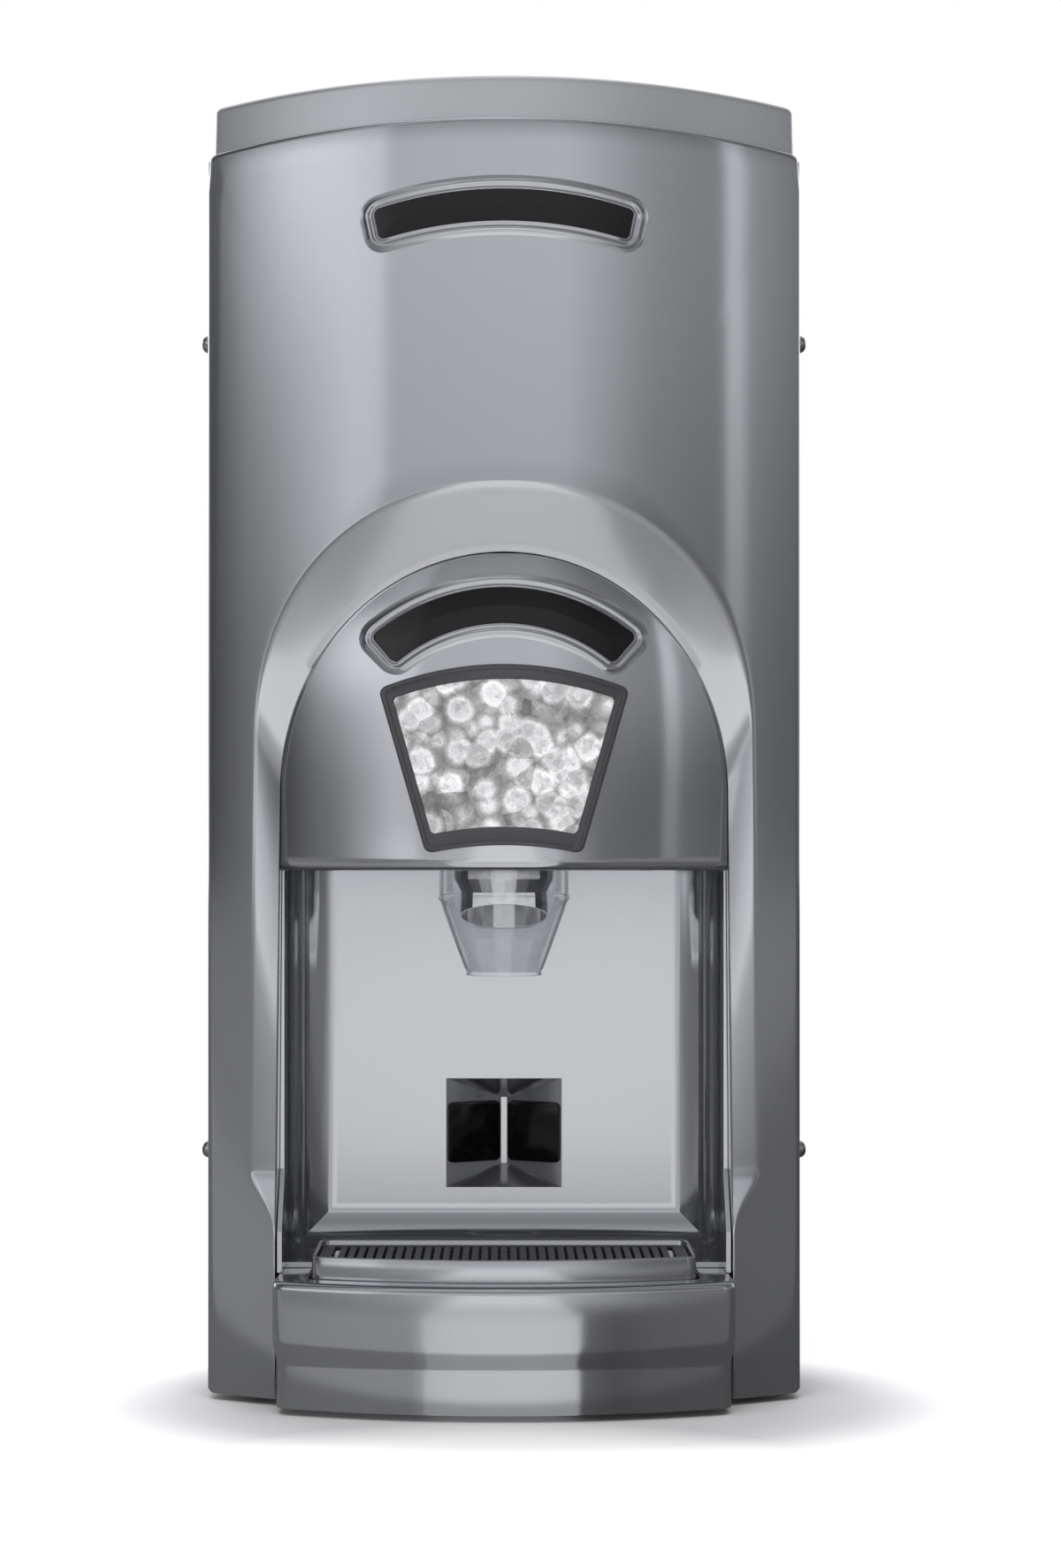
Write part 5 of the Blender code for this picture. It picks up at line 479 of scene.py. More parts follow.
def panel_strip(inner, outer, edge, recess):
    """One strip of the panel: up the sloping band, over its soft edge, across the face and round."""
    width, reach = math.dist(inner, outer), math.dist(outer, edge)
    strip = [(inner[0], bow(inner[0]) + recess + min(BAY_EDGE, width / 3), inner[1])]
    lip_share = max(0.5, 1 - BAND_LIP / width)
    lip_shares = [1 - (1 - lip_share) * (1 - math.cos(turn)) for turn in quarter(8)[:-1]]
    slope_shares = [lip_share * (1 - (k / 14) ** 0.7) for k in range(15)]
    for share in lip_shares + slope_shares:
        x, z = between(outer, inner, share)
        strip.append((x, bow(x) + band_depth(share, width, recess), z))
    for k in range(1, 15):
        x, z = between(outer, edge, k / 14 * (1 - PANEL_EDGE_ROUND / reach))
        strip.append((x, bow(x), z))
    for turn in quarter(6)[1:]:
        x, z = between(outer, edge, 1 - PANEL_EDGE_ROUND * (1 - math.sin(turn)) / reach)
        strip.append((x, bow(x) + PANEL_EDGE_ROUND * (1 - math.cos(turn)), z))
    back = max(SIDE_FRONT - GAP, bow(edge[0]) + PANEL_EDGE_ROUND * 2)
    return [*strip, (edge[0], back, edge[1])]


def rounded_edge_point(x, z):
    """Pulls a point near the panel's upper corner in to the rounded corner."""
    top = panel_top(CASE_HALF_WIDTH - PANEL_CORNER)
    cx, cz = CASE_HALF_WIDTH - PANEL_CORNER, top - PANEL_CORNER
    if x > cx and z > cz:
        away = math.hypot(x - cx, z - cz)
        return cx + (x - cx) * PANEL_CORNER / away, cz + (z - cz) * PANEL_CORNER / away
    return x, z


strips = []
corner_angle = math.atan2(panel_top(CASE_HALF_WIDTH) - ARCH_CENTRE_Z, CASE_HALF_WIDTH)
angles = [math.pi / 2 + (corner_angle - math.pi / 2) * i / TOP_STEPS for i in range(TOP_STEPS + 1)]
angles += [corner_angle * (1 - i / SIDE_STEPS) for i in range(1, SIDE_STEPS + 1)]
for i, angle in enumerate(angles):
    x, z = arch_point(angle)
    outer = (x if i else 0, z)
    inner_z = BAY_ARCH_CENTRE_Z + BAY_ARCH_HEIGHT * math.sin(angle)
    inner = (BAY_HALF_WIDTH * math.cos(angle) if i else 0, inner_z)
    if i <= TOP_STEPS:
        share = i / TOP_STEPS
        edge_x = CASE_HALF_WIDTH * (share + 0.05 * math.sin(share * math.pi) * share)
        edge = (edge_x, panel_top(edge_x)) if i else (0, PANEL_TOP)
    else:
        edge = (CASE_HALF_WIDTH, ARCH_CENTRE_Z + CASE_HALF_WIDTH * math.tan(angle))
    strips.append(panel_strip(inner, outer, rounded_edge_point(*edge), RECESS))
for i in range(1, LOW_STEPS + 1):
    z = ARCH_CENTRE_Z + (BAY_MERGE_Z - ARCH_CENTRE_Z) * i / LOW_STEPS
    fall = (z - ARCH_CENTRE_Z) * (BAY_ARCH_CENTRE_Z - ARCH_FOOT_Z) / (ARCH_CENTRE_Z - ARCH_FOOT_Z)
    inner_z = min(z, BAY_ARCH_CENTRE_Z + fall)
    fade = min(1, max(0, (ARCH_FOOT_Z - z) / (ARCH_FOOT_Z - BAY_MERGE_Z)))
    inner = (bay_half_width(max(inner_z, z if z < ARCH_FOOT_Z else inner_z)), inner_z)
    outer = (max(arch_outer(z), bay_half_width(inner_z) + BAY_EDGE), z)
    recess = RECESS + (RECESS_LOW - RECESS) * fade
    strips.append(panel_strip(inner, outer, (CASE_HALF_WIDTH, z), recess))
for z in (0.095, 0.085, SILL_TOP, 0.06, 0.035, 0.015, PANEL_BOTTOM + 0.002, PANEL_BOTTOM):
    inner, outer = (BAY_LOW_HALF_WIDTH, z), (BAY_LOW_HALF_WIDTH + BAY_EDGE, z)
    shrink = 0.002 if z == PANEL_BOTTOM else 0
    strips.append(panel_strip(inner, outer, (CASE_HALF_WIDTH - shrink, z), RECESS_LOW))
bm = bmesh.new()
skin(bm, strips)
front_panel = add_piece("front_panel_moulding", bm, GREY_GLOSS)
mirror = front_panel.modifiers.new("other_half", "MIRROR")
mirror.merge_threshold = 0.00005
apply_modifiers(front_panel)
bm = bmesh.new()
bm.from_mesh(front_panel.data)
outward(bm, 1, -1)
bm.to_mesh(front_panel.data)
bm.free()
thicken(front_panel, PANEL_WALL, 38)
hand_over(front_panel, "case", "grey_gloss_plastic", "front_panel")


# The hood is a bulging cap that fills the arch over the bay, in the same plastic
# as the panel, snapped in from behind.
HOOD_BOTTOM = 0.312
HOOD_WALL = 0.0025
HOOD_DEPTH = 0.0138
HOOD_ROLL = 0.0055
HOOD_ARCH_TOP = BAY_ARCH_CENTRE_Z + BAY_ARCH_HEIGHT
SPOKES = 120


def hood_surface(x, z):
    """Where the hood's outside lies: level with the band at its edge, bulging out below."""
    edge = max(bay_half_width(z) - GAP, GAP)
    rise = min(1, max(0, (z - HOOD_BOTTOM) / (HOOD_ARCH_TOP - HOOD_BOTTOM)))
    across = min(1, abs(x) / edge)
    bulge = (1 - rise * rise) ** 0.8 * (1 - across**2.3)
    roll = max(0, 1 - (z - HOOD_BOTTOM) / HOOD_ROLL)
    return bow(x) + HOOD_DEPTH * (1 - bulge) + HOOD_ROLL * (1 - math.sqrt(max(0, 1 - roll * roll)))


def hood_reach(angle):
    """How far the hood's outline lies from the middle of its bottom edge, at this angle."""
    low, high = 0, 0.3
    for _ in range(40):
        reach = (low + high) / 2
        z = HOOD_BOTTOM + reach * math.sin(angle)
        if z < HOOD_ARCH_TOP - GAP and reach * math.cos(angle) < bay_half_width(z) - GAP:
            low = reach
        else:
            high = reach
    return low


hood_rows = []
shares = [math.sin(turn) ** 0.8 for turn in quarter(40)[4:]]
for i in range(SPOKES + 1):
    angle = math.pi * i / SPOKES
    reach = hood_reach(angle if i <= SPOKES / 2 else math.pi - angle)
    row = []
    for share in shares:
        x = reach * share * math.cos(angle)
        z = HOOD_BOTTOM + HOOD_ROLL + (reach * share - HOOD_ROLL * share) * abs(math.sin(angle))
        row.append((x, hood_surface(x, z), z))
    hood_rows.append(row)
bm = bmesh.new()
grid = skin(bm, hood_rows)
middle = bm.verts.new((0, hood_surface(0, HOOD_BOTTOM + HOOD_ROLL), HOOD_BOTTOM + HOOD_ROLL))
for first, second in zip(grid, grid[1:]):
    bm.faces.new((middle, first[0], second[0]))
edge_line = [*reversed(grid[-1]), middle, *grid[0]]
for turn in quarter(8)[1:]:
    z = HOOD_BOTTOM + HOOD_ROLL * (1 - math.sin(turn))
    lower = [bm.verts.new((vert.co.x, hood_surface(vert.co.x, z), z)) for vert in edge_line]
    for i in range(len(lower) - 1):
        bm.faces.new((edge_line[i], edge_line[i + 1], lower[i + 1], lower[i]))
    edge_line = lower
hood = add_piece("hood_moulding", outward(bm, 1, -1), GREY_GLOSS, recalculate=False)
thicken(hood, HOOD_WALL, 50)
hand_over(hood, "case", "grey_gloss_plastic", "hood")


# Two bare black plates and the window lie in moulded seats. A raised bead of the grey
# plastic runs round each plate, with a thin bright border next to it.
def plain_finish(name, colour, roughness, metallic=0.0, scale=300.0, depth=0.08, level=0.5):
    """A plain coloured surface with a fine grain in its colour and its relief."""
    plain_values = {"Roughness": roughness, "Metallic": metallic, "Specular IOR Level": level}
    made, graph, surface = new_finish(name, plain_values)
    grain = graph.noise(scale)
    tint = graph.mix(shaded(colour, 0.88), shaded(colour, 1.12), grain, "MIX")
    graph.feed(surface["Base Color"], tint)
    graph.feed(surface["Normal"], graph.bump(grain, depth, 0.0003))
    return made


BLACK_GLOSS = plain_finish("black_gloss_plastic", (0.003, 0.003, 0.0035), 0.12, depth=0.01, level=0.34)

NAME_PLATE_HALF_WIDTH = 0.0735
NAME_PLATE_TOP = 0.7025
NAME_PLATE_HEIGHT = 0.018
NAME_PLATE_ARC = 0.275
NAME_PLATE_DRAW = 2.6
LABEL_CENTRE_Z = 0.356
LABEL_INNER_RADIUS = 0.0985
LABEL_OUTER_RADIUS = 0.1195
LABEL_HALF_ANGLE = math.radians(40)
LABEL_MIDDLE = (LABEL_INNER_RADIUS + LABEL_OUTER_RADIUS) / 2
PLATE_CORNER = 0.0035
LONG_STEPS, ROUND_STEPS = 40, 7
MERGE_REACH = 0.00002


def soft_rectangle(half_width, half_height, radius, short_steps=8):
    """A rounded rectangle as (along, up) points, with the same count of points at any size."""
    radius = max(0.00005, min(radius, half_width * 0.98, half_height * 0.98))
    flat, tall = half_width - radius, half_height - radius
    centres = ((flat, tall), (-flat, tall), (-flat, -tall), (flat, -tall))
    points = []
    for k, centre in enumerate(centres):
        points += [about(centre, radius, (k + i / ROUND_STEPS) * math.pi / 2) for i in range(ROUND_STEPS)]
        turn = (k + 1) * math.pi / 2
        start, end = about(centre, radius, turn), about(centres[(k + 1) % 4], radius, turn)
        steps = short_steps if k % 2 else LONG_STEPS
        points += [between(start, end, i / steps) for i in range(steps)]
    return points


def on_name_plate(along, up):
    """Maps the flat plate onto its place on the panel: arched along its length, ends drawn in."""
    x = along * (1 + up * NAME_PLATE_DRAW)
    drop = NAME_PLATE_ARC - math.sqrt(NAME_PLATE_ARC**2 - x * x)
    return x, NAME_PLATE_TOP - NAME_PLATE_HEIGHT / 2 - drop + up


def on_label_plate(along, up):
    """Maps the flat plate onto its slice of a ring on the hood."""
    turn = along / LABEL_MIDDLE
    return (LABEL_MIDDLE + up) * math.sin(turn), LABEL_CENTRE_Z + (LABEL_MIDDLE + up) * math.cos(turn)


def laid_ring(place_on, lies_on, outline, height, rise=0):
    """A flat outline laid on a surface, this high over it."""
    placed = [place_on(along, up + rise) for along, up in outline]
    return [(x, lies_on(x, z) - height, z) for x, z in placed]


def merged(bm):
    """Closes what meets, such as rings that have shrunk to a line."""
    bmesh.ops.remove_doubles(bm, verts=bm.verts, dist=MERGE_REACH)
    bmesh.ops.dissolve_degenerate(bm, edges=bm.edges, dist=MERGE_REACH / 10)
    return bm


def of_rings(rows, ends="joined"):
    """The faces of a shape made of rings, whose ends are joined to each other, filled or left open."""
    bm = bmesh.new()
    grid = skin(bm, rows, loop=True, turn_round=ends == "joined")
    if ends == "filled":
        bm.faces.new(grid[-1])
        bm.faces.new(grid[0])
    return bm


BEAD_PROFILE = (
    (0.0001, -0.0008), (0.0001, 0.0010), (0.0004, 0.0014), (0.0008, 0.0014), (0.0012, 0.0008),
    (0.0017, 0.0003), (0.0023, 0.0002), (0.0029, 0.0005), (0.0035, 0.0010), (0.0041, 0.0013),
    (0.0047, 0.0013), (0.0053, 0.0010), (0.0060, 0.0006), (0.0068, 0.0003), (0.0078, 0.0001),
    (0.0092, -0.0002), (0.0092, -0.0008),
)
name_plate_size = (NAME_PLATE_HALF_WIDTH, NAME_PLATE_HEIGHT / 2)
label_plate_size = (LABEL_HALF_ANGLE * LABEL_MIDDLE, (LABEL_OUTER_RADIUS - LABEL_INNER_RADIUS) / 2)
for name, place_on, lies_on, (half_width, half_height) in (
    ("name_plate", on_name_plate, lambda x, z: bow(x), name_plate_size),
    ("label_plate", on_label_plate, hood_surface, label_plate_size),
):
    shrink = half_height - 0.00002
    plate_profile = [(-shrink, 0.0003), (-0.0001, 0.0003), (-0.0001, 0.0008), (-0.0003, 0.0010)]
    plate_profile += [(-shrink * share, 0.0010 + 0.0002 * share) for share in (0.15, 0.3, 0.5, 0.75, 1)]
    plate_rows, bead_rows = [
        [
            laid_ring(
                place_on, lies_on,
                soft_rectangle(half_width + offset, half_height + offset, PLATE_CORNER + offset), height,
            )
            for offset, height in profile
        ]
        for profile in (plate_profile, BEAD_PROFILE)
    ]
    plate = add_piece(name + "_black", merged(of_rings(plate_rows, "open")), BLACK_GLOSS)
    hand_over(plate, "case", "black_plastic", name)
    bead = add_piece(name + "_bead", of_rings(bead_rows), GREY_GLOSS, 60)
    hand_over(bead, "case", "grey_gloss_plastic")


# The window is a dark, stepped frame with a printed picture set into it: pale rounded
# nuggets of ice behind a glossy face. Both are held by the hood.
def ice_picture(name):
    """A print of rounded ice nuggets: pale cells with soft rims, each of its own tone, over frost."""
    # The print glows faintly in its own colours: painted light that makes it brighter.
    made, graph, surface = new_finish(name, {"Emission Strength": 0.12, "Roughness": 0.12})
    x, y, z = graph.axes(graph.place())
    flat = graph.add("ShaderNodeCombineXYZ", {"X": x, "Y": z}).outputs[0]
    waver = graph.noise(45, 3, flat, "Color")
    wavered = {0: waver, 1: (0.007, 0.007, 0), 2: flat}
    bend = graph.add("ShaderNodeVectorMath", wavered, operation="MULTIPLY_ADD").outputs[0]
    rim_inputs = {"Scale": 74, "Smoothness": 0.06, "Vector": bend}
    rim = graph.add("ShaderNodeTexVoronoi", rim_inputs, feature="SMOOTH_F1").outputs["Distance"]
    rim_stops = (
        (0.0, 0.90), (0.2, 0.78), (0.38, 0.84), (0.47, 1.0),
        (0.54, 0.84), (0.60, 0.58), (0.68, 0.42), (0.8, 0.34),
    )
    picture = graph.ramp(rim, rim_stops)
    for scale, stops in (
        (74, ((0.0, 0.56), (0.25, 0.78), (0.6, 0.97), (1.0, 1.15))),
        (260, ((0.0, 0.72), (0.5, 0.95), (1.0, 1.12))),
    ):
        cells = graph.add("ShaderNodeTexVoronoi", {"Scale": scale, "Vector": bend}).outputs["Color"]
        tone = graph.add("ShaderNodeSeparateColor", {0: cells}).outputs[0]
        picture = graph.mix(picture, graph.ramp(tone, stops))
    frost = graph.ramp(graph.noise(700, 6, flat), ((0.3, 0.82), (0.7, 1.1)))
    picture = graph.mix(picture, frost)
    graph.feed(surface["Base Color"], picture)
    graph.feed(surface["Emission Color"], picture)
    return made


ICE_PICTURE = ice_picture("picture_pale")
DARK_GREY = plain_finish("dark_grey_plastic", (0.058, 0.058, 0.062), 0.24, depth=0.02)

WINDOW_TOP = 0.4307
WINDOW_BOTTOM = 0.3265
WINDOW_TOP_HALF_WIDTH = 0.0726
WINDOW_BOTTOM_HALF_WIDTH = 0.0450
WINDOW_TOP_SAG = 0.0137
WINDOW_BOTTOM_SAG = 0.0048
WINDOW_CORNER = 0.0045
SIDE_BORDER, TOP_BORDER, BOTTOM_BORDER = BORDERS = (0.0060, 0.0084, 0.0106)
WINDOW_HALF_WIDTH = (WINDOW_TOP_HALF_WIDTH + WINDOW_BOTTOM_HALF_WIDTH) / 2
WINDOW_HALF_HEIGHT = (WINDOW_TOP - WINDOW_BOTTOM) / 2


def on_window(along, up):
    """Maps a rectangle onto the window: narrower below, arched above, its borders kept even."""
    level = up / (WINDOW_HALF_HEIGHT * 2) + 0.5
    half = WINDOW_BOTTOM_HALF_WIDTH + (WINDOW_TOP_HALF_WIDTH - WINDOW_BOTTOM_HALF_WIDTH) * level
    reach = min(1, abs(along) / (WINDOW_HALF_WIDTH * 0.6))
    x = along + math.copysign(reach, along) * (half - WINDOW_HALF_WIDTH)
    sag = WINDOW_BOTTOM_SAG + (WINDOW_TOP_SAG - WINDOW_BOTTOM_SAG) * level
    return x, (WINDOW_TOP + WINDOW_BOTTOM) / 2 + up - sag * (x / half) ** 2


def window_rings(profile):
    """Rings of the window: ((side, top and bottom offset), height) from its outline."""
    rows = []
    for (side, top, bottom), height in profile:
        half_height = WINDOW_HALF_HEIGHT - (top + bottom) / 2
        corner = WINDOW_CORNER - side * 0.3
        rectangle = soft_rectangle(WINDOW_HALF_WIDTH - side, half_height, corner, short_steps=20)
        rows.append(laid_ring(on_window, hood_surface, rectangle, height, (bottom - top) / 2))
    return rows


def inside_borders(inset):
    return tuple(border + inset for border in BORDERS)


window_rows = window_rings(
    (
        ((0, 0, 0), 0.0002), ((0, 0, 0), 0.0022), ((0.0004, 0.0004, 0.0004), 0.0028),
        ((0.0010, 0.0010, 0.0010), 0.0030), ((0.0022, 0.0022, 0.0022), 0.0030),
        ((0.0026, 0.0026, 0.0026), 0.0028), ((0.0030, 0.0030, 0.0030), 0.0021),
        ((0.0034, 0.0036, 0.0036), 0.0019),
        ((SIDE_BORDER - 0.0008, TOP_BORDER - 0.0010, BOTTOM_BORDER - 0.0010), 0.0018),
        (inside_borders(-0.0003), 0.0017), (BORDERS, 0.0013), (BORDERS, 0.0002),
    )
)
window_frame = add_piece("window_frame_moulding", of_rings(window_rows), DARK_GREY, 40)
hand_over(window_frame, "case", "dark_grey_plastic", "window_frame")
shrink = WINDOW_HALF_HEIGHT - (TOP_BORDER + BOTTOM_BORDER) / 2 - 0.00002
profile = [(inside_borders(shrink), 0.0003), (inside_borders(0.0002), 0.0003)]
for share in (0, 0.04, 0.12, 0.25, 0.4, 0.6, 0.8, 1):
    profile.append((inside_borders(0.0002 + (shrink - 0.0002) * share), 0.0012))
picture = add_piece("window_picture", merged(of_rings(window_rings(profile), "open")), ICE_PICTURE, 40)
hand_over(picture, "case", "picture_pale", "window_panel")


# The bay is lined with one glossy moulding: rounded where its back meets its sides and
# floor, tight along the ceiling, with a hipped pocket for the sensors in its back.
LINER_HALF_WIDTH = 0.130
LINER_BACK = -0.138
LINER_FRONT = -0.206
LINER_WALL = 0.003
LINER_ROUND = 0.028
LINER_CEILING = 0.3123
LINER_FLOOR = SILL_TOP + GAP + LINER_WALL
POCKET_HALF_WIDTH = 0.0355
POCKET_BOTTOM = 0.1174
POCKET_TOP = 0.1843
POCKET_DEPTH = 0.020
POCKET_HIP = 0.0130
POCKET_STRIP = 0.0036
POCKET_WALL = 0.0025
CHUTE_Y = -0.203
CHUTE_RADIUS = 0.0382
TRAY_HALF_WIDTH = 0.111
TRAY_BACK = -0.1755
TRAY_FRONT = -0.2725
TRAY_TOP = 0.090
TRAY_SEAT = 0.002


def block(low, high):
    bm = bmesh.new()
    bmesh.ops.create_cube(bm, size=1)
    for vert in bm.verts:
        vert.co = [low[k] + (high[k] - low[k]) * (vert.co[k] + 0.5) for k in range(3)]
    return bm


def round_edges(bm, radius, segments, chosen=None):
    edges = [edge for edge in bm.edges if chosen is None or chosen(edge)]
    bmesh.ops.bevel(
        bm, geom=edges, offset=radius, segments=segments, affect="EDGES", profile=0.5, clamp_overlap=True
    )
    return bm


def cut(made, bm, operation="DIFFERENCE"):
    """Cuts a shape out of a piece, or joins one to it."""
    bmesh.ops.recalc_face_normals(bm, faces=bm.faces)
    data = bpy.data.meshes.new("tool")
    bm.to_mesh(data)
    bm.free()
    tool = bpy.data.objects.new("tool", data)
    scene.collection.objects.link(tool)
    work = made.modifiers.new("cut", "BOOLEAN")
    work.operation = operation
    work.object = tool
    apply_modifiers(made)
    bpy.data.objects.remove(tool)
    return made


def round_bar(start, end, radius, sides=32):
    """A closed bar between two points."""
    start, end = Vector(start), Vector(end)
    bm = bmesh.new()
    along = end - start
    matrix = Matrix.Translation((start + end) / 2) @ along.to_track_quat("Z", "Y").to_matrix().to_4x4()
    bmesh.ops.create_cone(
        bm, cap_ends=True, segments=sides, radius1=radius, radius2=radius, depth=along.length, matrix=matrix
    )
    return bm


def depth_along(edge):
    return abs(edge.verts[0].co.y - edge.verts[1].co.y)


def big_round(edge):
    """Chooses the edges round the bay's back but for the one along its ceiling."""
    in_back = max(vert.co.y for vert in edge.verts) > LINER_FRONT
    low = min(vert.co.z for vert in edge.verts) < LINER_CEILING - 0.01
    return in_back and low and depth_along(edge) < 0.01


outside = block(
    (-LINER_HALF_WIDTH - LINER_WALL, LINER_FRONT, SILL_TOP + GAP),
    (LINER_HALF_WIDTH + LINER_WALL, LINER_BACK + LINER_WALL, LINER_CEILING + LINER_WALL),
)
liner = add_piece("bay_liner", outside, GREY_LINING)
inside_low = (-LINER_HALF_WIDTH, LINER_FRONT - 0.04, LINER_FLOOR)
inside = block(inside_low, (LINER_HALF_WIDTH, LINER_BACK, LINER_CEILING))
cut(liner, round_edges(inside, LINER_ROUND, 28, big_round))
pocket_half = POCKET_HALF_WIDTH + POCKET_WALL
pocket = block(
    (-pocket_half, LINER_BACK + 0.001, POCKET_BOTTOM - POCKET_WALL),
    (pocket_half, LINER_BACK + POCKET_DEPTH + POCKET_WALL, POCKET_TOP + POCKET_WALL),
)
cut(liner, pocket, "UNION")
hollow = bmesh.new()
for x in (-POCKET_HALF_WIDTH, POCKET_HALF_WIDTH):
    for z in (POCKET_BOTTOM, POCKET_TOP):
        hollow.verts.new((x, LINER_BACK - 0.01, z))
        hollow.verts.new((x, LINER_BACK, z))
for z in (POCKET_BOTTOM + POCKET_HIP, POCKET_TOP - POCKET_HIP):
    for x in (-POCKET_STRIP / 2, POCKET_STRIP / 2):
        hollow.verts.new((x, LINER_BACK + POCKET_DEPTH, z))
bmesh.ops.convex_hull(hollow, input=hollow.verts)
cut(liner, hollow)
chute_top = (0, CHUTE_Y, LINER_CEILING + 0.02)
cut(liner, round_bar((0, CHUTE_Y, 0.30), chute_top, CHUTE_RADIUS + GAP, 96))
front = bow(BAY_LOW_HALF_WIDTH) + RECESS_LOW
cheek_outline = (
    (LINER_FRONT + LINER_WALL, SILL_TOP + GAP),
    (front, SILL_TOP + GAP),
    (front, BAY_MERGE_Z),
    (LINER_FRONT, ARCH_FOOT_Z),
    (LINER_FRONT + LINER_WALL, ARCH_FOOT_Z),
)
for side in (-1, 1):
    sides = (side * (LINER_HALF_WIDTH - GAP), side * (LINER_HALF_WIDTH + LINER_WALL - GAP * 2))
    cheek = of_rings([[(x, y, z) for y, z in cheek_outline] for x in sides], "filled")
    cut(liner, cheek, "UNION")
well_half = TRAY_HALF_WIDTH + TRAY_SEAT
well_low = (-well_half, LINER_FRONT - 0.05, SILL_TOP - 0.01)
cut(liner, block(well_low, (well_half, TRAY_BACK + TRAY_SEAT, TRAY_TOP)))
shade(liner, 15)
even = liner.modifiers.new("even_shading", "WEIGHTED_NORMAL")
even.keep_sharp = True
even.weight = 100
hand_over(apply_modifiers(liner), "case", "grey_gloss_plastic", "niche_liner")


# Two black windows lie on the pocket's slopes: smooth plastic that the sensors see through.
# Each is held by a lip behind the slope and stands just proud of it.
SENSOR_HALF_WIDTH = 0.0183
SENSOR_HALF_HEIGHT = 0.0186
SENSOR_DEPTH = 0.0016
slope = math.atan2(POCKET_DEPTH, POCKET_HALF_WIDTH - POCKET_STRIP / 2)
slope_middle = (POCKET_HALF_WIDTH + POCKET_STRIP / 2) / 2
pocket_middle = (POCKET_BOTTOM + POCKET_TOP) / 2
for name, side in (("left", -1), ("right", 1)):
    low_corner = (-SENSOR_HALF_WIDTH, -SENSOR_DEPTH, -SENSOR_HALF_HEIGHT)
    bm = block(low_corner, (SENSOR_HALF_WIDTH, -GAP, SENSOR_HALF_HEIGHT))
    round_edges(bm, 0.0035, 5, lambda edge: depth_along(edge) > 0.001)
    round_edges(bm, 0.0004, 2, lambda edge: max(v.co.y for v in edge.verts) < -0.0015)
    bmesh.ops.transform(bm, matrix=Matrix.Rotation(-side * slope, 4, "Z"), verts=bm.verts)
    place = (side * slope_middle, LINER_BACK + POCKET_DEPTH / 2, pocket_middle)
    bmesh.ops.translate(bm, vec=place, verts=bm.verts)
    window = add_piece("sensor_window_" + name + "_lens", bm, BLACK_GLOSS)
    hand_over(window, "case", "black_plastic", "sensor_window_" + name)


# The chute's guard is one clear moulding: a short tube, a bead where its cone starts, and
# faint flutes down the cone. It hangs from the bay's ceiling by a flange, round a steel spout.
CHUTE_TIP_RADIUS = 0.022
CHUTE_TAPER_Z = 0.294
CHUTE_TIP_Z = 0.250
CHUTE_WALL = 0.0010
CHUTE_FLANGE = 0.007
CHUTE_FLUTES = 12
CHUTE_FLUTE_DEPTH = 0.012
CHUTE_SIDES = 144
clear_values = {
    "Base Color": (0.955, 0.965, 0.975, 1),
    "Transmission Weight": 1,
    "IOR": 1.06,
    "Coat Weight": 0.7,
    "Coat Roughness": 0.02,
}
CLEAR_PLASTIC, graph, surface = new_finish("clear_plastic", clear_values)
graph.feed(surface["Roughness"], graph.spread(graph.noise(60), 0.01, 0.05))
flange_low = LINER_CEILING + LINER_WALL + GAP
rim, rim_z, tip, tip_z = CHUTE_RADIUS, CHUTE_TAPER_Z, CHUTE_TIP_RADIUS, CHUTE_TIP_Z
profile = [
    (rim - CHUTE_WALL, flange_low + CHUTE_WALL, 0), (rim + CHUTE_FLANGE, flange_low + CHUTE_WALL, 0),
    (rim + CHUTE_FLANGE, flange_low, 0), (rim, flange_low, 0), (rim, rim_z + 0.0035, 0),
    (rim + 0.0006, rim_z + 0.0030, 0), (rim + 0.0008, rim_z + 0.0018, 0), (rim + 0.0004, rim_z + 0.0008, 0),
    (rim - 0.0006, rim_z - 0.0004, 0.3),
]
profile += [(*between((rim, rim_z), (tip, tip_z), k / 9), 1) for k in range(1, 9)]
profile += [
    (tip, tip_z + 0.0022, 0.5), (tip + 0.0004, tip_z + 0.0016, 0.2), (tip + 0.0004, tip_z + 0.0005, 0),
    (tip, tip_z, 0), (tip - CHUTE_WALL, tip_z, 0), (tip - CHUTE_WALL, tip_z + 0.002, 0.5),
    (rim - CHUTE_WALL * 1.2, rim_z, 0.5),
]
chute_rows = []
for radius, z, fluted in profile:
    row = []
    for i in range(CHUTE_SIDES):
        turn = i / CHUTE_SIDES * math.tau
        flute = 1 - fluted * CHUTE_FLUTE_DEPTH * abs(math.cos(turn * CHUTE_FLUTES / 2)) ** 3
        row.append((*about((0, CHUTE_Y), radius * flute, turn), z))
    chute_rows.append(row)
chute = add_piece("chute_guard", of_rings(chute_rows), CLEAR_PLASTIC, 35)
hand_over(chute, "case", "clear_plastic", "chute")


# The sill is a bowed apron below the bay, moulded with a step along its foot.
# Its top is a shelf with a well that the drip tray drops into.
BOW_STEPS, CORNER_STEPS = 96, 8


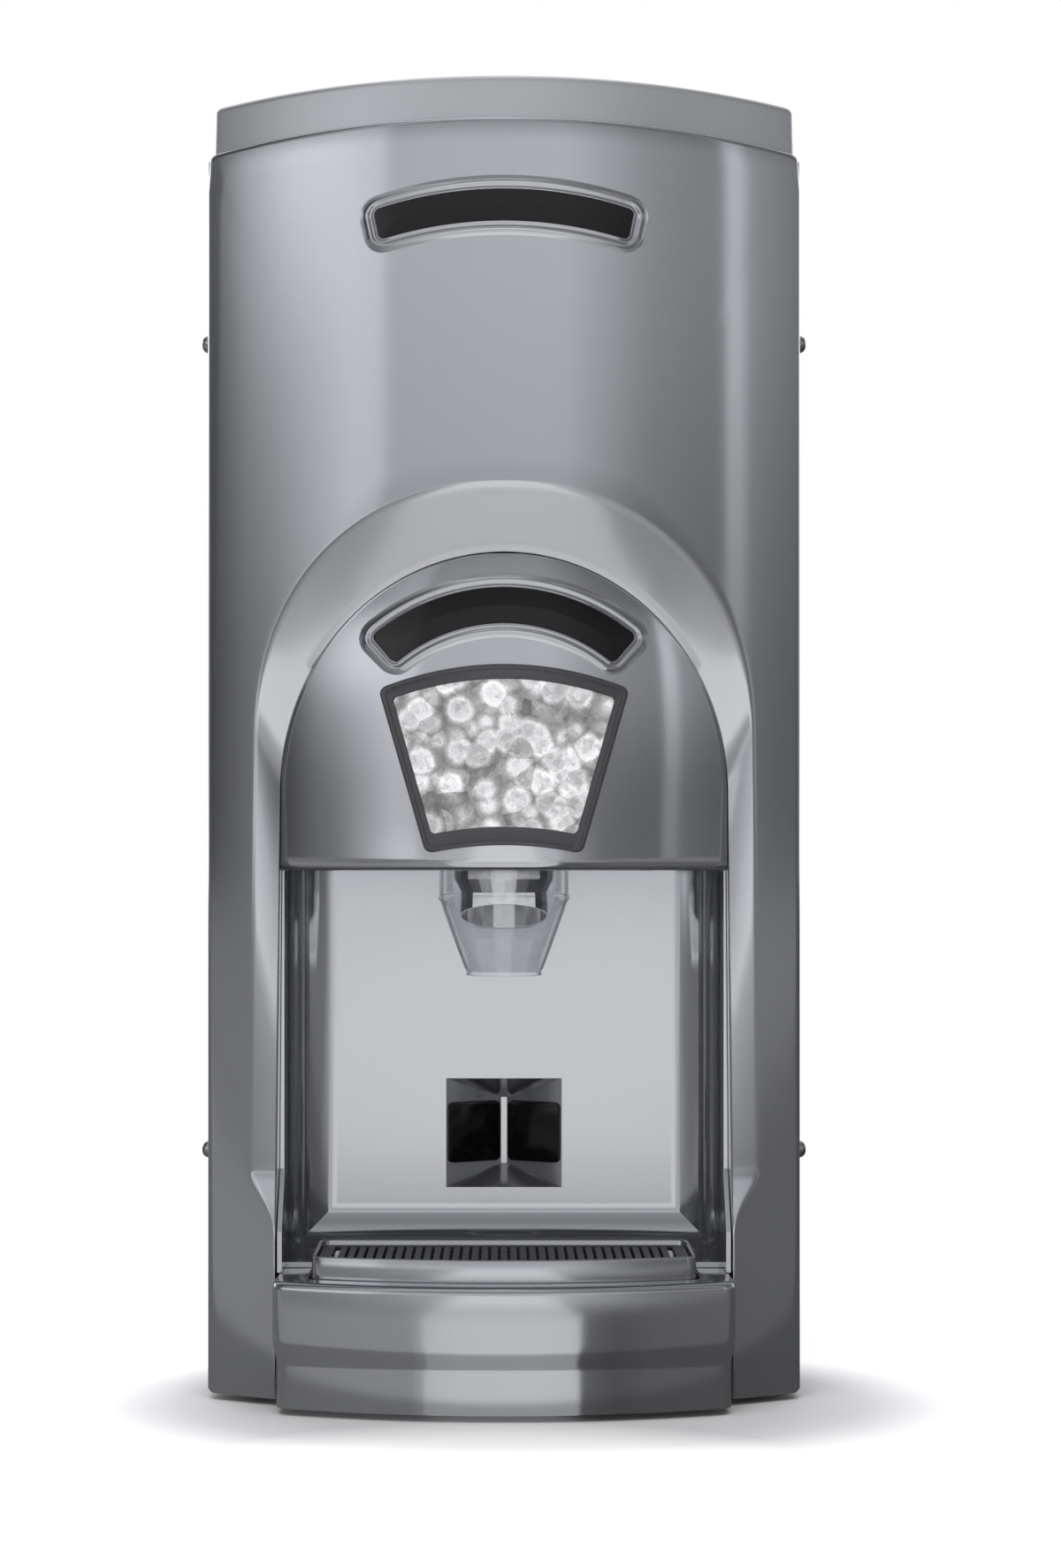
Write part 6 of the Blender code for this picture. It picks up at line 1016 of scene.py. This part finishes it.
def bowed_ring(z, front, half_width, back, corner, back_corner):
    """A level ring: bowed front, straight sides and back, rounded corners."""
    radius = BOW_CENTRE - front
    corner_x = half_width - corner
    corner_y = BOW_CENTRE - math.sqrt((radius - corner) ** 2 - corner_x**2)
    touch = math.atan2(corner_y - BOW_CENTRE, corner_x)
    turns = [touch * (1 - i / CORNER_STEPS) for i in range(CORNER_STEPS + 1)]
    half = [about((corner_x, corner_y), corner, turn) for turn in turns]
    back_centre = (half_width - back_corner, back - back_corner)
    half += [about(back_centre, back_corner, turn) for turn in quarter(CORNER_STEPS)]
    points = []
    for i in range(1, BOW_STEPS):
        turn = -math.pi - touch + (touch * 2 + math.pi) * i / BOW_STEPS
        points.append(about((0, BOW_CENTRE), radius, turn))
    return [(x, y, z) for x, y in points + half + [(-x, y) for x, y in reversed(half)]]


SILL_FRONT = -0.2915
SILL_HALF_WIDTH = 0.1327
SILL_BACK = -0.2065
SILL_ROUND = 0.0045
WELL_ROUND = 0.0015
WELL_FLOOR = 0.0602
levels = [
    (0.0045, 0.004), (0.0040, 0.0045), (0.0040, 0.0285), (0.0039, 0.0300), (0.0034, 0.0318),
    (0.0023, 0.0343), (0.0013, 0.0372), (0.0005, 0.0400), (0.0001, 0.0425), (0, 0.0440),
]
for turn in quarter(6):
    levels.append((SILL_ROUND * (1 - math.cos(turn)), SILL_TOP - SILL_ROUND * (1 - math.sin(turn))))
sill_rows = []
for step, z in levels:
    plan = (SILL_FRONT + step, SILL_HALF_WIDTH - step / 2, SILL_BACK)
    sill_rows.append(bowed_ring(z, *plan, 0.010, 0.002))
well_levels = [(0.002, SILL_TOP, 0.012)]
for turn in quarter(3):
    fall = WELL_ROUND * (1 - math.cos(turn))
    well_levels.append((WELL_ROUND * (1 - math.sin(turn)), SILL_TOP - fall, 0.010))
well_levels.append((0, WELL_FLOOR, 0.010))
for out, z, corner in well_levels:
    well_front = TRAY_FRONT - TRAY_SEAT - out
    sill_rows.append(bowed_ring(z, well_front, well_half + out, SILL_BACK - 0.001, corner, 0.002))
sill = add_piece("sill_moulding", of_rings(sill_rows, "filled"), GREY_GLOSS, 40)
hand_over(sill, "case", "grey_gloss_plastic", "sill")


# The drip tray lifts out of the sill. It is a bowed dish with a rounded rim,
# and a spigot under its floor that drains it.
TRAY_FLOOR = 0.0605
TRAY_WALL = 0.0022
rim = TRAY_WALL / 2
profile = [(0.002, TRAY_FLOOR), (0.0003, TRAY_FLOOR + 0.0006), (0, TRAY_FLOOR + 0.002)]
for k in range(9):
    turn = k / 8 * math.pi
    profile.append((rim - rim * math.cos(turn), TRAY_TOP - rim + rim * math.sin(turn)))
profile += [
    (TRAY_WALL, TRAY_FLOOR + 0.006), (TRAY_WALL + 0.001, TRAY_FLOOR + 0.0035), (0.0058, TRAY_FLOOR + 0.0023)
]
tray_rows = []
for inset, z in profile:
    less = min(inset, 0.004) / 2
    plan = (TRAY_FRONT + inset, TRAY_HALF_WIDTH - inset, TRAY_BACK - inset)
    tray_rows.append(bowed_ring(z, *plan, 0.009 - less, 0.006 - less))
tray = add_piece("drip_tray_dish", of_rings(tray_rows, "filled"), GREY_GLOSS, 40)
spigot_y = (TRAY_FRONT + TRAY_BACK) / 2
for below, above, radius, operation in ((0.010, 0.001, 0.008, "UNION"), (0.02, 0.01, 0.006, "DIFFERENCE")):
    spigot = round_bar((0, spigot_y, TRAY_FLOOR - below), (0, spigot_y, TRAY_FLOOR + above), radius)
    cut(tray, spigot, operation)
hand_over(shade(tray, 40), "tray", "grey_gloss_plastic", "drip_tray")


# The cover is one crowned lid over the whole case. Its satin skirt follows the
# front's bow and turns over a soft edge; it lifts straight off.
COVER_FRONT = -0.2495
COVER_HALF_WIDTH = 0.1724
COVER_TOP = 0.772
COVER_TOP_DROP = 0.0062
COVER_CROWN = 0.010
COVER_WALL = 0.003
COVER_CORNER = 0.006
COVER_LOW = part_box("top_cover")[0].z
COVER_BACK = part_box("top_cover")[1].y
COVER_EDGE = 0.0042
COVER_TAPER = 0.0008
cover_rows = []
for inset, share, turn in [(0, 0, 0.0)] + [(COVER_TAPER, 1, turn) for turn in quarter(8)]:
    step = inset + COVER_EDGE * (1 - math.cos(turn))
    plan = (COVER_FRONT + step, COVER_HALF_WIDTH - step, COVER_BACK - step)
    row = []
    for x, y, _ in bowed_ring(0, *plan, COVER_CORNER, COVER_CORNER):
        top = COVER_TOP - COVER_TOP_DROP * (x / COVER_HALF_WIDTH) ** 2
        z = COVER_LOW + (top - COVER_EDGE - COVER_LOW) * share
        row.append((x, y, z + COVER_EDGE * math.sin(turn)))
    cover_rows.append(row)
middle_y, half_depth = (COVER_FRONT + COVER_BACK) / 2, (COVER_BACK - COVER_FRONT) / 2
rim_row = cover_rows[-1]
for share in (0.985, 0.96, 0.92, 0.86, 0.78, 0.68, 0.56, 0.42, 0.28, 0.14, 0.04):
    row = []
    for rim_x, rim_y, rim_z in rim_row:
        x = rim_x * share
        y = middle_y + (rim_y - middle_y) * share
        dome = (1 - (x / COVER_HALF_WIDTH) ** 2) * (1 - ((y - middle_y) / half_depth) ** 2)
        arch = rim_z + COVER_TOP_DROP * (rim_x**2 - x**2) / COVER_HALF_WIDTH**2
        row.append((x, y, arch + COVER_CROWN * 0.98 * dome * (1 - share**6)))
    cover_rows.append(row)
bm = bmesh.new()
bm.faces.new(skin(bm, cover_rows, loop=True)[-1])
cover = add_piece("cover_lid", outward(bm, 2, 1), GREY_SATIN, 45, recalculate=False)
thicken(cover, COVER_WALL, 45)
hand_over(cover, "cover", "grey_satin_plastic", "top_cover")


# The drip grille is a black slotted plate on four legs that stand on the tray's floor.
# It is a bowed frame with bars across it, moulded in one, and it lifts out.
def turned(profile, sides=48):
    """A closed round shape from its half outline, whose first and last points lie on its axis."""
    bm = bmesh.new()
    turns = [k / sides * math.tau for k in range(sides)]
    rows = [[(*about((0, 0), radius, turn), z) for turn in turns] for radius, z in profile[1:-1]]
    grid = skin(bm, rows, loop=True)
    for z, ring in ((profile[0][1], grid[0]), (profile[-1][1], grid[-1])):
        middle = bm.verts.new((0, 0, z))
        for k in range(sides):
            bm.faces.new((middle, ring[k], ring[(k + 1) % sides]))
    return bm


def layout_group(name, inputs):
    """A geometry node group with named inputs; returns it, its graph and its given values."""
    group = bpy.data.node_groups.new(name, "GeometryNodeTree")
    for title, kind in {"Geometry": "NodeSocketGeometry", **inputs}.items():
        group.interface.new_socket(title, in_out="INPUT", socket_type=kind)
    group.interface.new_socket("Geometry", in_out="OUTPUT", socket_type="NodeSocketGeometry")
    graph = Graph(group)
    return group, graph, graph.add("NodeGroupInput").outputs


def lay_out(name, data, group, graph, laid, part, finish, values):
    """Puts copies of a part on points, makes them real, and turns the result into plain faces."""
    source = graph.add("GeometryNodeObjectInfo", {"Object": part}).outputs["Geometry"]
    graph.feed(laid.inputs["Instance"], source)
    real = graph.add("GeometryNodeRealizeInstances", {"Geometry": laid.outputs["Instances"]})
    coloured_inputs = {"Geometry": real.outputs["Geometry"], "Material": finish}
    coloured = graph.add("GeometryNodeSetMaterial", coloured_inputs)
    graph.add("NodeGroupOutput", {"Geometry": coloured.outputs["Geometry"]})
    made = bpy.data.objects.new(name, data)
    scene.collection.objects.link(made)
    work = made.modifiers.new("layout", "NODES")
    work.node_group = group
    for item in group.interface.items_tree:
        if item.in_out == "INPUT" and item.name in values:
            work[item.identifier] = values[item.name]
    apply_modifiers(made)
    bpy.data.objects.remove(part)
    return shade(made)


def row_of(name, part, finish, start, step, count, title, reach_to=None):
    """A row of copies; with reach_to, each copy is stretched back from there to the bow of the front."""
    count_name, start_name, pitch_name = title + " Count", title + " Start", title + " Pitch"
    kinds = {count_name: "NodeSocketInt", start_name: "NodeSocketVector", pitch_name: "NodeSocketVector"}
    group, graph, given = layout_group(name, kinds)
    ends = {"Count": given[count_name], "Start Location": given[start_name], "Offset": given[pitch_name]}
    line = graph.add("GeometryNodeMeshLine", ends, mode="OFFSET")
    laid = graph.add("GeometryNodeInstanceOnPoints", {"Points": line.outputs["Mesh"]})
    if reach_to is not None:
        back, front = reach_to
        x, y, z = graph.axes(graph.add("GeometryNodeInputPosition").outputs[0])
        minus_square = graph.math("MULTIPLY", graph.math("MULTIPLY", x, x), -1)
        under = graph.math("ADD", minus_square, (BOW_CENTRE - front) ** 2)
        reach = graph.math("ADD", graph.math("SQRT", under), back - BOW_CENTRE)
        size = graph.add("ShaderNodeCombineXYZ", {"X": 1, "Y": reach, "Z": 1})
        graph.feed(laid.inputs["Scale"], size.outputs[0])
    values = {count_name: count, start_name: start, pitch_name: step}
    return lay_out(name, bpy.data.meshes.new(name), group, graph, laid, part, finish, values)


def copies_at(name, part, finish, places, title, turned_out=False):
    """Copies at given places; turned_out points each one's upper side away from the middle plane."""
    data = bpy.data.meshes.new(name)
    data.from_pydata(places, [], [])
    size_name = title + " Size"
    group, graph, given = layout_group(name, {size_name: "NodeSocketFloat"})
    placed = {"Points": given["Geometry"], "Scale": given[size_name]}
    laid = graph.add("GeometryNodeInstanceOnPoints", placed)
    if turned_out:
        x, y, z = graph.axes(graph.add("GeometryNodeInputPosition").outputs[0])
        tip = graph.math("MULTIPLY", graph.math("SIGN", x), math.pi / 2)
        graph.feed(laid.inputs["Rotation"], graph.add("ShaderNodeCombineXYZ", {"Y": tip}).outputs[0])
    return lay_out(name, data, group, graph, laid, part, finish, {size_name: 1.0})


BLACK_SATIN = plain_finish("black_satin_plastic", (0.030, 0.030, 0.032), 0.42, depth=0.04, level=0.4)
GRILLE_TOP = 0.087
GRILLE_LOW = 0.0845
GRILLE_BORDER = 0.0075
GRILLE_PITCH = 0.0056
GRILLE_ROUND = 0.0006
GRILLE_INSET = TRAY_WALL + 2 * GAP
BAR_HALF_WIDTH = 0.0020
RIB_HALF_LENGTH = 0.098
RIB_HALF_WIDTH = 0.001
RIB_FIRST_Y = -0.2460
RIB_PITCH = 0.0200
RIB_COUNT = 4
LEG_LOW = 0.0630
frame_rows = []
for inset, z in (
    (0, GRILLE_LOW), (0, GRILLE_TOP - GRILLE_ROUND), (GRILLE_ROUND, GRILLE_TOP),
    (GRILLE_BORDER - GRILLE_ROUND, GRILLE_TOP), (GRILLE_BORDER, GRILLE_TOP - GRILLE_ROUND),
    (GRILLE_BORDER, GRILLE_LOW),
):
    edge = GRILLE_INSET + inset
    plan = (TRAY_FRONT + edge, TRAY_HALF_WIDTH - edge, TRAY_BACK - edge)
    frame_rows.append(bowed_ring(z, *plan, 0.0085 - inset / 2, 0.005 - inset / 3))
grille_frame = add_piece("grille_frame", of_rings(frame_rows), BLACK_SATIN, 40)
hand_over(grille_frame, "grille", "black_plastic", "drip_grille")
bm = block((-BAR_HALF_WIDTH, -1, GRILLE_LOW + 0.0001), (BAR_HALF_WIDTH, 0, GRILLE_TOP - 0.0002))
bar_part = add_piece("bar_part", round_edges(bm, 0.0005, 2), BLACK_SATIN)
half_count = int((TRAY_HALF_WIDTH - GRILLE_BORDER - GRILLE_INSET - 0.002) / GRILLE_PITCH)
bar_ends = (TRAY_BACK - GRILLE_INSET - GRILLE_BORDER / 2, TRAY_FRONT + GRILLE_INSET + GRILLE_BORDER / 2)
first_bar, bar_step = (-half_count * GRILLE_PITCH, bar_ends[0], 0), (GRILLE_PITCH, 0, 0)
bars = row_of(
    "grille_bars", bar_part, BLACK_SATIN, first_bar, bar_step, 2 * half_count + 1, "Bar", bar_ends
)
hand_over(bars, "grille", "black_plastic")
low_corner = (-RIB_HALF_LENGTH, -RIB_HALF_WIDTH, GRILLE_LOW - 0.0060)
bm = block(low_corner, (RIB_HALF_LENGTH, RIB_HALF_WIDTH, GRILLE_LOW + 0.0006))
rib_part = add_piece("rib_part", round_edges(bm, 0.0004, 2), BLACK_SATIN)
ribs = row_of(
    "grille_ribs", rib_part, BLACK_SATIN, (0, RIB_FIRST_Y, 0), (0, RIB_PITCH, 0), RIB_COUNT, "Rib"
)
hand_over(ribs, "grille", "black_plastic")
leg_top = GRILLE_LOW + 0.0004
leg_profile = ((0, LEG_LOW), (0.0020, LEG_LOW), (0.0024, LEG_LOW + 0.0004), (0.0026, leg_top), (0, leg_top))
leg_part = add_piece("leg_part", turned(leg_profile, 24), BLACK_SATIN)
leg_x = TRAY_HALF_WIDTH - GRILLE_INSET - GRILLE_BORDER / 2
leg_rows = (TRAY_BACK - 0.0085, bow(leg_x, TRAY_FRONT) + 0.0095)
legs = copies_at(
    "grille_legs", leg_part, BLACK_SATIN, [(x, y, 0) for x in (-leg_x, leg_x) for y in leg_rows], "Leg"
)
hand_over(legs, "grille", "black_plastic")


# Four screws hold the front's side edges to the case: round heads with a cross recess.
# Four turned rubber feet are pushed into the base pan.
PLATED_STEEL = plain_finish("plated_steel", (0.50, 0.50, 0.51), 0.24, 1.0, depth=0.01)
RUBBER = plain_finish("foot_rubber", (0.02, 0.02, 0.02), 0.7, scale=900)
SCREW_HEAD_RADIUS = 0.00525
SCREW_HEAD_HEIGHT = 0.0050
SCREW_HEAD_RIM = 0.0006
SCREW_Y = -0.19295
SCREW_HEIGHTS = (0.14615, 0.62570)
head = [
    (0, -0.0095), (0.0017, -0.0095), (0.0019, -0.009), (0.0019, GAP),
    (SCREW_HEAD_RADIUS - 0.0002, GAP), (SCREW_HEAD_RADIUS, SCREW_HEAD_RIM),
]
for k in range(1, 10):
    turn = k / 10 * math.pi / 2
    rise = (SCREW_HEAD_HEIGHT - SCREW_HEAD_RIM) * math.sin(turn)
    head.append((SCREW_HEAD_RADIUS * math.cos(turn) ** 0.8, SCREW_HEAD_RIM + rise))
screw_part = add_piece("screw_part", turned([*head, (0, SCREW_HEAD_HEIGHT)], 40), PLATED_STEEL)
for reach_x, reach_y in ((0.0024, 0.00055), (0.00055, 0.0024)):
    cut(screw_part, block((-reach_x, -reach_y, 0.0030), (reach_x, reach_y, 0.0070)))
screw_places = [(side * CASE_HALF_WIDTH, SCREW_Y, z) for side in (-1, 1) for z in SCREW_HEIGHTS]
screws = copies_at("side_screws", screw_part, PLATED_STEEL, screw_places, "Head", True)
hand_over(
    screws, "case", "steel", "side_screw_lower_left", "side_screw_upper_left",
    "side_screw_lower_right", "side_screw_upper_right",
)
FOOT_RADIUS = 0.01365
FOOT_TOP = 0.0060
FOOT_X = 0.140
FOOT_ROWS = (-0.16495, 0.24)
foot_profile = (
    (0, 0.0016), (0.0045, 0.0016), (0.0052, 0.0006), (0.0060, 0), (FOOT_RADIUS - 0.0022, 0),
    (FOOT_RADIUS - 0.0012, 0.0005), (FOOT_RADIUS - 0.0004, 0.0016), (FOOT_RADIUS, 0.0034),
    (FOOT_RADIUS, 0.0050), (FOOT_RADIUS - 0.0004, 0.0057), (FOOT_RADIUS - 0.0010, FOOT_TOP), (0, FOOT_TOP),
)
foot_part = add_piece("foot_part", turned(foot_profile), RUBBER)
foot_places = [(x, y, 0) for x in (-FOOT_X, FOOT_X) for y in FOOT_ROWS]
feet = copies_at("feet", foot_part, RUBBER, foot_places, "Foot")
hand_over(feet, "case", "rubber", "foot_front_left", "foot_front_right", "foot_rear_left", "foot_rear_right")


# The back is one zinc-plated sheet with pressed louvres behind the condenser. Openings let
# the power inlet, the switch and the two pipe stubs through.
ZINC_SHEET = plain_finish("zinc_sheet", (0.5, 0.51, 0.52), 0.42, 0.9, 120)
BACK_INNER = 0.2720
CASE_BACK = 0.2735
BACK_LOW, BACK_HIGH = 0.010, 0.732
LOUVRE_LEFT = -0.005
LOUVRE_RIGHT = 0.153
LOUVRE_BOTTOM = 0.050
LOUVRE_PITCH = 0.018
LOUVRE_SLOT = 0.007
LOUVRE_COUNT = 8
LOUVRE_PROUD = 0.0048
INLET_OPENING = (0.1032, 0.1428, 0.4587, 0.4913)
SWITCH_OPENING = (0.1112, 0.1348, 0.5242, 0.5558)
PIPE_PLACES = (-0.135, -0.040)
PIPE_Z = 0.062
PIPE_HOLE_RADIUS = 0.0163
bm = block((-CASE_HALF_WIDTH, BACK_INNER, BACK_LOW), (CASE_HALF_WIDTH, CASE_BACK, BACK_HIGH))
rear = add_piece("rear_sheet", round_edges(bm, 0.0004, 2), ZINC_SHEET)
before, behind = BACK_INNER - 0.01, CASE_BACK + 0.01
openings = []
for k in range(LOUVRE_COUNT):
    z = LOUVRE_BOTTOM + LOUVRE_PITCH * k
    openings.append((LOUVRE_LEFT, LOUVRE_RIGHT, z, z + LOUVRE_SLOT))
for low_x, high_x, low_z, high_z in (*openings, INLET_OPENING, SWITCH_OPENING):
    cut(rear, block((low_x, before, low_z), (high_x, behind, high_z)))
for x in PIPE_PLACES:
    cut(rear, round_bar((x, before, PIPE_Z), (x, behind, PIPE_Z), PIPE_HOLE_RADIUS, 64))
hand_over(shade(rear), "case", "zinc_sheet", "rear_panel")
louvre_rows = []
middle_x = (LOUVRE_LEFT + LOUVRE_RIGHT) / 2
half_x = (LOUVRE_RIGHT - LOUVRE_LEFT) / 2 + 0.0012
for k in range(49):
    along = math.sin((k / 48 - 0.5) * math.pi)
    outer_depth = LOUVRE_PROUD * max(0, 1 - abs(along) ** 24) ** 0.5 + 0.0002
    inner_depth = max(outer_depth - 0.0010, 0.0001)
    row = []
    for depth, height, turns in (
        (outer_depth, 0.0105, quarter(8)),
        (inner_depth, 0.0095, reversed(quarter(8))),
    ):
        for turn in turns:
            y = CASE_BACK - 0.0001 + depth * math.cos(turn)
            row.append((middle_x + half_x * along, y, 0.0004 + height * math.sin(turn)))
    louvre_rows.append(row)
louvre_part = add_piece("louvre_part", of_rings(louvre_rows, "filled"), ZINC_SHEET)
first_louvre, louvre_step = (0, 0, LOUVRE_BOTTOM), (0, 0, LOUVRE_PITCH)
louvres = row_of(
    "rear_louvres", louvre_part, ZINC_SHEET, first_louvre, louvre_step, LOUVRE_COUNT, "Louvre"
)
hand_over(louvres, "case", "zinc_sheet")


# The condenser stands just inside the louvres: thin aluminium fins on rows of copper tube,
# between two end plates that are screwed to the base pan.
ALUMINIUM = plain_finish("fin_aluminium", (0.66, 0.67, 0.69), 0.34, 1.0)
COPPER = plain_finish("copper_tube", (0.72, 0.36, 0.20), 0.26, 1.0, depth=0.02)
LOW_X, LOW_Y, LOW_Z = (-0.012, 0.215, 0.0081)
HIGH_X, HIGH_Y, HIGH_Z = (0.160, 0.253, 0.1781)
FIN_PITCH = 0.0026
FIN = 0.00035
FIN_MARGIN = 0.004
END_PLATE = 0.0015
TUBE_ROWS = (0.2245, 0.2435)
TUBE_RADIUS = 0.0035
TUBE_LOW = 0.020
TUBE_PITCH = 0.021
TUBE_COUNT = 8
fin = block((0, LOW_Y + 0.001, LOW_Z + 0.002), (FIN, HIGH_Y - 0.001, HIGH_Z - 0.002))
fin_part = add_piece("fin_part", fin, ALUMINIUM)
fin_first = LOW_X + END_PLATE + FIN_MARGIN
fin_count = int((HIGH_X - END_PLATE - FIN_MARGIN - fin_first) / FIN_PITCH) + 1
fins = row_of("condenser_fins", fin_part, ALUMINIUM, (fin_first, 0, 0), (FIN_PITCH, 0, 0), fin_count, "Fin")
hand_over(fins, "case", "aluminium", "condenser")
for index, x in enumerate((LOW_X, HIGH_X - END_PLATE)):
    bm = round_edges(block((x, LOW_Y, LOW_Z), (x + END_PLATE, HIGH_Y, HIGH_Z)), 0.0004, 2)
    plate = add_piece(f"condenser_end_{index + 1}", bm, ZINC_SHEET)
    hand_over(plate, "case", "zinc_sheet")
for index, y in enumerate(TUBE_ROWS):
    tube = round_bar((LOW_X - 0.0005, y, 0), (HIGH_X - 0.0004, y, 0), TUBE_RADIUS, 24)
    tube_part = add_piece("tube_part", tube, COPPER)
    name = f"condenser_tubes_{index + 1}"
    tubes = row_of(name, tube_part, COPPER, (0, 0, TUBE_LOW), (0, 0, TUBE_PITCH), TUBE_COUNT, "Tube")
    hand_over(tubes, "case", "aluminium")


# Carried pieces get their finishes.
finishes = {
    "grey_gloss_plastic": GREY_GLOSS,
    "grey_satin_plastic": GREY_SATIN,
    "black_plastic": BLACK_GLOSS,
    "dark_grey_plastic": DARK_GREY,
    "picture_pale": ICE_PICTURE,
    "clear_plastic": CLEAR_PLASTIC,
    "steel": plain_finish("steel", (0.62, 0.62, 0.64), 0.2, 1.0, depth=0.01),
    "zinc_sheet": ZINC_SHEET,
    "rubber": plain_finish("rubber", (0.02, 0.02, 0.02), 0.75),
    "white_plastic": plain_finish("white_plastic", (0.75, 0.76, 0.75), 0.45),
    "foam_black": plain_finish("foam_black", (0.03, 0.03, 0.032), 0.85, depth=0.4),
    "brass": plain_finish("brass", (0.6, 0.42, 0.17), 0.3, 1.0),
    "aluminium": plain_finish("aluminium", (0.62, 0.63, 0.65), 0.38, 1.0),
    "motor_black": plain_finish("motor_black", (0.02, 0.02, 0.022), 0.4),
    "board_green": plain_finish("board_green", (0.02, 0.12, 0.05), 0.45),
}
for entry in frame["record"]["subparts"]:
    carried = frame["nodes"][entry["node"]]
    carried.data.materials.clear()
    carried.data.materials.append(finishes[entry["material_slot"]])
